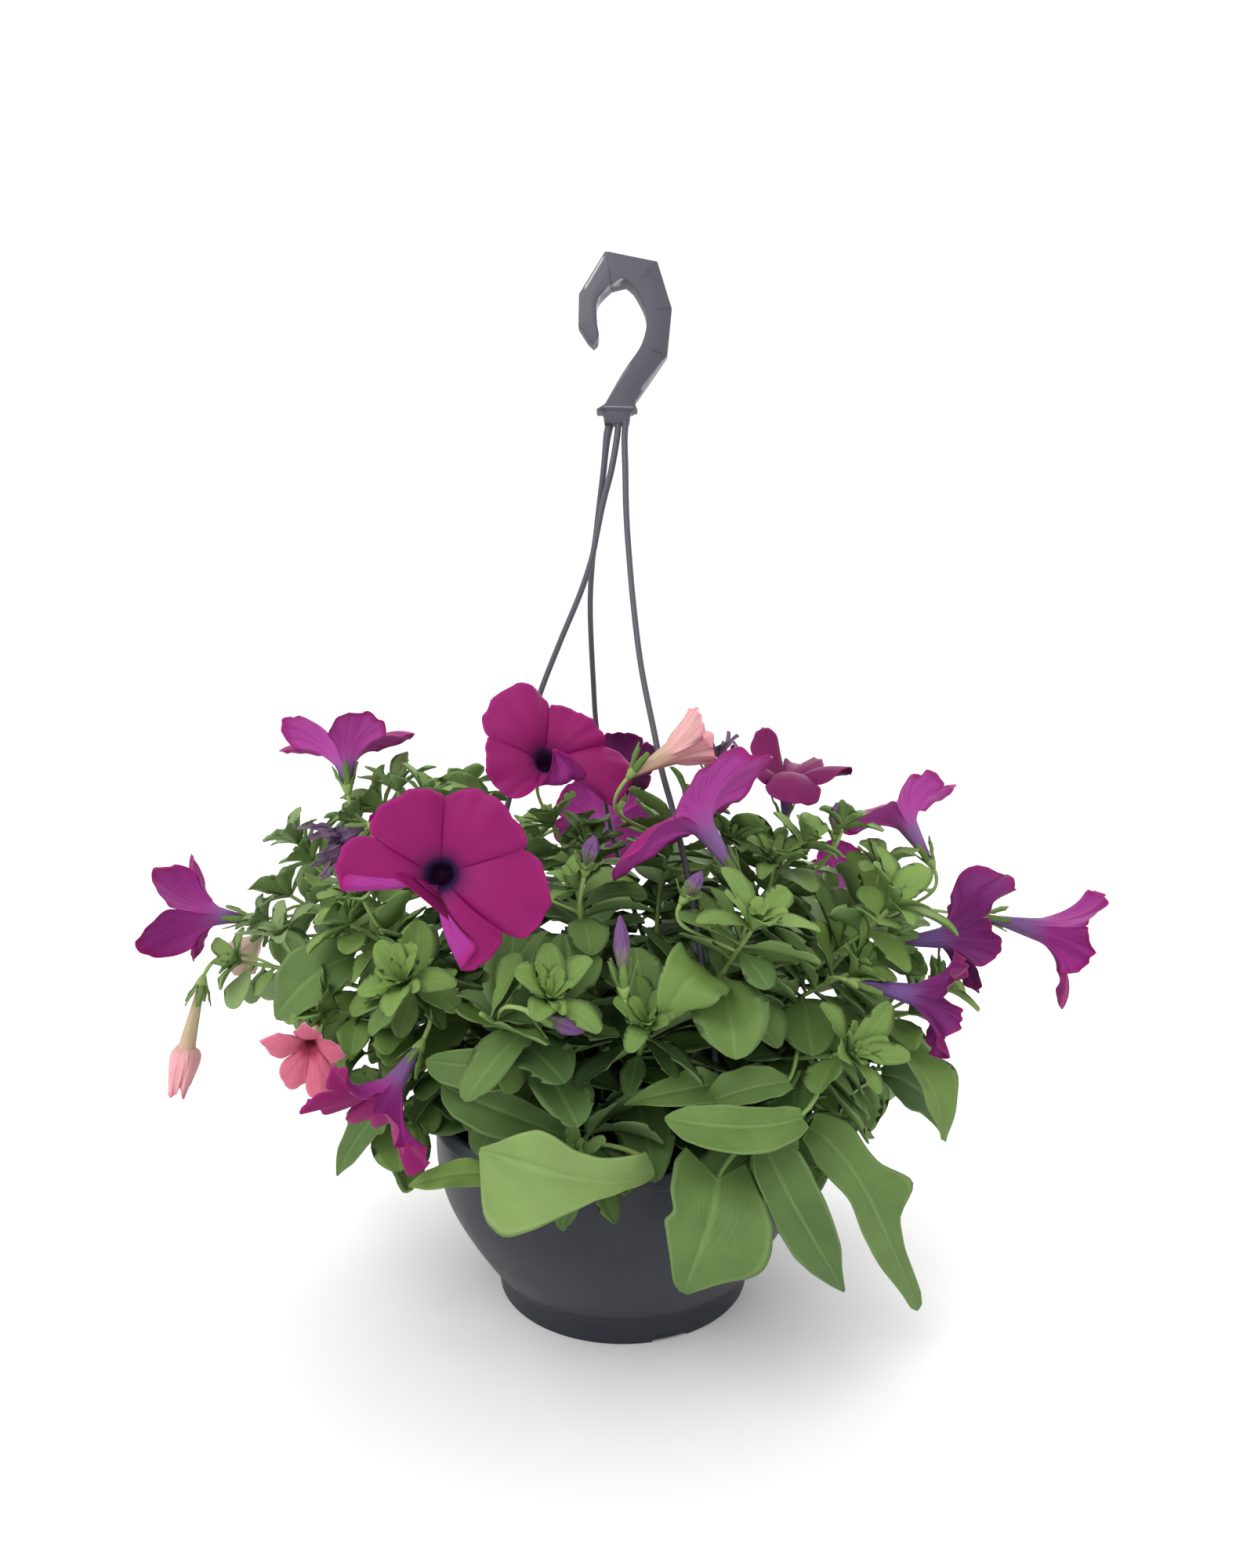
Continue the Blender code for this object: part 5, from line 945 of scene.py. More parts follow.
def drawn_big_leaf(number, stem, attempt):
    """A large leaf. Later attempts move further from its place and shrink."""
    _, part, knee, tip, width, roll, fold, swell = BIG_LEAVES[number]
    draw = drawing("big leaf", number, attempt)
    loose = attempt / BIG_LEAF_TRIES
    root = on_stem(stem, part - draw.uniform(0, 0.3) * loose)
    shift = np.array([draw.uniform(-1, 1), draw.uniform(-1, 0.3), draw.uniform(-1, 1)]) * 0.014 * loose
    turned_by = roll + draw.uniform(-0.5, 0.5) * loose
    size = width * (1 - 0.3 * loose)
    return Leaf(root, knee + shift, tip + shift, size, turned_by, fold, 0.003, 1.0, swell)


def leaf_choices(label, axis, runs, number, count, length):
    """Every leaf drawn for one place on a stem. Lower leaves are larger."""
    low, high = LEAF_ZONE
    part = low + (high - low) * (number + 0.5) / count
    choices = []
    for attempt in range(LEAF_TRIES):
        draw = drawing(label, "leaf", number, attempt)
        size = length * (1.25 - 0.5 * part) * (1 - 0.25 * attempt / LEAF_TRIES)
        place = part + draw.uniform(-0.04, 0.04)
        choices.append(drawn_leaf(axis, runs, place, number + attempt, size, draw))
    return choices


def drawn_tuft(label, axis, length, attempt):
    """A rosette at the end of a stem. Later attempts are smaller and lean further."""
    draw = drawing(label, "tuft", attempt)
    loose = attempt / TUFT_TRIES
    openings = tuple(draw.uniform(0.45, 1.25) for _ in range(5))
    size = length * draw.uniform(0.9, 1.1) * (1 - 0.55 * loose)
    lean = strayed(draw) * loose
    aim = unit(axis[-1] - bezier(axis, 0.95)[0]) + [0, 0, 0.3] + lean * 0.9
    return Tuft(axis[-1], aim, draw.uniform(0, LOBE_STEP), size, openings, draw.uniform(0.18, 0.24))


def tuft_blades(tuft, openings, shift, scale):
    """Middle, tip and way across of the young leaves that lean out by these openings."""
    aim = unit(tuft.aim)
    level = level_of(aim)
    angle = (tuft.spin + LOBE_STEP * (np.arange(5) + shift))[:, None]
    outward = np.cos(angle) * level + np.sin(angle) * np.cross(aim, level)
    lean = np.array(openings)[:, None]
    start = np.sin(lean) * outward + np.cos(lean) * aim
    end = np.sin(lean + 0.4) * outward + np.cos(lean + 0.4) * aim
    middle = tuft.place + outward * 0.001 + start * tuft.length * 0.5 * scale
    return middle, middle + end * tuft.length * 0.5 * scale, np.cross(aim, outward)


def mesh_corners(mesh):
    """The corners of a mesh, as (count, 3)."""
    corners = np.empty(len(mesh.vertices) * 3, np.float32)
    mesh.vertices.foreach_get("co", corners)
    return corners.reshape(-1, 3)


node_corners = {name: mesh_corners(frame["nodes"][name].data).astype(float) for name in SHOOTS}


def stands(name, points):
    """Is every one of these points a corner of the shoot's node?"""
    away = np.linalg.norm(np.asarray(points)[:, None] - node_corners[name], axis=2).min(axis=1)
    return away.max() < SAME_POINT


def ring_error(name, points, radii):
    """How far the shoot's node is from having a ring of five corners round each point."""
    away = np.linalg.norm(np.asarray(points)[:, None] - node_corners[name], axis=2)
    ring = np.sort(away, axis=1)[:, :5]
    return float(np.median(np.abs(ring - np.asarray(radii)[:, None])))


def standing_arch(name, arches, count, first_radius):
    """The one of these arches that the shoot's node has rings along."""
    parts = np.linspace(0, 1, count)[1:-1]
    radii = np.linspace(first_radius, TIP_RADIUS, count)[1:-1]
    return min(arches, key=lambda controls: ring_error(name, bezier(controls, parts), radii))


axes = {}
for name in SHOOTS:
    arches = [shoot_controls(name, k) for k in range(SHOOT_TRIES)]
    axes[name] = standing_arch(name, arches, STEM_POINTS, STEM_RADIUS)
for number, twig in enumerate(TWIGS):
    arches = [twig_controls(twig, number, axes[twig.shoot], k) for k in range(STALK_TRIES)]
    axes[number] = standing_arch(twig.shoot, arches, TWIG_POINTS, TWIG_ROOT_RADIUS)
blossoms = {**FLOWERS, **FADED, **BUDS}
stalks = {}
for label, flower in blossoms.items():
    arches = [stalk_controls(label, flower, axes[flower.shoot], k) for k in range(STALK_TRIES)]
    stalks[label] = standing_arch(flower.shoot, arches, TWIG_POINTS, TWIG_ROOT_RADIUS)

leaves = {name: [] for name in SHOOTS}
big_leaves = {name: [] for name in SHOOTS}
tufts = {name: [] for name in SHOOTS}
branches = [(name, name, STEM_POINTS, shoot.leaves, shoot.length) for name, shoot in SHOOTS.items()]
branches += [(twig.shoot, k, TWIG_POINTS, twig.leaves, twig.length) for k, twig in enumerate(TWIGS)]
for name, key, runs, count, length in branches:
    for number in range(count):
        for leaf in leaf_choices(key, axes[key], runs, number, count, length):
            if stands(name, [leaf.tip]):
                leaves[name].append(leaf)
                break
    for attempt in range(TUFT_TRIES):
        tuft = drawn_tuft(key, axes[key], TUFT_LENGTH, attempt)
        if stands(name, tuft_blades(tuft, tuft.openings, 0.5, 1.0)[1]):
            tufts[name].append(tuft)
            break
for number, (name, *_) in enumerate(BIG_LEAVES):
    for attempt in range(BIG_LEAF_TRIES):
        leaf = drawn_big_leaf(number, axes[name], attempt)
        if stands(name, [leaf.tip]):
            big_leaves[name].append((number, leaf))
            break


def swelling(along, start, width, swell, blunt=0.62):
    """Half width: a sine hump to a small power, which makes the tip blunt, pushed along by swell."""
    part = np.clip((along - start) / (1 - start), 0, 1)
    return STALK_WIDTH + (width - STALK_WIDTH) * np.sin(math.pi * part**swell) ** blunt


def bell(x, width):
    """A bell curve: e to the minus square of x over its width."""
    return np.exp(-((x / width) ** 2))


# A point's mark on the plant says how far along its blade it is, how far across (-1 to 1, or this on a
# stem), whether it is beneath, and its tone: how young it is, with painted shade towards the middle of the
# mound and painted light on its left.
ON_STEM = 3.0


def blade(
    skin, line, level, widths, along, columns, fold, wave, phase,
    roll=0.0, twist=0.0, thick=0.0005, tone=0.0, sweep=0.0,
):
    """A leaf blade as a closed skin: over its face from edge to edge, and back beneath.

    The midrib is a Bezier curve. Each row runs across it, turned by roll and, towards the tip, by twist.
    Its two half widths may differ, and sweep pulls the rows' ends back into a heart's two shoulders.
    It dips in a trough at the midrib, its edges wave, and its underside carries the thick midrib.
    """
    rib = bezier(line, along)
    ahead = bezier(line, along + 0.01) - rib
    ahead /= np.linalg.norm(ahead, axis=1, keepdims=True)
    across = level - (ahead @ level)[:, None] * ahead
    across /= np.linalg.norm(across, axis=1, keepdims=True)
    out = np.cross(across, ahead)
    turn = (roll + twist * along**2)[:, None]
    across, out = across * np.cos(turn) + out * np.sin(turn), out * np.cos(turn) - across * np.sin(turn)
    side = np.linspace(-1, 1, columns)
    widths = widths if widths.ndim == 2 else np.stack([widths, widths], axis=1)
    wide = np.where(side > 0, widths[:, :1], widths[:, 1:])
    share = wide / widths.max()
    lift = wide * (np.abs(side) ** 1.35 * math.sin(fold) - 0.06 * bell(side, 0.16))
    edge = wave * np.sin(phase + 0.65 + 0.65 * np.sign(side) + 11 * along[:, None]) * np.abs(side) ** 2.2
    edge = edge + 0.35 * wave * np.sin(2.7 * phase + 23 * along[:, None] + 2 * side) * np.abs(side) ** 3
    face = rib[:, None] + across[:, None] * (side * math.cos(fold) * wide)[..., None]
    face = face + out[:, None] * (lift + edge * share)[..., None]
    face = face - ahead[:, None] * (sweep * np.abs(side) ** 1.5 * (1 - along[:, None]) ** 3)[..., None]
    midrib = bell(side, 0.13)
    body = thick * np.sqrt(np.clip(1 - side**2, 0, 1)) + 2.0 * thick * midrib * (1.15 - along[:, None])
    under = face - out[:, None] * body[..., None]
    rings = np.concatenate([face, under[:, -2:0:-1]], axis=1)
    marks = np.zeros((*rings.shape[:2], 4))
    marks[..., 0] = along[:, None]
    marks[..., 1] = np.concatenate([side, side[-2:0:-1]])
    below = np.concatenate([np.zeros(columns), np.ones(columns - 2)])
    below[[0, columns - 1]] = 0.5
    marks[..., 2] = below
    marks[..., 3] = tone
    skin.add(rings, marks, line[0], line[-1])


def leaf_level(leaf):
    """The level way across a leaf, square to its first half."""
    return np.cross(leaf.knee - leaf.root + [0, 0, 1e-4], [0.02, 0.01, 1])


# Columns across a small, a large and a shaped leaf, and where their rows lie along them. The rows are
# closest at the tip, which rounds off.
SMALL_COLUMNS, LARGE_COLUMNS, SHAPED_COLUMNS = 7, 13, 21
SMALL_ROWS = np.array([0.004, 0.07, 0.14, 0.22, 0.32, 0.44, 0.56, 0.68, 0.79, 0.88, 0.945, 0.982])
LARGE_ROWS = np.concatenate([np.linspace(0.004, 0.9, 24), [0.93, 0.955, 0.975, 0.99]])
SHAPED_ROWS = np.concatenate([[0.003, 0.015], np.linspace(0.035, 0.95, 38), [0.968, 0.982, 0.993]])


def add_leaf(skin, leaf, rows, columns, tone, twist=0.0):
    """A leaf of the plain shape. Its midrib runs from the root, bent by the knee, to the tip."""
    widths = swelling(rows, STALK_PART, leaf.width, leaf.swell)
    blade(
        skin, [leaf.root, leaf.knee, leaf.tip], leaf_level(leaf), widths, rows, columns, leaf.fold, leaf.wave,
        leaf.phase, leaf.roll, twist, tone=tone,
    )


# The large leaves at the front each have a shape of their own, by their number among the large leaves:
# the midrib's four controls and the way that the face looks, then half widths on either side of it at
# parts of its length. The line and the widths are in millimetres.
Shaped = namedtuple("Shaped", "line facing parts widths fold wave sweep tone")
SHAPED = {
    0: Shaped(
        ((16, -126, 116), (-4, -150, 114), (-35, -166, 137), (-66, -150, 138)), (0.1, -0.9, 0.45),
        (0, 0.08, 0.22, 0.4, 0.55, 0.66, 0.75, 0.84, 0.92, 1),
        ((2, 14, 13, 11, 12, 15, 16, 11, 5, 0.6), (1, 2, 3, 8, 18, 27, 33, 28, 13, 0.6)),
        0.32, 0.003, 0, 1.35,
    ),
    1: Shaped(
        ((46, -141, 120), (42, -160, 110), (34, -158, 92), (29, -146, 69)), (-0.1, -0.95, 0.3),
        (0, 0.12, 0.3, 0.42, 0.5, 0.65, 0.8, 0.93, 1),
        ((18, 23, 22, 17, 20.5, 15, 10, 6, 1.5), (12, 19, 28, 30, 29, 23, 12, 5, 1.5)),
        0.16, 0.002, 0.012, 0.32,
    ),
    2: Shaped(
        ((69, -134, 133), (74, -152, 121), (92, -150, 92), (109, -128, 59)), (0.1, -0.95, 0.3),
        (0, 0.15, 0.3, 0.45, 0.6, 0.75, 0.9, 1),
        ((6, 11, 12, 14, 13.5, 10, 4.5, 0.4), (9, 14, 15, 14, 12, 9, 3.5, 0.4)), 0.25, 0.0015, 0, 0.18,
    ),
    3: Shaped(
        ((95, -112, 133), (117, -128, 127), (132, -118, 81), (158, -92, 29)), (0.25, -0.9, 0.35),
        (0, 0.15, 0.3, 0.4, 0.46, 0.52, 0.57, 0.62, 0.75, 0.88, 0.95, 1),
        ((8, 14, 14, 12, 13, 15, 15, 14, 11, 7, 6, 1.5), (8, 14, 13, 14, 19, 24, 20, 10, 6, 6, 5, 1.5)),
        0.18, 0.003, 0, 0.4,
    ),
    4: Shaped(
        ((156, -30, 132), (169, -34, 134), (190, -34, 121), (196, -26, 90)), (0.2, -0.9, 0.4),
        (0, 0.2, 0.38, 0.48, 0.58, 0.75, 0.9, 1),
        ((4, 11, 15, 15, 12, 8, 4, 0.5), (4, 13, 19, 23, 14, 12, 8, 0.5)), 0.15, 0.002, 0, 0.0,
    ),
    5: Shaped(
        ((86, -140, 149), (64, -156, 149), (42, -158, 152), (20, -146, 151)), (0.0, -0.75, 0.66),
        (0, 0.1, 0.3, 0.5, 0.7, 0.85, 0.95, 1),
        ((4, 7, 8, 8.5, 9, 7, 3.5, 0.4), (5, 9, 13, 15, 13, 9, 4, 0.4)), 0.25, 0.0015, 0, 0.45,
    ),
    6: Shaped(
        ((49, -122, 160), (36, -134, 161), (18, -134, 159), (1, -124, 149)), (-0.1, -0.7, 0.7),
        (0, 0.2, 0.4, 0.6, 0.8, 1),
        ((4, 9, 9, 7, 4, 0.3), (5, 12, 11, 8, 4, 0.3)), 0.25, 0.001, 0, 0.35,
    ),
    8: Shaped(
        ((82, -128, 162), (67, -140, 165), (51, -142, 162), (39, -130, 151)), (0.0, -0.7, 0.7),
        (0, 0.2, 0.45, 0.7, 0.88, 1),
        ((3, 8, 11, 10, 5, 0.4), (4, 8, 9, 7, 4, 0.4)), 0.25, 0.001, 0, 0.35,
    ),
    9: Shaped(
        ((-153, -60, 209), (-160, -72, 211), (-178, -76, 200), (-195, -66, 176)), (-0.2, -0.9, 0.4),
        (0, 0.15, 0.35, 0.6, 0.8, 0.93, 1),
        ((4, 12, 18, 19, 15, 9, 1), (4, 12, 17, 18, 14, 8, 1)), 0.15, 0.002, 0.004, 0.3,
    ),
    10: Shaped(
        ((-126, -78, 136), (-132, -86, 130), (-146, -84, 117), (-157, -76, 92)), (-0.3, -0.9, 0.3),
        (0, 0.2, 0.5, 0.8, 1),
        ((4, 8, 10, 7, 0.5), (4, 8, 10, 7, 0.5)), 0.2, 0.001, 0, 0.2,
    ),
    11: Shaped(
        ((-61, -114, 109), (-75, -126, 119), (-90, -126, 115), (-107, -118, 106)), (-0.1, -0.7, 0.7),
        (0, 0.2, 0.5, 0.8, 1),
        ((3, 6, 7, 5, 0.4), (3, 7, 8, 5, 0.4)), 0.2, 0.0015, 0, 0.8,
    ),
    12: Shaped(
        ((-48, -118, 164), (-60, -134, 171), (-77, -136, 172), (-97, -124, 171)), (-0.05, -0.85, 0.5),
        (0, 0.12, 0.35, 0.6, 0.8, 0.93, 1),
        ((5, 8, 9, 8, 6, 4, 0.5), (5, 9, 12, 12, 10, 6, 0.5)), 0.15, 0.001, 0, 0.25,
    ),
    13: Shaped(
        ((-27, -118, 130), (-43, -136, 146), (-67, -138, 154), (-89, -124, 159)), (-0.05, -0.8, 0.6),
        (0, 0.15, 0.4, 0.6, 0.8, 0.93, 1),
        ((3, 6, 9, 9, 8, 5, 0.5), (3, 7, 12, 14, 12, 7, 0.5)), 0.2, 0.0015, 0, 0.2,
    ),
}


def add_shaped_leaf(skin, shaped, axis):
    """A leaf of its own shape, on a stalk from the nearest place on its shoot."""
    line = np.array(shaped.line) / 1000
    ahead = line[-1] - line[0]
    halves = [np.interp(SHAPED_ROWS, shaped.parts, half) / 1000 for half in shaped.widths]
    halves = [np.convolve(np.pad(half, 1, mode="edge"), [0.25, 0.5, 0.25], "valid") for half in halves]
    blade(
        skin, line, np.cross(ahead, shaped.facing), np.stack(halves, axis=1), SHAPED_ROWS, SHAPED_COLUMNS,
        shaped.fold, shaped.wave, 1.7 * len(shaped.parts), thick=0.0006, tone=shaped.tone, sweep=shaped.sweep,
    )
    route = bezier(axis, np.linspace(0.3, 0.95, 40))
    start = route[np.argmin(np.linalg.norm(route - line[0], axis=1))]
    back = line[0] - 0.35 * (line[1] - line[0])
    stalk = [start, (start + back) / 2 + [0, 0, 0.006], back, line[0] + 0.06 * ahead]
    add_stem(skin, stalk, 0.0014, 0.0009, 14, 8, shaped.tone)


def add_stem(skin, controls, first_radius, last_radius, count, sides, tone, buried=0.0):
    """A stem carried along its arch: thick at the root, with a slight swelling where leaves leave it."""
    part = np.linspace(0, 1, count)
    route = bezier(controls, part)
    radii = first_radius + (last_radius - first_radius) * part
    if buried:
        route, radii = np.vstack([route[0] - [0, 0, buried], route]), np.append(first_radius, radii)
        part = np.append(-0.1, part)
    rings = carried(route, radii * (1 + 0.07 * np.sin(23 * part)), sides)
    marks = still(rings, (0, 0, 0.25, tone))
    marks[..., 0] = part[:, None]
    marks[..., 1] = ON_STEM
    skin.add(rings, marks, route[0], route[-1])


def flower_points(flower, radius, height, angle):
    """World points from radius and height along the flower's axis, at an angle round it."""
    aim = unit(flower.aim)
    level = level_of(aim)
    up = np.cross(aim, level)
    angle = np.asarray(angle) + math.radians(flower.spin)
    outward = np.cos(angle)[..., None] * level + np.sin(angle)[..., None] * up
    along = np.asarray(height)[..., None] * aim
    return np.asarray(flower.foot) + along + np.asarray(radius)[..., None] * outward


def way_round(flower, angle):
    """The way round a flower's axis, at an angle."""
    reach, angles = np.array([0.01, 0.01]), np.array([angle, angle + 0.2])
    ahead, beside = flower_points(flower, reach, np.zeros(2), angles)
    return beside - ahead


CUP = np.array([
    (0.0013, -0.0022), (0.0018, -0.0010), (0.0026, 0.0008), (0.0032, 0.0026), (0.0034, 0.0040),
    (0.0028, 0.0046), (0.0022, 0.0040),
])


def add_calyx(skin, label, flower, tone):
    """A cup round the tube's foot and five narrow, blunt sepals that spread from it."""
    angle = whole_turn(15)
    radius = CUP[:, :1] * (1 + 0.07 * np.cos(LOBES * angle))
    rings = flower_points(flower, radius, CUP[:, 1:] + 0 * angle, angle + 0 * radius)
    marks = still(rings, (0.3, ON_STEM, 0.25, tone))
    skin.add(rings, marks, *flower_points(flower, np.zeros(2), np.array([-0.0023, 0.0036]), np.zeros(2)))
    tip_radius = max(SEPAL_TIP[0], flower.throat + 0.002)
    tip_height = min(SEPAL_TIP[1], 0.75 * flower.tube)
    draw = drawing(label, "sepals")
    rows = SMALL_ROWS[1:]
    for k in range(LOBES):
        turn = LOBE_STEP * (k + 0.5) + draw.uniform(-0.15, 0.15)
        reach, height = tip_radius * draw.uniform(0.92, 1.08), tip_height * draw.uniform(0.9, 1.05)
        radii = np.array([0.0024, 0.62 * reach, reach])
        heights = np.array([0.0016, 0.42 * height, height])
        line = flower_points(flower, radii, heights, np.full(3, turn))
        widths = swelling(rows, 0.0, draw.uniform(0.0019, 0.0024), 0.95)
        level = way_round(flower, turn)
        blade(skin, line, level, widths, rows, 5, -0.25, 0.0004, draw.uniform(0, 6), tone=tone)


def add_tuft(skin, tuft, tone, draw):
    """Three whorls of young leaves: the outer five lean furthest, and the inner ones stand and are small."""
    whorls = [(1.0, 0.5, 1.0, 1.0), (0.62, 0.0, 0.66, 0.8), (0.32, 0.55, 0.42, 0.62)]
    for number, (lean, shift, scale, slim) in enumerate(whorls):
        openings = lean * np.array(tuft.openings)
        middle, tip, across = tuft_blades(tuft, openings, shift, scale)
        for k in range(5):
            grown = draw.uniform(0.72, 1.12)
            end = tuft.place + (tip[k] - tuft.place) * grown + [0, 0, draw.uniform(-0.003, 0.002) * scale]
            knee = 2 * (tuft.place + (middle[k] - tuft.place) * grown) - (tuft.place + end) / 2
            wide = tuft.length * tuft.slim * scale * slim * draw.uniform(1.0, 1.3)
            widths = swelling(SMALL_ROWS, 0.02, wide, 1.3)
            blade(
                skin, [tuft.place, knee, end], -across[k], widths, SMALL_ROWS, 5, draw.uniform(0.15, 0.35),
                0.0006 * scale, draw.uniform(0, 6), 0.0, draw.uniform(-0.4, 0.4), 0.0004,
                min(max(1.0, tone), tone + 0.12 * number),
            )


def tone_at(point, draw):
    """How young and bright a leaf there is: the more so the further from the middle of the mound, which also
    paints shade into the mound's middle, and brighter past one on the mound's left, which is painted light.
    """
    reach = np.linalg.norm((np.asarray(point) - MOUND_MIDDLE) * [1.1, 0.62, 1.0])
    # Painted light: leaves on the left of the mound get tones past one, which the leaf finish paints paler.
    lit = 2.2 * max(0.0, -0.12 - point[0])
    return float(np.clip((reach - 0.075) / 0.145 + lit + draw.uniform(-0.25, 0.25), 0, 1.1 + 2 * lit))


leaf_green = Finish("petunia_leaf", 0.55, Specular_IOR_Level=0.2)
along, across, below, youth_and_painted_light = leaf_green.marks()
patch = leaf_green.noise(60.0, 3.0)
speck = leaf_green.noise(700.0, 2.0)
deep = leaf_green.mix(youth_and_painted_light, (0.036, 0.078, 0.026, 1), (0.110, 0.190, 0.042, 1))
fresh = leaf_green.mix(youth_and_painted_light, (0.066, 0.124, 0.034, 1), (0.225, 0.355, 0.078, 1))
blade_colour = leaf_green.mix(patch, deep, fresh)
# Tones past one mix in a pale green: painted light on the mound's left.
blade_colour = leaf_green.mix((youth_and_painted_light - 1.0).clamped(), blade_colour, (0.210, 0.285, 0.130, 1))
is_stem = (across - 2.0).clamped()
rib = (1.0 - across.size() * 9.0).clamped() * (1.0 - is_stem)
wing = (across.size() + along * 0.55) * 9.0
vein = (wing.wave() * 3.0 - 2.0).clamped() * (1.0 - is_stem) * (1.0 - across.size()).clamped()
rim = ((across.size() - 0.86) * 6.0).clamped() * (1.0 - is_stem)
blade_colour = leaf_green.mix(rib * 0.27 + vein * 0.14, blade_colour, (0.24, 0.36, 0.12, 1))
blade_colour = leaf_green.mix(rim * 0.35, blade_colour, (0.30, 0.42, 0.16, 1))
blade_colour = leaf_green.mix(below * 0.45, blade_colour, (0.20, 0.30, 0.13, 1))
stem_colour = leaf_green.mix(youth_and_painted_light, (0.13, 0.20, 0.06, 1), (0.30, 0.42, 0.13, 1))
leaf_green.coloured(leaf_green.mix(is_stem, blade_colour, stem_colour))
leaf_green.glossed(0.50 + 0.18 * patch)
leaf_green.embossed(0.35 * speck - rib * 0.9 - vein * 0.5, 0.35, 0.0006)

for name in SHOOTS:
    shoot_skin = Skin()
    draw = drawing(name, "tones")
    add_stem(shoot_skin, axes[name], STEM_RADIUS, TIP_RADIUS, 34, 9, 0.35, STEM_DEPTH)
    for number, twig in enumerate(TWIGS):
        if twig.shoot == name:
            add_stem(shoot_skin, axes[number], TWIG_ROOT_RADIUS, TIP_RADIUS, 18, 8, 0.5)
    for label, flower in blossoms.items():
        if flower.shoot == name:
            add_stem(shoot_skin, stalks[label], TWIG_ROOT_RADIUS, TIP_RADIUS, 20, 8, 0.75)
            add_calyx(shoot_skin, label, flower, 0.6)
    for leaf in leaves[name]:
        tone = tone_at(leaf.tip, draw)
        add_leaf(shoot_skin, leaf, SMALL_ROWS, SMALL_COLUMNS, tone, draw.uniform(-0.5, 0.5))
    for number, leaf in big_leaves[name]:
        if number in SHAPED:
            add_shaped_leaf(shoot_skin, SHAPED[number], axes[name])
        else:
            add_leaf(shoot_skin, leaf, LARGE_ROWS, LARGE_COLUMNS, 0.55 + draw.uniform(-0.2, 0.2))
    for tuft in tufts[name]:
        scale = 0.5 if name.endswith(("rim_left", "rim_right")) and tuft.place[1] < 0 else 1.0
        tuft = tuft._replace(length=tuft.length * scale)
        add_tuft(shoot_skin, tuft, tone_at(tuft.place, draw) * 0.5 + 0.5, draw)
    shoot_skin.piece(name + "_grown", leaf_green, "leaf_green", [name])


# Blooms: five-lobed trumpets of thin, velvety petal. Each is one skin, from the tube's foot in its calyx
# up to the limb's ruffled edge and back down into the dark throat.

BLOOM_SIDES = 150
TUBE_STEPS = 9
LIMB_STEPS = 24
FOOT_RADIUS = 0.0019
# The row of the tube at which the inner face closes.
DEEP_ROW = 5
HALF_PETAL = 0.00022
# A cosine of this many waves round a flower is widest at a lobe's middle and nothing at a slit.
SLIT_WAVES = LOBES / 2


def lobe_weights(angle):
    """How far each of the five lobes has a say at this angle round the flower."""
    apart = angle[..., None] - LOBE_STEP * np.arange(LOBES)
    nearness = np.clip(np.cos(apart), 0, 1) ** 6
    return nearness / nearness.sum(axis=-1, keepdims=True)


# How a bloom departs from an even trumpet. First is the angle at its throat, and quick is how early
# its limb turns out. Long is each lobe's length, notches the depth of the slit after each lobe, swings
# the degrees that each lobe leans aside, and point how far its tip stands out. A roll turns a lobe's
# margin over a line at an angle towards a slit: the line, the side that rolls, how wide that is, how
# tightly it rolls, where along the lobe it starts and ends, and how far it turns. A curl turns a lobe's
# end up: its middle, how wide it is, how far it turns and where along the lobe it starts.
Pose = namedtuple(
    "Pose", "first quick long notches swings point rolls curls",
    defaults=(28, 1.25, (1,) * LOBES, None, (0,) * LOBES, 0.0, (), ()),
)


def lobed_angles(sides):
    """Angles round a flower, moved by a sine of five waves so that they lie closest at the slits."""
    even = whole_turn(sides)
    return even + 0.125 * np.sin(LOBES * even)


def angle_past(angle, degrees):
    """How far an angle is past a line, between minus half a turn and half a turn."""
    return (angle - math.radians(degrees) + math.pi) % (2 * math.pi) - math.pi


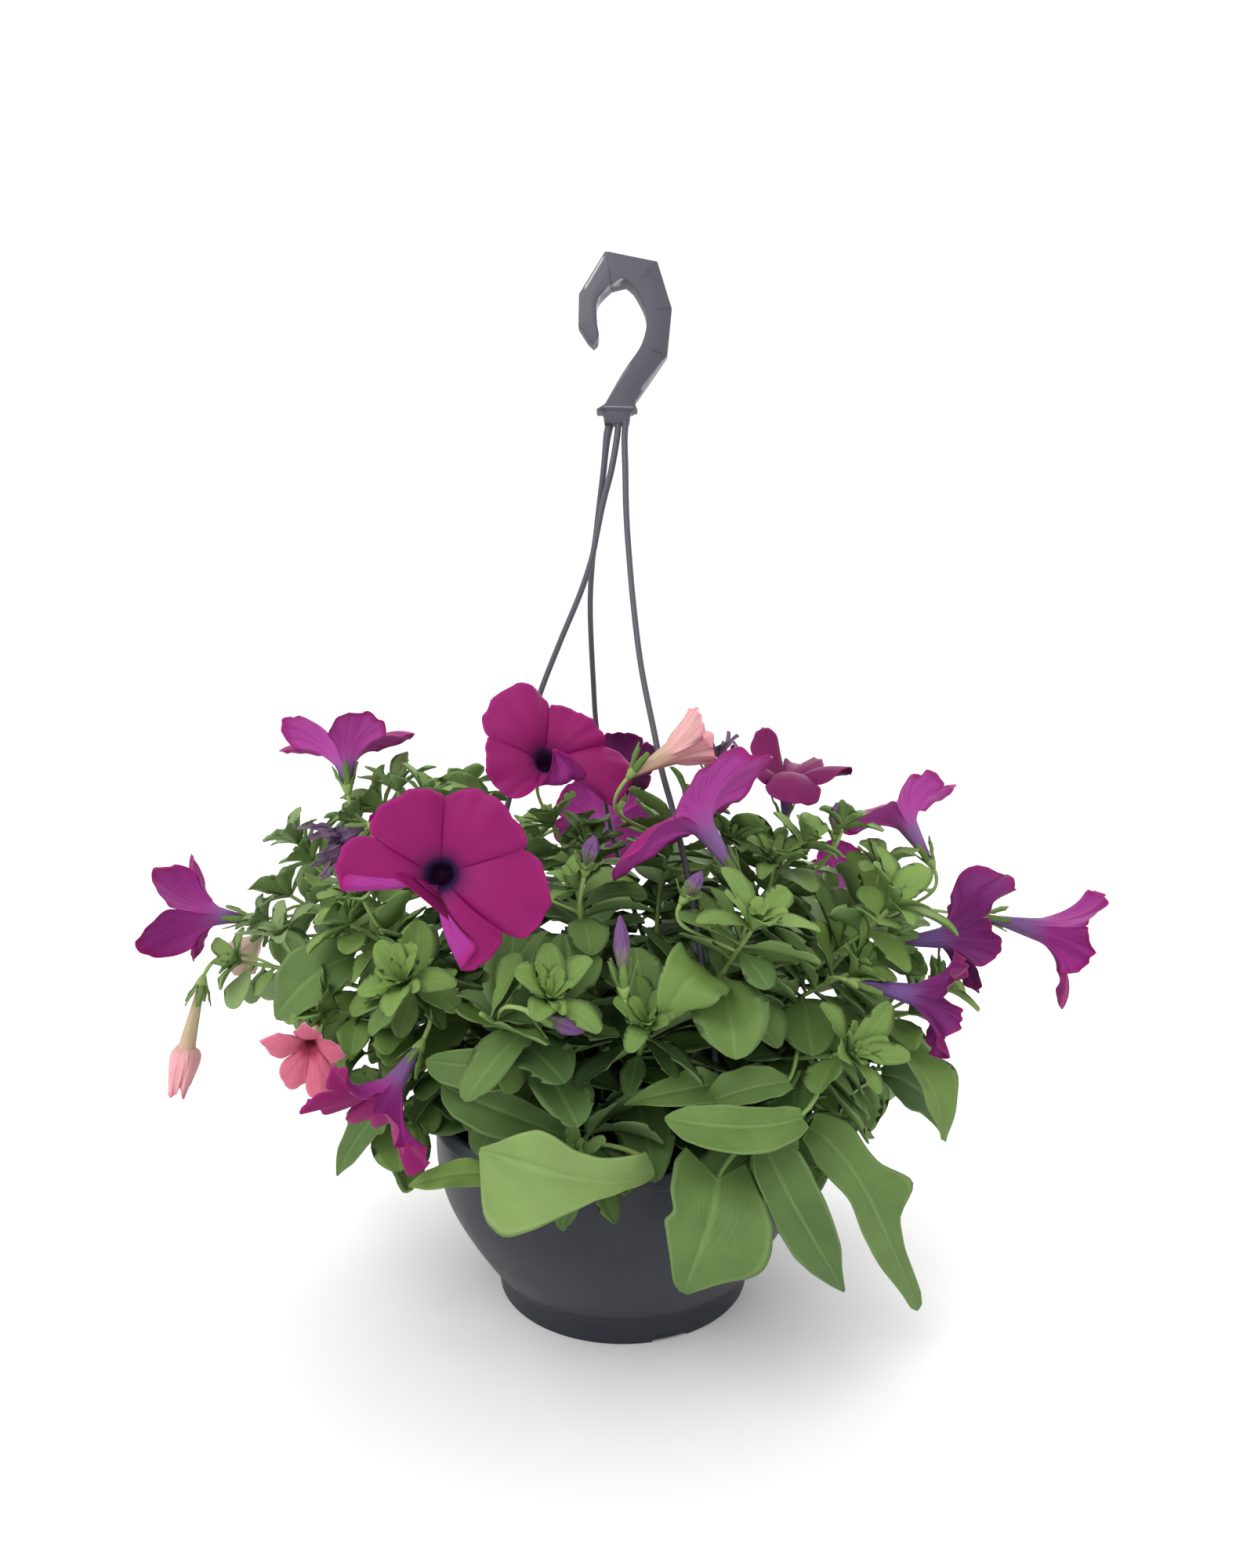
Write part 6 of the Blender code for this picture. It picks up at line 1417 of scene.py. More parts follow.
def limb_lines(flower, pose, angle, count):
    """Radius, height and lean of the limb at each step out from the throat and each angle.

    A line leaves the throat at the first angle and turns to its lobe's own angle. Radius and height are
    the running sums of its sines and cosines. Slits shorten it, and curls turn its end further.
    """
    weights = lobe_weights(angle)
    final = np.radians((weights * np.array(flower.lobes)).sum(axis=-1))
    notches = np.array(pose.notches or (flower.notch,) * LOBES)
    slit = notches[np.floor(angle / LOBE_STEP).astype(int) % LOBES]
    middle_of_lobe, between_lobes = np.cos(SLIT_WAVES * angle), np.sin(SLIT_WAVES * angle)
    open_part = 1 - np.abs(middle_of_lobe) ** (0.62 - 0.38 * slit)
    long = flower.limb * (weights * np.array(pose.long)).sum(axis=-1) * (1 - slit * open_part)
    long = long * (1 + pose.point * bell(between_lobes, 0.35))
    draw = np.random.default_rng(int(1e5 * abs(flower.foot[0] + flower.foot[2])))
    for waves, amount in ((9, 0.014), (17, 0.012), (31, 0.009)):
        long = long * (1 + amount * np.sin(waves * angle + draw.uniform(0, 6.28)))
    part = np.linspace(0, 1, count)[:, None]
    first = math.radians(pose.first)
    bend = first + (final - first) * (1 - (1 - part) ** pose.quick)
    for centre, wide, amount, start in pose.curls:
        near = np.clip(1.4 * (1 - np.abs(angle_past(angle, centre)) / math.radians(wide)), 0, 1)
        far = np.clip((part - start) / 0.3, 0, 1)
        bend = bend + math.radians(amount) * near * near * (3 - 2 * near) * far
    step = long / (count - 1)
    middle = (bend[1:] + bend[:-1]) / 2
    zero = np.zeros((1, len(angle)))
    radius = flower.throat + np.concatenate([zero, np.cumsum(np.sin(middle) * step, axis=0)])
    height = flower.tube + np.concatenate([zero, np.cumsum(np.cos(middle) * step, axis=0)])
    ripple = flower.ruffle * part**2 * np.sin(LOBES * angle + 7 * math.radians(flower.spin) + 2.2)
    ripple = ripple + flower.ruffle * 0.5 * part**3 * np.sin(13 * angle + draw.uniform(0, 6.28))
    ripple = ripple + flower.ruffle * 0.3 * part**4 * np.sin(23 * angle + draw.uniform(0, 6.28))
    ripple = ripple + 0.0020 * np.sin(math.pi * part**0.8) * (np.abs(middle_of_lobe) ** 0.5 - 0.7)
    ripple = ripple - 0.0008 * part * bell(between_lobes, 0.10)
    return radius - ripple * np.cos(bend), height + ripple * np.sin(bend), bend


def rolled_margins(pose, angle, radius, height, bend):
    """Folds each rolled margin round a small cylinder that lies along its line.

    At a distance s past the line the petal goes sin(ks)/k on and (1 - cos(ks))/k up out of its face,
    until it has turned by its full angle, and goes straight on from there.
    """
    angle = angle + 0 * radius
    part = np.linspace(0, 1, len(radius))[:, None]
    for line, side, wide, tight, start, end, full in pose.rolls:
        past = side * angle_past(angle, line)
        inside = (past > 0) & (past < math.radians(wide))
        share = np.clip(np.minimum((part - start) / 0.25, (end - part) / 0.14), 0.01, 1)
        full = math.radians(full) * share
        far = radius * past
        turn = np.minimum(tight * far, full)
        beyond = far - turn / tight
        shift = (np.sin(turn) / tight + beyond * np.cos(full) - far) / radius
        up = (1 - np.cos(turn)) / tight + beyond * np.sin(full)
        angle = np.where(inside, angle + side * shift, angle)
        radius = np.where(inside, radius - up * np.cos(bend), radius)
        height = np.where(inside, height + up * np.sin(bend), height)
    return angle, radius, height


def add_corolla(skin, flower, sides, pose=Pose()):
    """The trumpet: its tube widens to the throat, and its limb follows the lines out and back.

    The two faces stand half a petal's thickness on either side of its middle, along its normals.
    """
    angle = lobed_angles(sides)
    up = np.linspace(0, 1, TUBE_STEPS + 1)[:-1, None]
    tube_radius = FOOT_RADIUS + (flower.throat - FOOT_RADIUS) * up**1.25
    tube_radius = tube_radius * (1 + 0.05 * np.sin(math.pi * up) * np.cos(LOBES * angle))
    tube_height = CUP_HEIGHT + (flower.tube - CUP_HEIGHT) * up + 0 * angle
    tube = flower_points(flower, tube_radius, tube_height, angle + 0 * tube_radius)
    part = np.linspace(0, 1, LIMB_STEPS)
    limb_radius, limb_height, bend = limb_lines(flower, pose, angle, LIMB_STEPS)
    limb_angle, limb_radius, limb_height = rolled_margins(pose, angle, limb_radius, limb_height, bend)
    swing = (lobe_weights(limb_angle) * np.radians(pose.swings)).sum(axis=-1)
    limb = flower_points(flower, limb_radius, limb_height, limb_angle + swing * part[:, None] ** 0.5)
    sheet = np.concatenate([tube, limb])
    round_way = np.roll(sheet, -1, axis=1) - np.roll(sheet, 1, axis=1)
    out_way = np.gradient(sheet, axis=0)
    face = np.cross(out_way, round_way)
    face /= np.linalg.norm(face, axis=-1, keepdims=True) + 1e-12
    along = np.concatenate([(up - 1)[:, 0], part])
    half = HALF_PETAL * np.sqrt(np.clip(1.02 - np.clip(along, 0, 1) ** 8, 0, 1))[:, None, None]
    back_down = slice(None, DEEP_ROW - 1, -1)
    rings = np.concatenate([sheet - face * half, (sheet + face * half)[back_down]])
    marks = np.zeros((*rings.shape[:2], 4))
    marks[..., 0], marks[..., 1] = np.cos(angle), np.sin(angle)
    marks[..., 2] = np.concatenate([along, along[back_down]])[:, None]
    marks[len(along) :, :, 3] = 1
    low, high = CUP_HEIGHT - 0.0006, tube_height[DEEP_ROW, 0] - 0.001
    skin.add(rings, marks, *flower_points(flower, np.zeros(2), np.array([low, high]), np.zeros(2)))


def petal_finish(name, face, throat, edge, under, tube, vein, vein_share):
    """A petal: its face darkens into the throat, fine veins run out from it, and its back is paler.

    The face, the throat, the edge, the underside, the tube and the veins each have a colour.
    """
    petal = Finish(name, 0.62, Specular_IOR_Level=0.2)
    across_x, across_y, part, inner = petal.marks()
    stretched = {0: across_x * 9.0, 1: across_y * 9.0, 2: part * 0.8}
    streak = petal.noise(1.0, 3.0, petal.node("ShaderNodeCombineXYZ", None, stretched))
    line = (1.0 - (streak - 0.5).size() * 16.0).clamped()
    cloud = petal.noise(35.0, 3.0)
    on_face = petal.ramp(part, [
        (0.0, throat), (0.06, throat), (0.13, vein), (0.30, face), (0.93, face), (1.0, edge),
    ])
    on_back = petal.ramp(part * 0.5 + 0.5, [
        (0.0, tube), (0.40, tube), (0.62, under), (0.92, under), (1.0, edge),
    ])
    on_face = petal.mix(line * vein_share * (1.0 - part * 0.7).clamped(), on_face, (*vein, 1))
    on_back = petal.mix(line * (vein_share * 1.3), on_back, (*vein, 1))
    colour = petal.mix(inner, on_back, on_face)
    light = tuple(min(1.0, 1.25 * value + 0.01) for value in face)
    colour = petal.mix((cloud * 1.8 - 0.75).clamped() * 0.5 * inner, colour, (*light, 1))
    petal.coloured(colour)
    petal.embossed(streak * 0.8 + petal.noise(800.0, 2.0) * 0.25, 0.35, 0.0005)
    return petal


magenta = petal_finish(
    "magenta_petal", (0.205, 0.0015, 0.090), (0.022, 0.008, 0.050), (0.28, 0.006, 0.135),
    (0.29, 0.024, 0.215), (0.17, 0.09, 0.24), (0.13, 0.006, 0.075), 0.30,
)
# A darker copy of the magenta petal, which paints shade onto the blooms that lie in shade.
painted_shade_magenta = petal_finish(
    "dusky_petal", (0.14, 0.002, 0.068), (0.018, 0.007, 0.040), (0.20, 0.007, 0.11), (0.155, 0.016, 0.13),
    (0.13, 0.07, 0.22), (0.07, 0.005, 0.05), 0.35,
)
# A brighter copy of the magenta petal, which paints light onto the blooms that lie in light.
sunlit = petal_finish(
    "sunlit_petal", (0.235, 0.003, 0.115), (0.022, 0.008, 0.050), (0.34, 0.010, 0.17), (0.46, 0.060, 0.36),
    (0.24, 0.13, 0.32), (0.20, 0.012, 0.13), 0.30,
)
# How each bloom is turned and opened, where it differs from its solid's plain trumpet.
TURNED = {
    "bloom_front_left": dict(lobes=(95, 90, 90, 98, 99), limb=0.043, tube=0.036, ruffle=0.0018),
    "bloom_top": dict(spin=58, lobes=(92, 98, 99, 94, 98), limb=0.041, ruffle=0.0018),
    "bloom_top_left": dict(spin=-4, tube=0.016, lobes=(80, 84, 116, 84, 118), limb=0.042),
    "bloom_left": dict(spin=50, lobes=(70, 92, 84, 112, 76), limb=0.041, tube=0.020),
    "bloom_centre_right": dict(
        aim=(-0.54, 0.25, 0.80), spin=40, lobes=(88, 100, 100, 92, 116), limb=0.050, tube=0.033
    ),
    "bloom_back_right": dict(aim=(0.05, 0.05, 1.0), spin=-147, lobes=(98, 70, 24, 94, 150)),
    "bloom_right": dict(aim=(-0.44, 0.28, 0.85), spin=50, lobes=(84, 122, 90, 90, 104), limb=0.041),
    "bloom_right_low": dict(lobes=(76, 98, 58, 96, 70), limb=0.036),
    "bloom_far_right": dict(
        aim=(0.88, -0.40, -0.18), spin=46, lobes=(76, 72, 58, 120, 74), limb=0.044, throat=0.0070,
        tube=0.034,
    ),
    "bloom_lower_right": dict(
        aim=(0.93, -0.26, -0.15), lobes=(64, 84, 52, 96, 60), limb=0.032, ruffle=0.0042
    ),
    "bloom_lower_left": dict(
        aim=(-0.44, -0.58, -0.68), lobes=(70, 104, 62, 98, 76), limb=0.040, ruffle=0.0044
    ),
}
POSES = {
    "bloom_front_left": Pose(
        30, 2.6, (0.92, 0.88, 0.98, 0.96, 1.12), (0.20, 0.26, 0.90, 0.46, 0.18), (0, -4, -20, 25, -2),
        rolls=((153, 1, 32, 800, 0.10, 1.3, 168), (206, -1, 30, 800, 0.0, 1.3, 168)),
    ),
    "bloom_top": Pose(
        30, 2.0, (0.80, 1.12, 0.80, 1.05, 1.16), (0.28, 0.18, 0.42, 0.45, 0.22), (-8, -8, -4, 22, -8),
        curls=((216, 50, -168, 0.34),),
    ),
    "bloom_top_left": Pose(20, 1.0, (1.0, 0.96, 1.0, 0.95, 1.0), (0.40, 0.34, 0.42, 0.36, 0.40)),
    "bloom_left": Pose(18, 1.0, (1.05, 1.0, 0.85, 0.66, 1.12), (0.42, 0.5, 0.4, 0.5, 0.40), point=0.12),
    "bloom_centre_right": Pose(
        26, 2.2, (1.02, 1.02, 0.9, 0.9, 1.2), (0.06, 0.25, 0.3, 0.5, 0.36), (4, 0, 0, 0, -10)
    ),
    "bloom_back_right": Pose(22, 2.0, (1.0, 0.9, 1.08, 0.95, 1.2), (0.62, 0.55, 0.6, 0.65, 0.6)),
    "bloom_right": Pose(22, 1.3, (0.92, 0.9, 0.9, 1.02, 1.05), (0.25, 0.35, 0.35, 0.3, 0.2)),
    "bloom_right_low": Pose(
        20, 1.2, (0.9, 1.36, 0.8, 0.9, 0.9), (0.45, 0.4, 0.4, 0.5, 0.4), curls=((72, 30, -70, 0.5),)
    ),
    "bloom_far_right": Pose(14, 0.85, (0.95, 0.92, 0.78, 1.05, 0.95), (0.22, 0.2, 0.3, 0.35, 0.2)),
    "bloom_lower_right": Pose(18, 1.0, (0.95, 0.9, 0.8, 0.95, 0.85), (0.35, 0.4, 0.35, 0.4, 0.35)),
    "bloom_lower_left": Pose(22, 1.1, (0.95, 0.9, 1.0, 0.85, 1.0), (0.4, 0.45, 0.4, 0.5, 0.4)),
}
# Blooms painted in shade with the darker copy, and blooms painted in light with the brighter one.
PAINTED_SHADE_BLOOMS = ("bloom_back_right", "bloom_right_low", "bloom_lower_right", "bloom_top_behind")
SUNLIT = ("bloom_centre_right", "bloom_top_left", "bloom_right")
petals = {**dict.fromkeys(PAINTED_SHADE_BLOOMS, painted_shade_magenta), **dict.fromkeys(SUNLIT, sunlit)}
for name, flower in FLOWERS.items():
    bloom_skin = Skin()
    turned_bloom = flower._replace(**TURNED.get(name, {}))
    add_corolla(bloom_skin, turned_bloom, BLOOM_SIDES, POSES.get(name, Pose()))
    bloom_skin.piece(name + "_petals", petals.get(name, magenta), "magenta_petal", [name])


# Faded blooms: older flowers of the same shape, shrunk and gone pink, peach and tan. One is still open,
# and the others are closing.

FADED_SIDES = 110
# The colours of each one's face, throat, edge, underside, tube and veins.
FADED_COLOURS = {
    "faded_bloom_peach": (
        (0.70, 0.33, 0.36), (0.45, 0.30, 0.22), (0.75, 0.30, 0.38), (0.70, 0.38, 0.38),
        (0.48, 0.36, 0.25), (0.45, 0.22, 0.18),
    ),
    "faded_bloom_star": (
        (0.54, 0.125, 0.20), (0.30, 0.04, 0.08), (0.66, 0.27, 0.35), (0.60, 0.24, 0.30),
        (0.70, 0.55, 0.36), (0.36, 0.03, 0.07),
    ),
    "faded_bloom_hanging": (
        (0.72, 0.22, 0.30), (0.60, 0.40, 0.30), (0.75, 0.22, 0.32), (0.74, 0.36, 0.38),
        (0.42, 0.38, 0.22), (0.50, 0.16, 0.20),
    ),
    "faded_bloom_pale": (
        (0.74, 0.46, 0.40), (0.60, 0.45, 0.34), (0.75, 0.45, 0.42), (0.76, 0.55, 0.46),
        (0.60, 0.50, 0.36), (0.55, 0.32, 0.26),
    ),
}
FADED_TURNED = {
    "faded_bloom_peach": dict(
        aim=(0.86, -0.10, 0.46), tube=0.026, throat=0.0064, limb=0.026, lobes=(38, 24, 46, 28, 36)
    ),
    "faded_bloom_star": dict(
        aim=(0.16, -0.94, -0.30), tube=0.019, throat=0.0032, limb=0.0205, lobes=(76, 66, 92, 92, 90)
    ),
    "faded_bloom_hanging": dict(throat=0.0048, lobes=(-14, -22, -8, -16, -12), limb=0.033),
}
FADED_POSES = {
    "faded_bloom_peach": Pose(22, 1.0, (1.1, 0.9, 1.15, 0.9, 1.0), (0.25, 0.3, 0.25, 0.35, 0.25)),
    "faded_bloom_star": Pose(
        24, 1.8, (0.80, 0.85, 1.0, 1.05, 1.35), (0.72, 0.70, 0.74, 0.70, 0.72), (-24, 0, 0, 10, -20), 0.2
    ),
    "faded_bloom_hanging": Pose(70, 4.0, (1.0, 0.85, 1.05, 0.9, 1.0), (0.35, 0.4, 0.3, 0.4, 0.35)),
}
for name, flower in FADED.items():
    faded = petal_finish(name + "_petal", *FADED_COLOURS[name], 0.5)
    faded_skin = Skin()
    turned_bloom = flower._replace(**FADED_TURNED.get(name, {}))
    add_corolla(faded_skin, turned_bloom, FADED_SIDES, FADED_POSES.get(name, Pose()))
    faded_skin.piece(name + "_petals", faded, "pink_petal", [name])


# Buds and withered blooms: furled, pleated spindles that twist towards their point. A withered one is
# crumpled and nearly black, and ends in shreds of its limb.

SPINDLE_STEPS = 33
SPINDLE_SIDES = 40
SHREDS = 11


def add_spindle(skin, flower, pleats, crumple):
    """A spindle: radius swells from the tube to the bud's widest part and closes, with twisted pleats."""
    angle = whole_turn(SPINDLE_SIDES)
    long = flower.tube + flower.limb
    part = np.linspace(0, 1, SPINDLE_STEPS + 1)[:-1, None]
    height = CUP_HEIGHT + (long - CUP_HEIGHT) * part + 0 * angle
    heights = [CUP_HEIGHT, 0.45 * flower.tube, flower.tube, flower.tube + 0.55 * flower.limb, long]
    radii = [FOOT_RADIUS, 0.4 * flower.throat, flower.throat, 0.72 * flower.throat, 0.0004]
    swell = np.interp(height[:, 0], heights, radii)
    swell = np.convolve(np.pad(swell, 2, mode="edge"), [0.1, 0.2, 0.4, 0.2, 0.1], "valid")[:, None]
    twist = 25 * height
    radius = swell * (1 - pleats * (0.5 - 0.5 * np.cos(LOBES * (angle + twist * 1.5))) ** 0.7)
    turned_angle = angle + twist
    places = np.stack([20 * radius, height, 0.002 * turned_angle], axis=-1)
    radius = radius * (1 + crumple * ripples(places, 0.006, 8))
    rings = flower_points(flower, radius, height, turned_angle)
    marks = np.zeros((*radius.shape, 4))
    marks[..., 0], marks[..., 1] = np.cos(angle), np.sin(angle)
    marks[..., 2] = 2 * part - 1
    ends = flower_points(flower, np.zeros(2), np.array([CUP_HEIGHT - 0.0006, long]), np.zeros(2))
    skin.add(rings, marks, *ends)


dark = petal_finish(
    "withered_petal", (0.05, 0.02, 0.07), (0.02, 0.01, 0.03), (0.03, 0.015, 0.04), (0.045, 0.02, 0.06),
    (0.16, 0.10, 0.17), (0.012, 0.006, 0.02), 0.6,
)
violet = petal_finish(
    "bud_petal", (0.20, 0.09, 0.24), (0.05, 0.02, 0.08), (0.16, 0.06, 0.18), (0.16, 0.075, 0.20),
    (0.20, 0.19, 0.14), (0.05, 0.02, 0.08), 0.6,
)


def add_shreds(skin, flower, label):
    """Torn strips of limb that stick out of a withered bloom's end and curl away."""
    long = flower.tube + flower.limb
    for k in range(SHREDS):
        draw = drawing(label, "shred", k)
        turn = 0.57 * k + draw.uniform(-0.3, 0.3)
        reach = flower.throat * draw.uniform(1.3, 2.1)
        radii = np.array([0.25 * flower.throat, 0.9 * reach, reach])
        heights = long * np.array([0.62, draw.uniform(0.9, 1.1), draw.uniform(0.95, 1.45)])
        line = flower_points(flower, radii, heights, np.array([turn, turn, turn + draw.uniform(-0.7, 0.7)]))
        widths = swelling(SMALL_ROWS, 0.0, draw.uniform(0.0014, 0.0028), 0.8)
        level = way_round(flower, turn)
        blade(skin, line, level, widths, SMALL_ROWS, 5, 0.7, 0.0012, draw.uniform(0, 6), 0.0, 1.2, 0.0003)
        skin.marks[-1][:] = (1.0, 0.0, -0.4, 0.0)


for name, flower in BUDS.items():
    bud_skin = Skin()
    withered = name.startswith("withered")
    add_spindle(bud_skin, flower, 0.45 if withered else 0.3, 0.16 if withered else 0.05)
    if withered:
        add_shreds(bud_skin, flower, name)
    bud_skin.piece(name + "_furled", dark if withered else violet, "purple_bud", [name])


# More leaves: the mound is thick with them, so every shoot and twig carries smaller ones between its
# main leaves. Each is drawn by the same rule and stands only where it touches nothing that stands.

STRIP_ROWS = 6
MORE_LEAVES = {STEM_POINTS: 28, TWIG_POINTS: 14}
MORE_TRIES = 16
LOWEST_TIP = 0.062
FRONT = np.array([0.0, -0.55, 0.31])


def blocks_a_mouth(leaf):
    """Would the leaf stand in front of a flower's mouth, seen along its aim or from the front?"""
    points = np.array([leaf.knee, (leaf.knee + leaf.tip) / 2, leaf.tip])
    for flower in [*FLOWERS.values(), *FADED.values()]:
        mouth = np.asarray(flower.foot) + unit(flower.aim) * (flower.tube + 0.3 * flower.limb)
        views = [(unit(flower.aim), 0.07)]
        if mouth[1] < 0.03:
            views.append((unit(FRONT - mouth), 0.3))
        for way, reach in views:
            from_mouth = points - mouth
            ahead = from_mouth @ way
            aside = np.linalg.norm(from_mouth - ahead[:, None] * way, axis=1)
            mouth_radius = (flower.throat + 0.8 * flower.limb) * 0.85
            if np.any((ahead > 0.002) & (ahead < reach) & (aside < mouth_radius)):
                return True
    return False


class Room:
    """What stands where: each mesh's owner, its search tree and the corners of its box."""

    def __init__(self):
        self.trees, self.low, self.high = [], np.zeros((0, 3)), np.zeros((0, 3))

    def add(self, owner, points, faces):
        """Stands a mesh in the room for its owner."""
        self.trees.append((owner, BVHTree.FromPolygons(points.tolist(), faces)))
        self.low = np.vstack([self.low, points.min(axis=0)])
        self.high = np.vstack([self.high, points.max(axis=0)])

    def touched(self, points, faces, without=None, only=None):
        """Does this strip touch what stands: all but what one owner has, or only what one owner has?"""
        near = np.all((self.low <= points.max(axis=0)) & (self.high >= points.min(axis=0)), axis=1)
        tree = None
        for number in np.flatnonzero(near):
            owner, other = self.trees[number]
            if owner == without or (only and owner != only):
                continue
            tree = tree or BVHTree.FromPolygons(points.tolist(), faces)
            if tree.overlap(other):
                return True
        return False


def leaf_strip(leaf, first):
    """A leaf's blade as a strip of three columns, from a part of its length on, for tests of room."""
    probe = Skin()
    add_leaf(probe, leaf, np.linspace(first, 0.97, STRIP_ROWS), 3, 0.0)
    points = probe.points[0][:-2].reshape(STRIP_ROWS, 4, 3)[:, :3].reshape(-1, 3)
    corners = [3 * k + j for k in range(STRIP_ROWS - 1) for j in range(2)]
    return points, [(corner, corner + 1, corner + 4, corner + 3) for corner in corners]


room = Room()
for piece in list(bpy.context.scene.objects):
    if piece.type == "MESH" and "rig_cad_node" not in piece:
        faces = [tuple(face.vertices) for face in piece.data.polygons]
        room.add(piece.name.removesuffix("_grown"), mesh_corners(piece.data), faces)


def roomy_leaf(name, key, runs, length, number):
    """The first leaf drawn for this place on a stem that has room, and the source that drew it.

    It hangs no lower than the lowest tip, blocks no mouth and clears all that stands. Its own shoot
    may touch it near its root only.
    """
    for attempt in range(MORE_TRIES):
        draw = drawing(key, "more", number, attempt)
        part = 0.10 + 0.86 * (number + draw.random()) / MORE_LEAVES[runs]
        size = length * (1.25 - 0.5 * part) * draw.uniform(0.66, 1.1) * (1 - 0.025 * attempt)
        leaf = drawn_leaf(axes[key], runs, min(part, 0.97), number + attempt, size, draw)
        leaf = leaf._replace(width=leaf.width * 1.12, swell=draw.uniform(0.9, 1.35))
        if leaf.tip[2] < LOWEST_TIP or blocks_a_mouth(leaf):
            continue
        if room.touched(*leaf_strip(leaf, 0.06), without=name):
            continue
        if not room.touched(*leaf_strip(leaf, 0.24), only=name):
            return leaf, draw
    return None, None


def add_side_tuft(skin, name, place, aim, long):
    """A rosette on a short stem of its own, which leaves its shoot most of the way along."""
    draw = drawing(name, place)
    openings = (0.9, 0.5, 1.1, 0.7, 0.95)
    tuft = Tuft(np.array(place), unit(aim), draw.uniform(0, LOBE_STEP), long, openings, 0.2)
    start = on_stem(axes[name], 0.78)
    middle = tuft.place - tuft.aim * 0.45 * np.linalg.norm(tuft.place - start)
    stalk = [start, (start + middle) / 2, middle, tuft.place]
    add_stem(skin, stalk, TIP_RADIUS, TWIG_ROOT_RADIUS, 9, 7, 0.8)
    add_tuft(skin, tuft, 1.3 * tone_at(place, draw), draw)


# Side shoots too short to be twigs: the shoot that each leaves, its end, its aim and its leaves' length.
SIDE_TUFTS = (
    ("shoot_left_top", (-0.136, -0.030, 0.304), (-0.1, -0.1, 1), 0.027),
    ("shoot_left_top", (-0.116, -0.040, 0.298), (0.2, -0.2, 1), 0.027),
    ("shoot_left_top", (-0.160, -0.028, 0.284), (-0.6, -0.1, 0.8), 0.024),
    ("shoot_left_upper", (-0.196, -0.030, 0.272), (-0.5, -0.1, 0.9), 0.024),
    ("shoot_left_outer", (-0.222, -0.012, 0.222), (-0.6, -0.2, 0.6), 0.024),
    ("shoot_left_trailing", (-0.205, -0.030, 0.215), (-0.3, -0.4, 0.9), 0.026),
    ("shoot_left_front", (-0.140, -0.085, 0.245), (-0.3, -0.4, 0.9), 0.028),
    ("shoot_left_lower", (-0.150, -0.052, 0.152), (-0.6, -0.4, 0.2), 0.034),
    ("shoot_left_lower", (-0.128, -0.064, 0.138), (-0.4, -0.6, 0.2), 0.034),
    ("shoot_centre", (-0.020, -0.040, 0.268), (0.1, -0.3, 1), 0.030),
    ("shoot_centre_right", (0.062, -0.040, 0.272), (0.3, -0.3, 1), 0.028),
    ("shoot_right_top", (0.128, -0.050, 0.282), (0.3, -0.1, 1), 0.026),
    ("shoot_right_top", (0.084, -0.070, 0.262), (0.0, -0.4, 1), 0.028),
    ("shoot_right_upper", (0.150, -0.045, 0.258), (0.1, -0.3, 1), 0.028),
    ("shoot_right_outer", (0.178, -0.050, 0.190), (0.6, -0.3, 0.5), 0.030),
)

for name, shoot in SHOOTS.items():
    extra_skin = Skin()
    own = [(name, STEM_POINTS, shoot.length)]
    own += [(k, TWIG_POINTS, twig.length) for k, twig in enumerate(TWIGS) if twig.shoot == name]
    for key, runs, length in own:
        for number in range(MORE_LEAVES[runs]):
            leaf, draw = roomy_leaf(name, key, runs, length, number)
            if leaf:
                tone = tone_at(leaf.tip, draw)
                add_leaf(extra_skin, leaf, SMALL_ROWS, SMALL_COLUMNS, tone, draw.uniform(-0.5, 0.5))
                room.add(name, *leaf_strip(leaf, 0.1))
    for owner, place, aim, long in SIDE_TUFTS:
        if owner == name:
            add_side_tuft(extra_skin, name, place, aim, long)
    if extra_skin.count:
        extra_skin.piece(name + "_more_leaves", leaf_green, "leaf_green")


# Floor, light and camera: a pale floor that curves up into a white backdrop, a wide soft light above
# the front left, a weaker one behind, and a level camera just over half a metre in front.

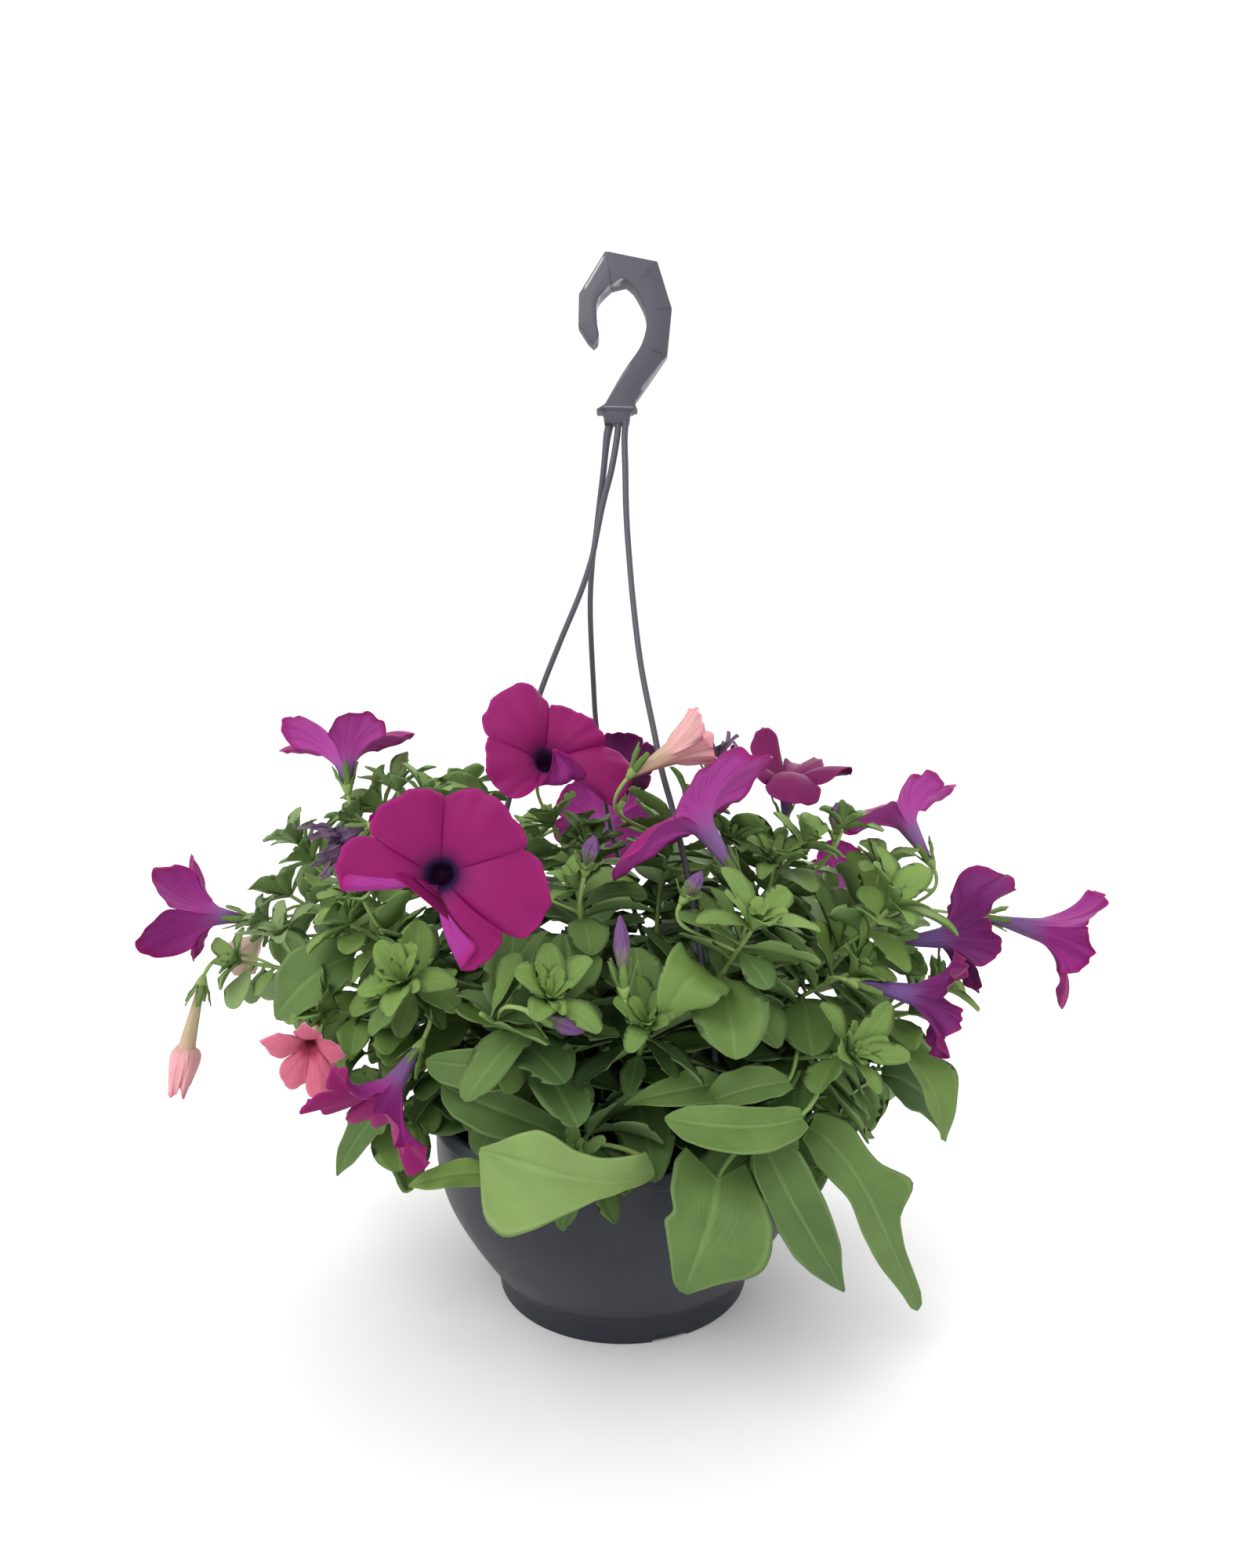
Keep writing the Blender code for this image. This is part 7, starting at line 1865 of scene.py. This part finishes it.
floor_finish = Finish("pale_floor", 0.9, Specular_IOR_Level=0.1)
pale = floor_finish.mix(floor_finish.noise(3.0), (0.92, 0.92, 0.92, 1), (0.94, 0.94, 0.94, 1))
floor_finish.coloured(pale)
backdrop = arc((1.2, 1.6), 1.6, -86, 0, 36)
sweep = np.concatenate([[(-3.0, 0.0), (0.8, 0.0)], backdrop, [(2.8, 2.6), (2.8, 4.5)]])
across_floor = np.linspace(-4, 4, 9)
grid = np.stack(np.broadcast_arrays(across_floor[None], sweep[:, :1], sweep[:, 1:]), axis=-1)
corner = np.arange(len(sweep) * len(across_floor)).reshape(grid.shape[:2])
faces = np.stack([corner[:-1, :-1], corner[:-1, 1:], corner[1:, 1:], corner[1:, :-1]], axis=-1).reshape(-1, 4)
floor_mesh = bpy.data.meshes.new("floor")
floor_mesh.from_pydata(grid.reshape(-1, 3).tolist(), [], faces.tolist())
floor_mesh.shade_smooth()
floor_mesh.materials.append(floor_finish.material)
floor = bpy.data.objects.new("floor", floor_mesh)
bpy.context.scene.collection.objects.link(floor)

world = bpy.data.worlds.new("studio")
world.use_nodes = True
world.node_tree.nodes["Background"].inputs["Color"].default_value = (1, 1, 1, 1)
world.node_tree.nodes["Background"].inputs["Strength"].default_value = 1.15
bpy.context.scene.world = world


def soft_light(name, place, target, size, watts):
    """A round area light at a place, turned to face its target."""
    lamp = bpy.data.lights.new(name, "AREA")
    lamp.shape, lamp.size, lamp.energy = "DISK", size, watts
    made = bpy.data.objects.new(name, lamp)
    made.location = place
    way = np.asarray(target, float) - place
    made.rotation_euler = (
        math.atan2(math.hypot(way[0], way[1]), -way[2]), 0, math.atan2(-way[0], way[1]),
    )
    bpy.context.scene.collection.objects.link(made)


soft_light("key", (-0.7, -1.1, 1.5), (0, 0, 0.2), 1.2, 14)
soft_light("back", (0.5, 1.2, 1.3), (0, 0, 0.2), 1.4, 12)

lens = bpy.data.cameras.new("camera")
lens.lens, lens.sensor_width, lens.sensor_fit = 19.8, 36, "AUTO"
lens.clip_start, lens.clip_end = 0.01, 20
camera = bpy.data.objects.new("camera", lens)
camera.location = (0.0025, -0.55, 0.3075)
camera.rotation_euler = (math.pi / 2, 0, 0)
bpy.context.scene.collection.objects.link(camera)
bpy.context.scene.camera = camera
bpy.context.scene.view_settings.view_transform = "Standard"
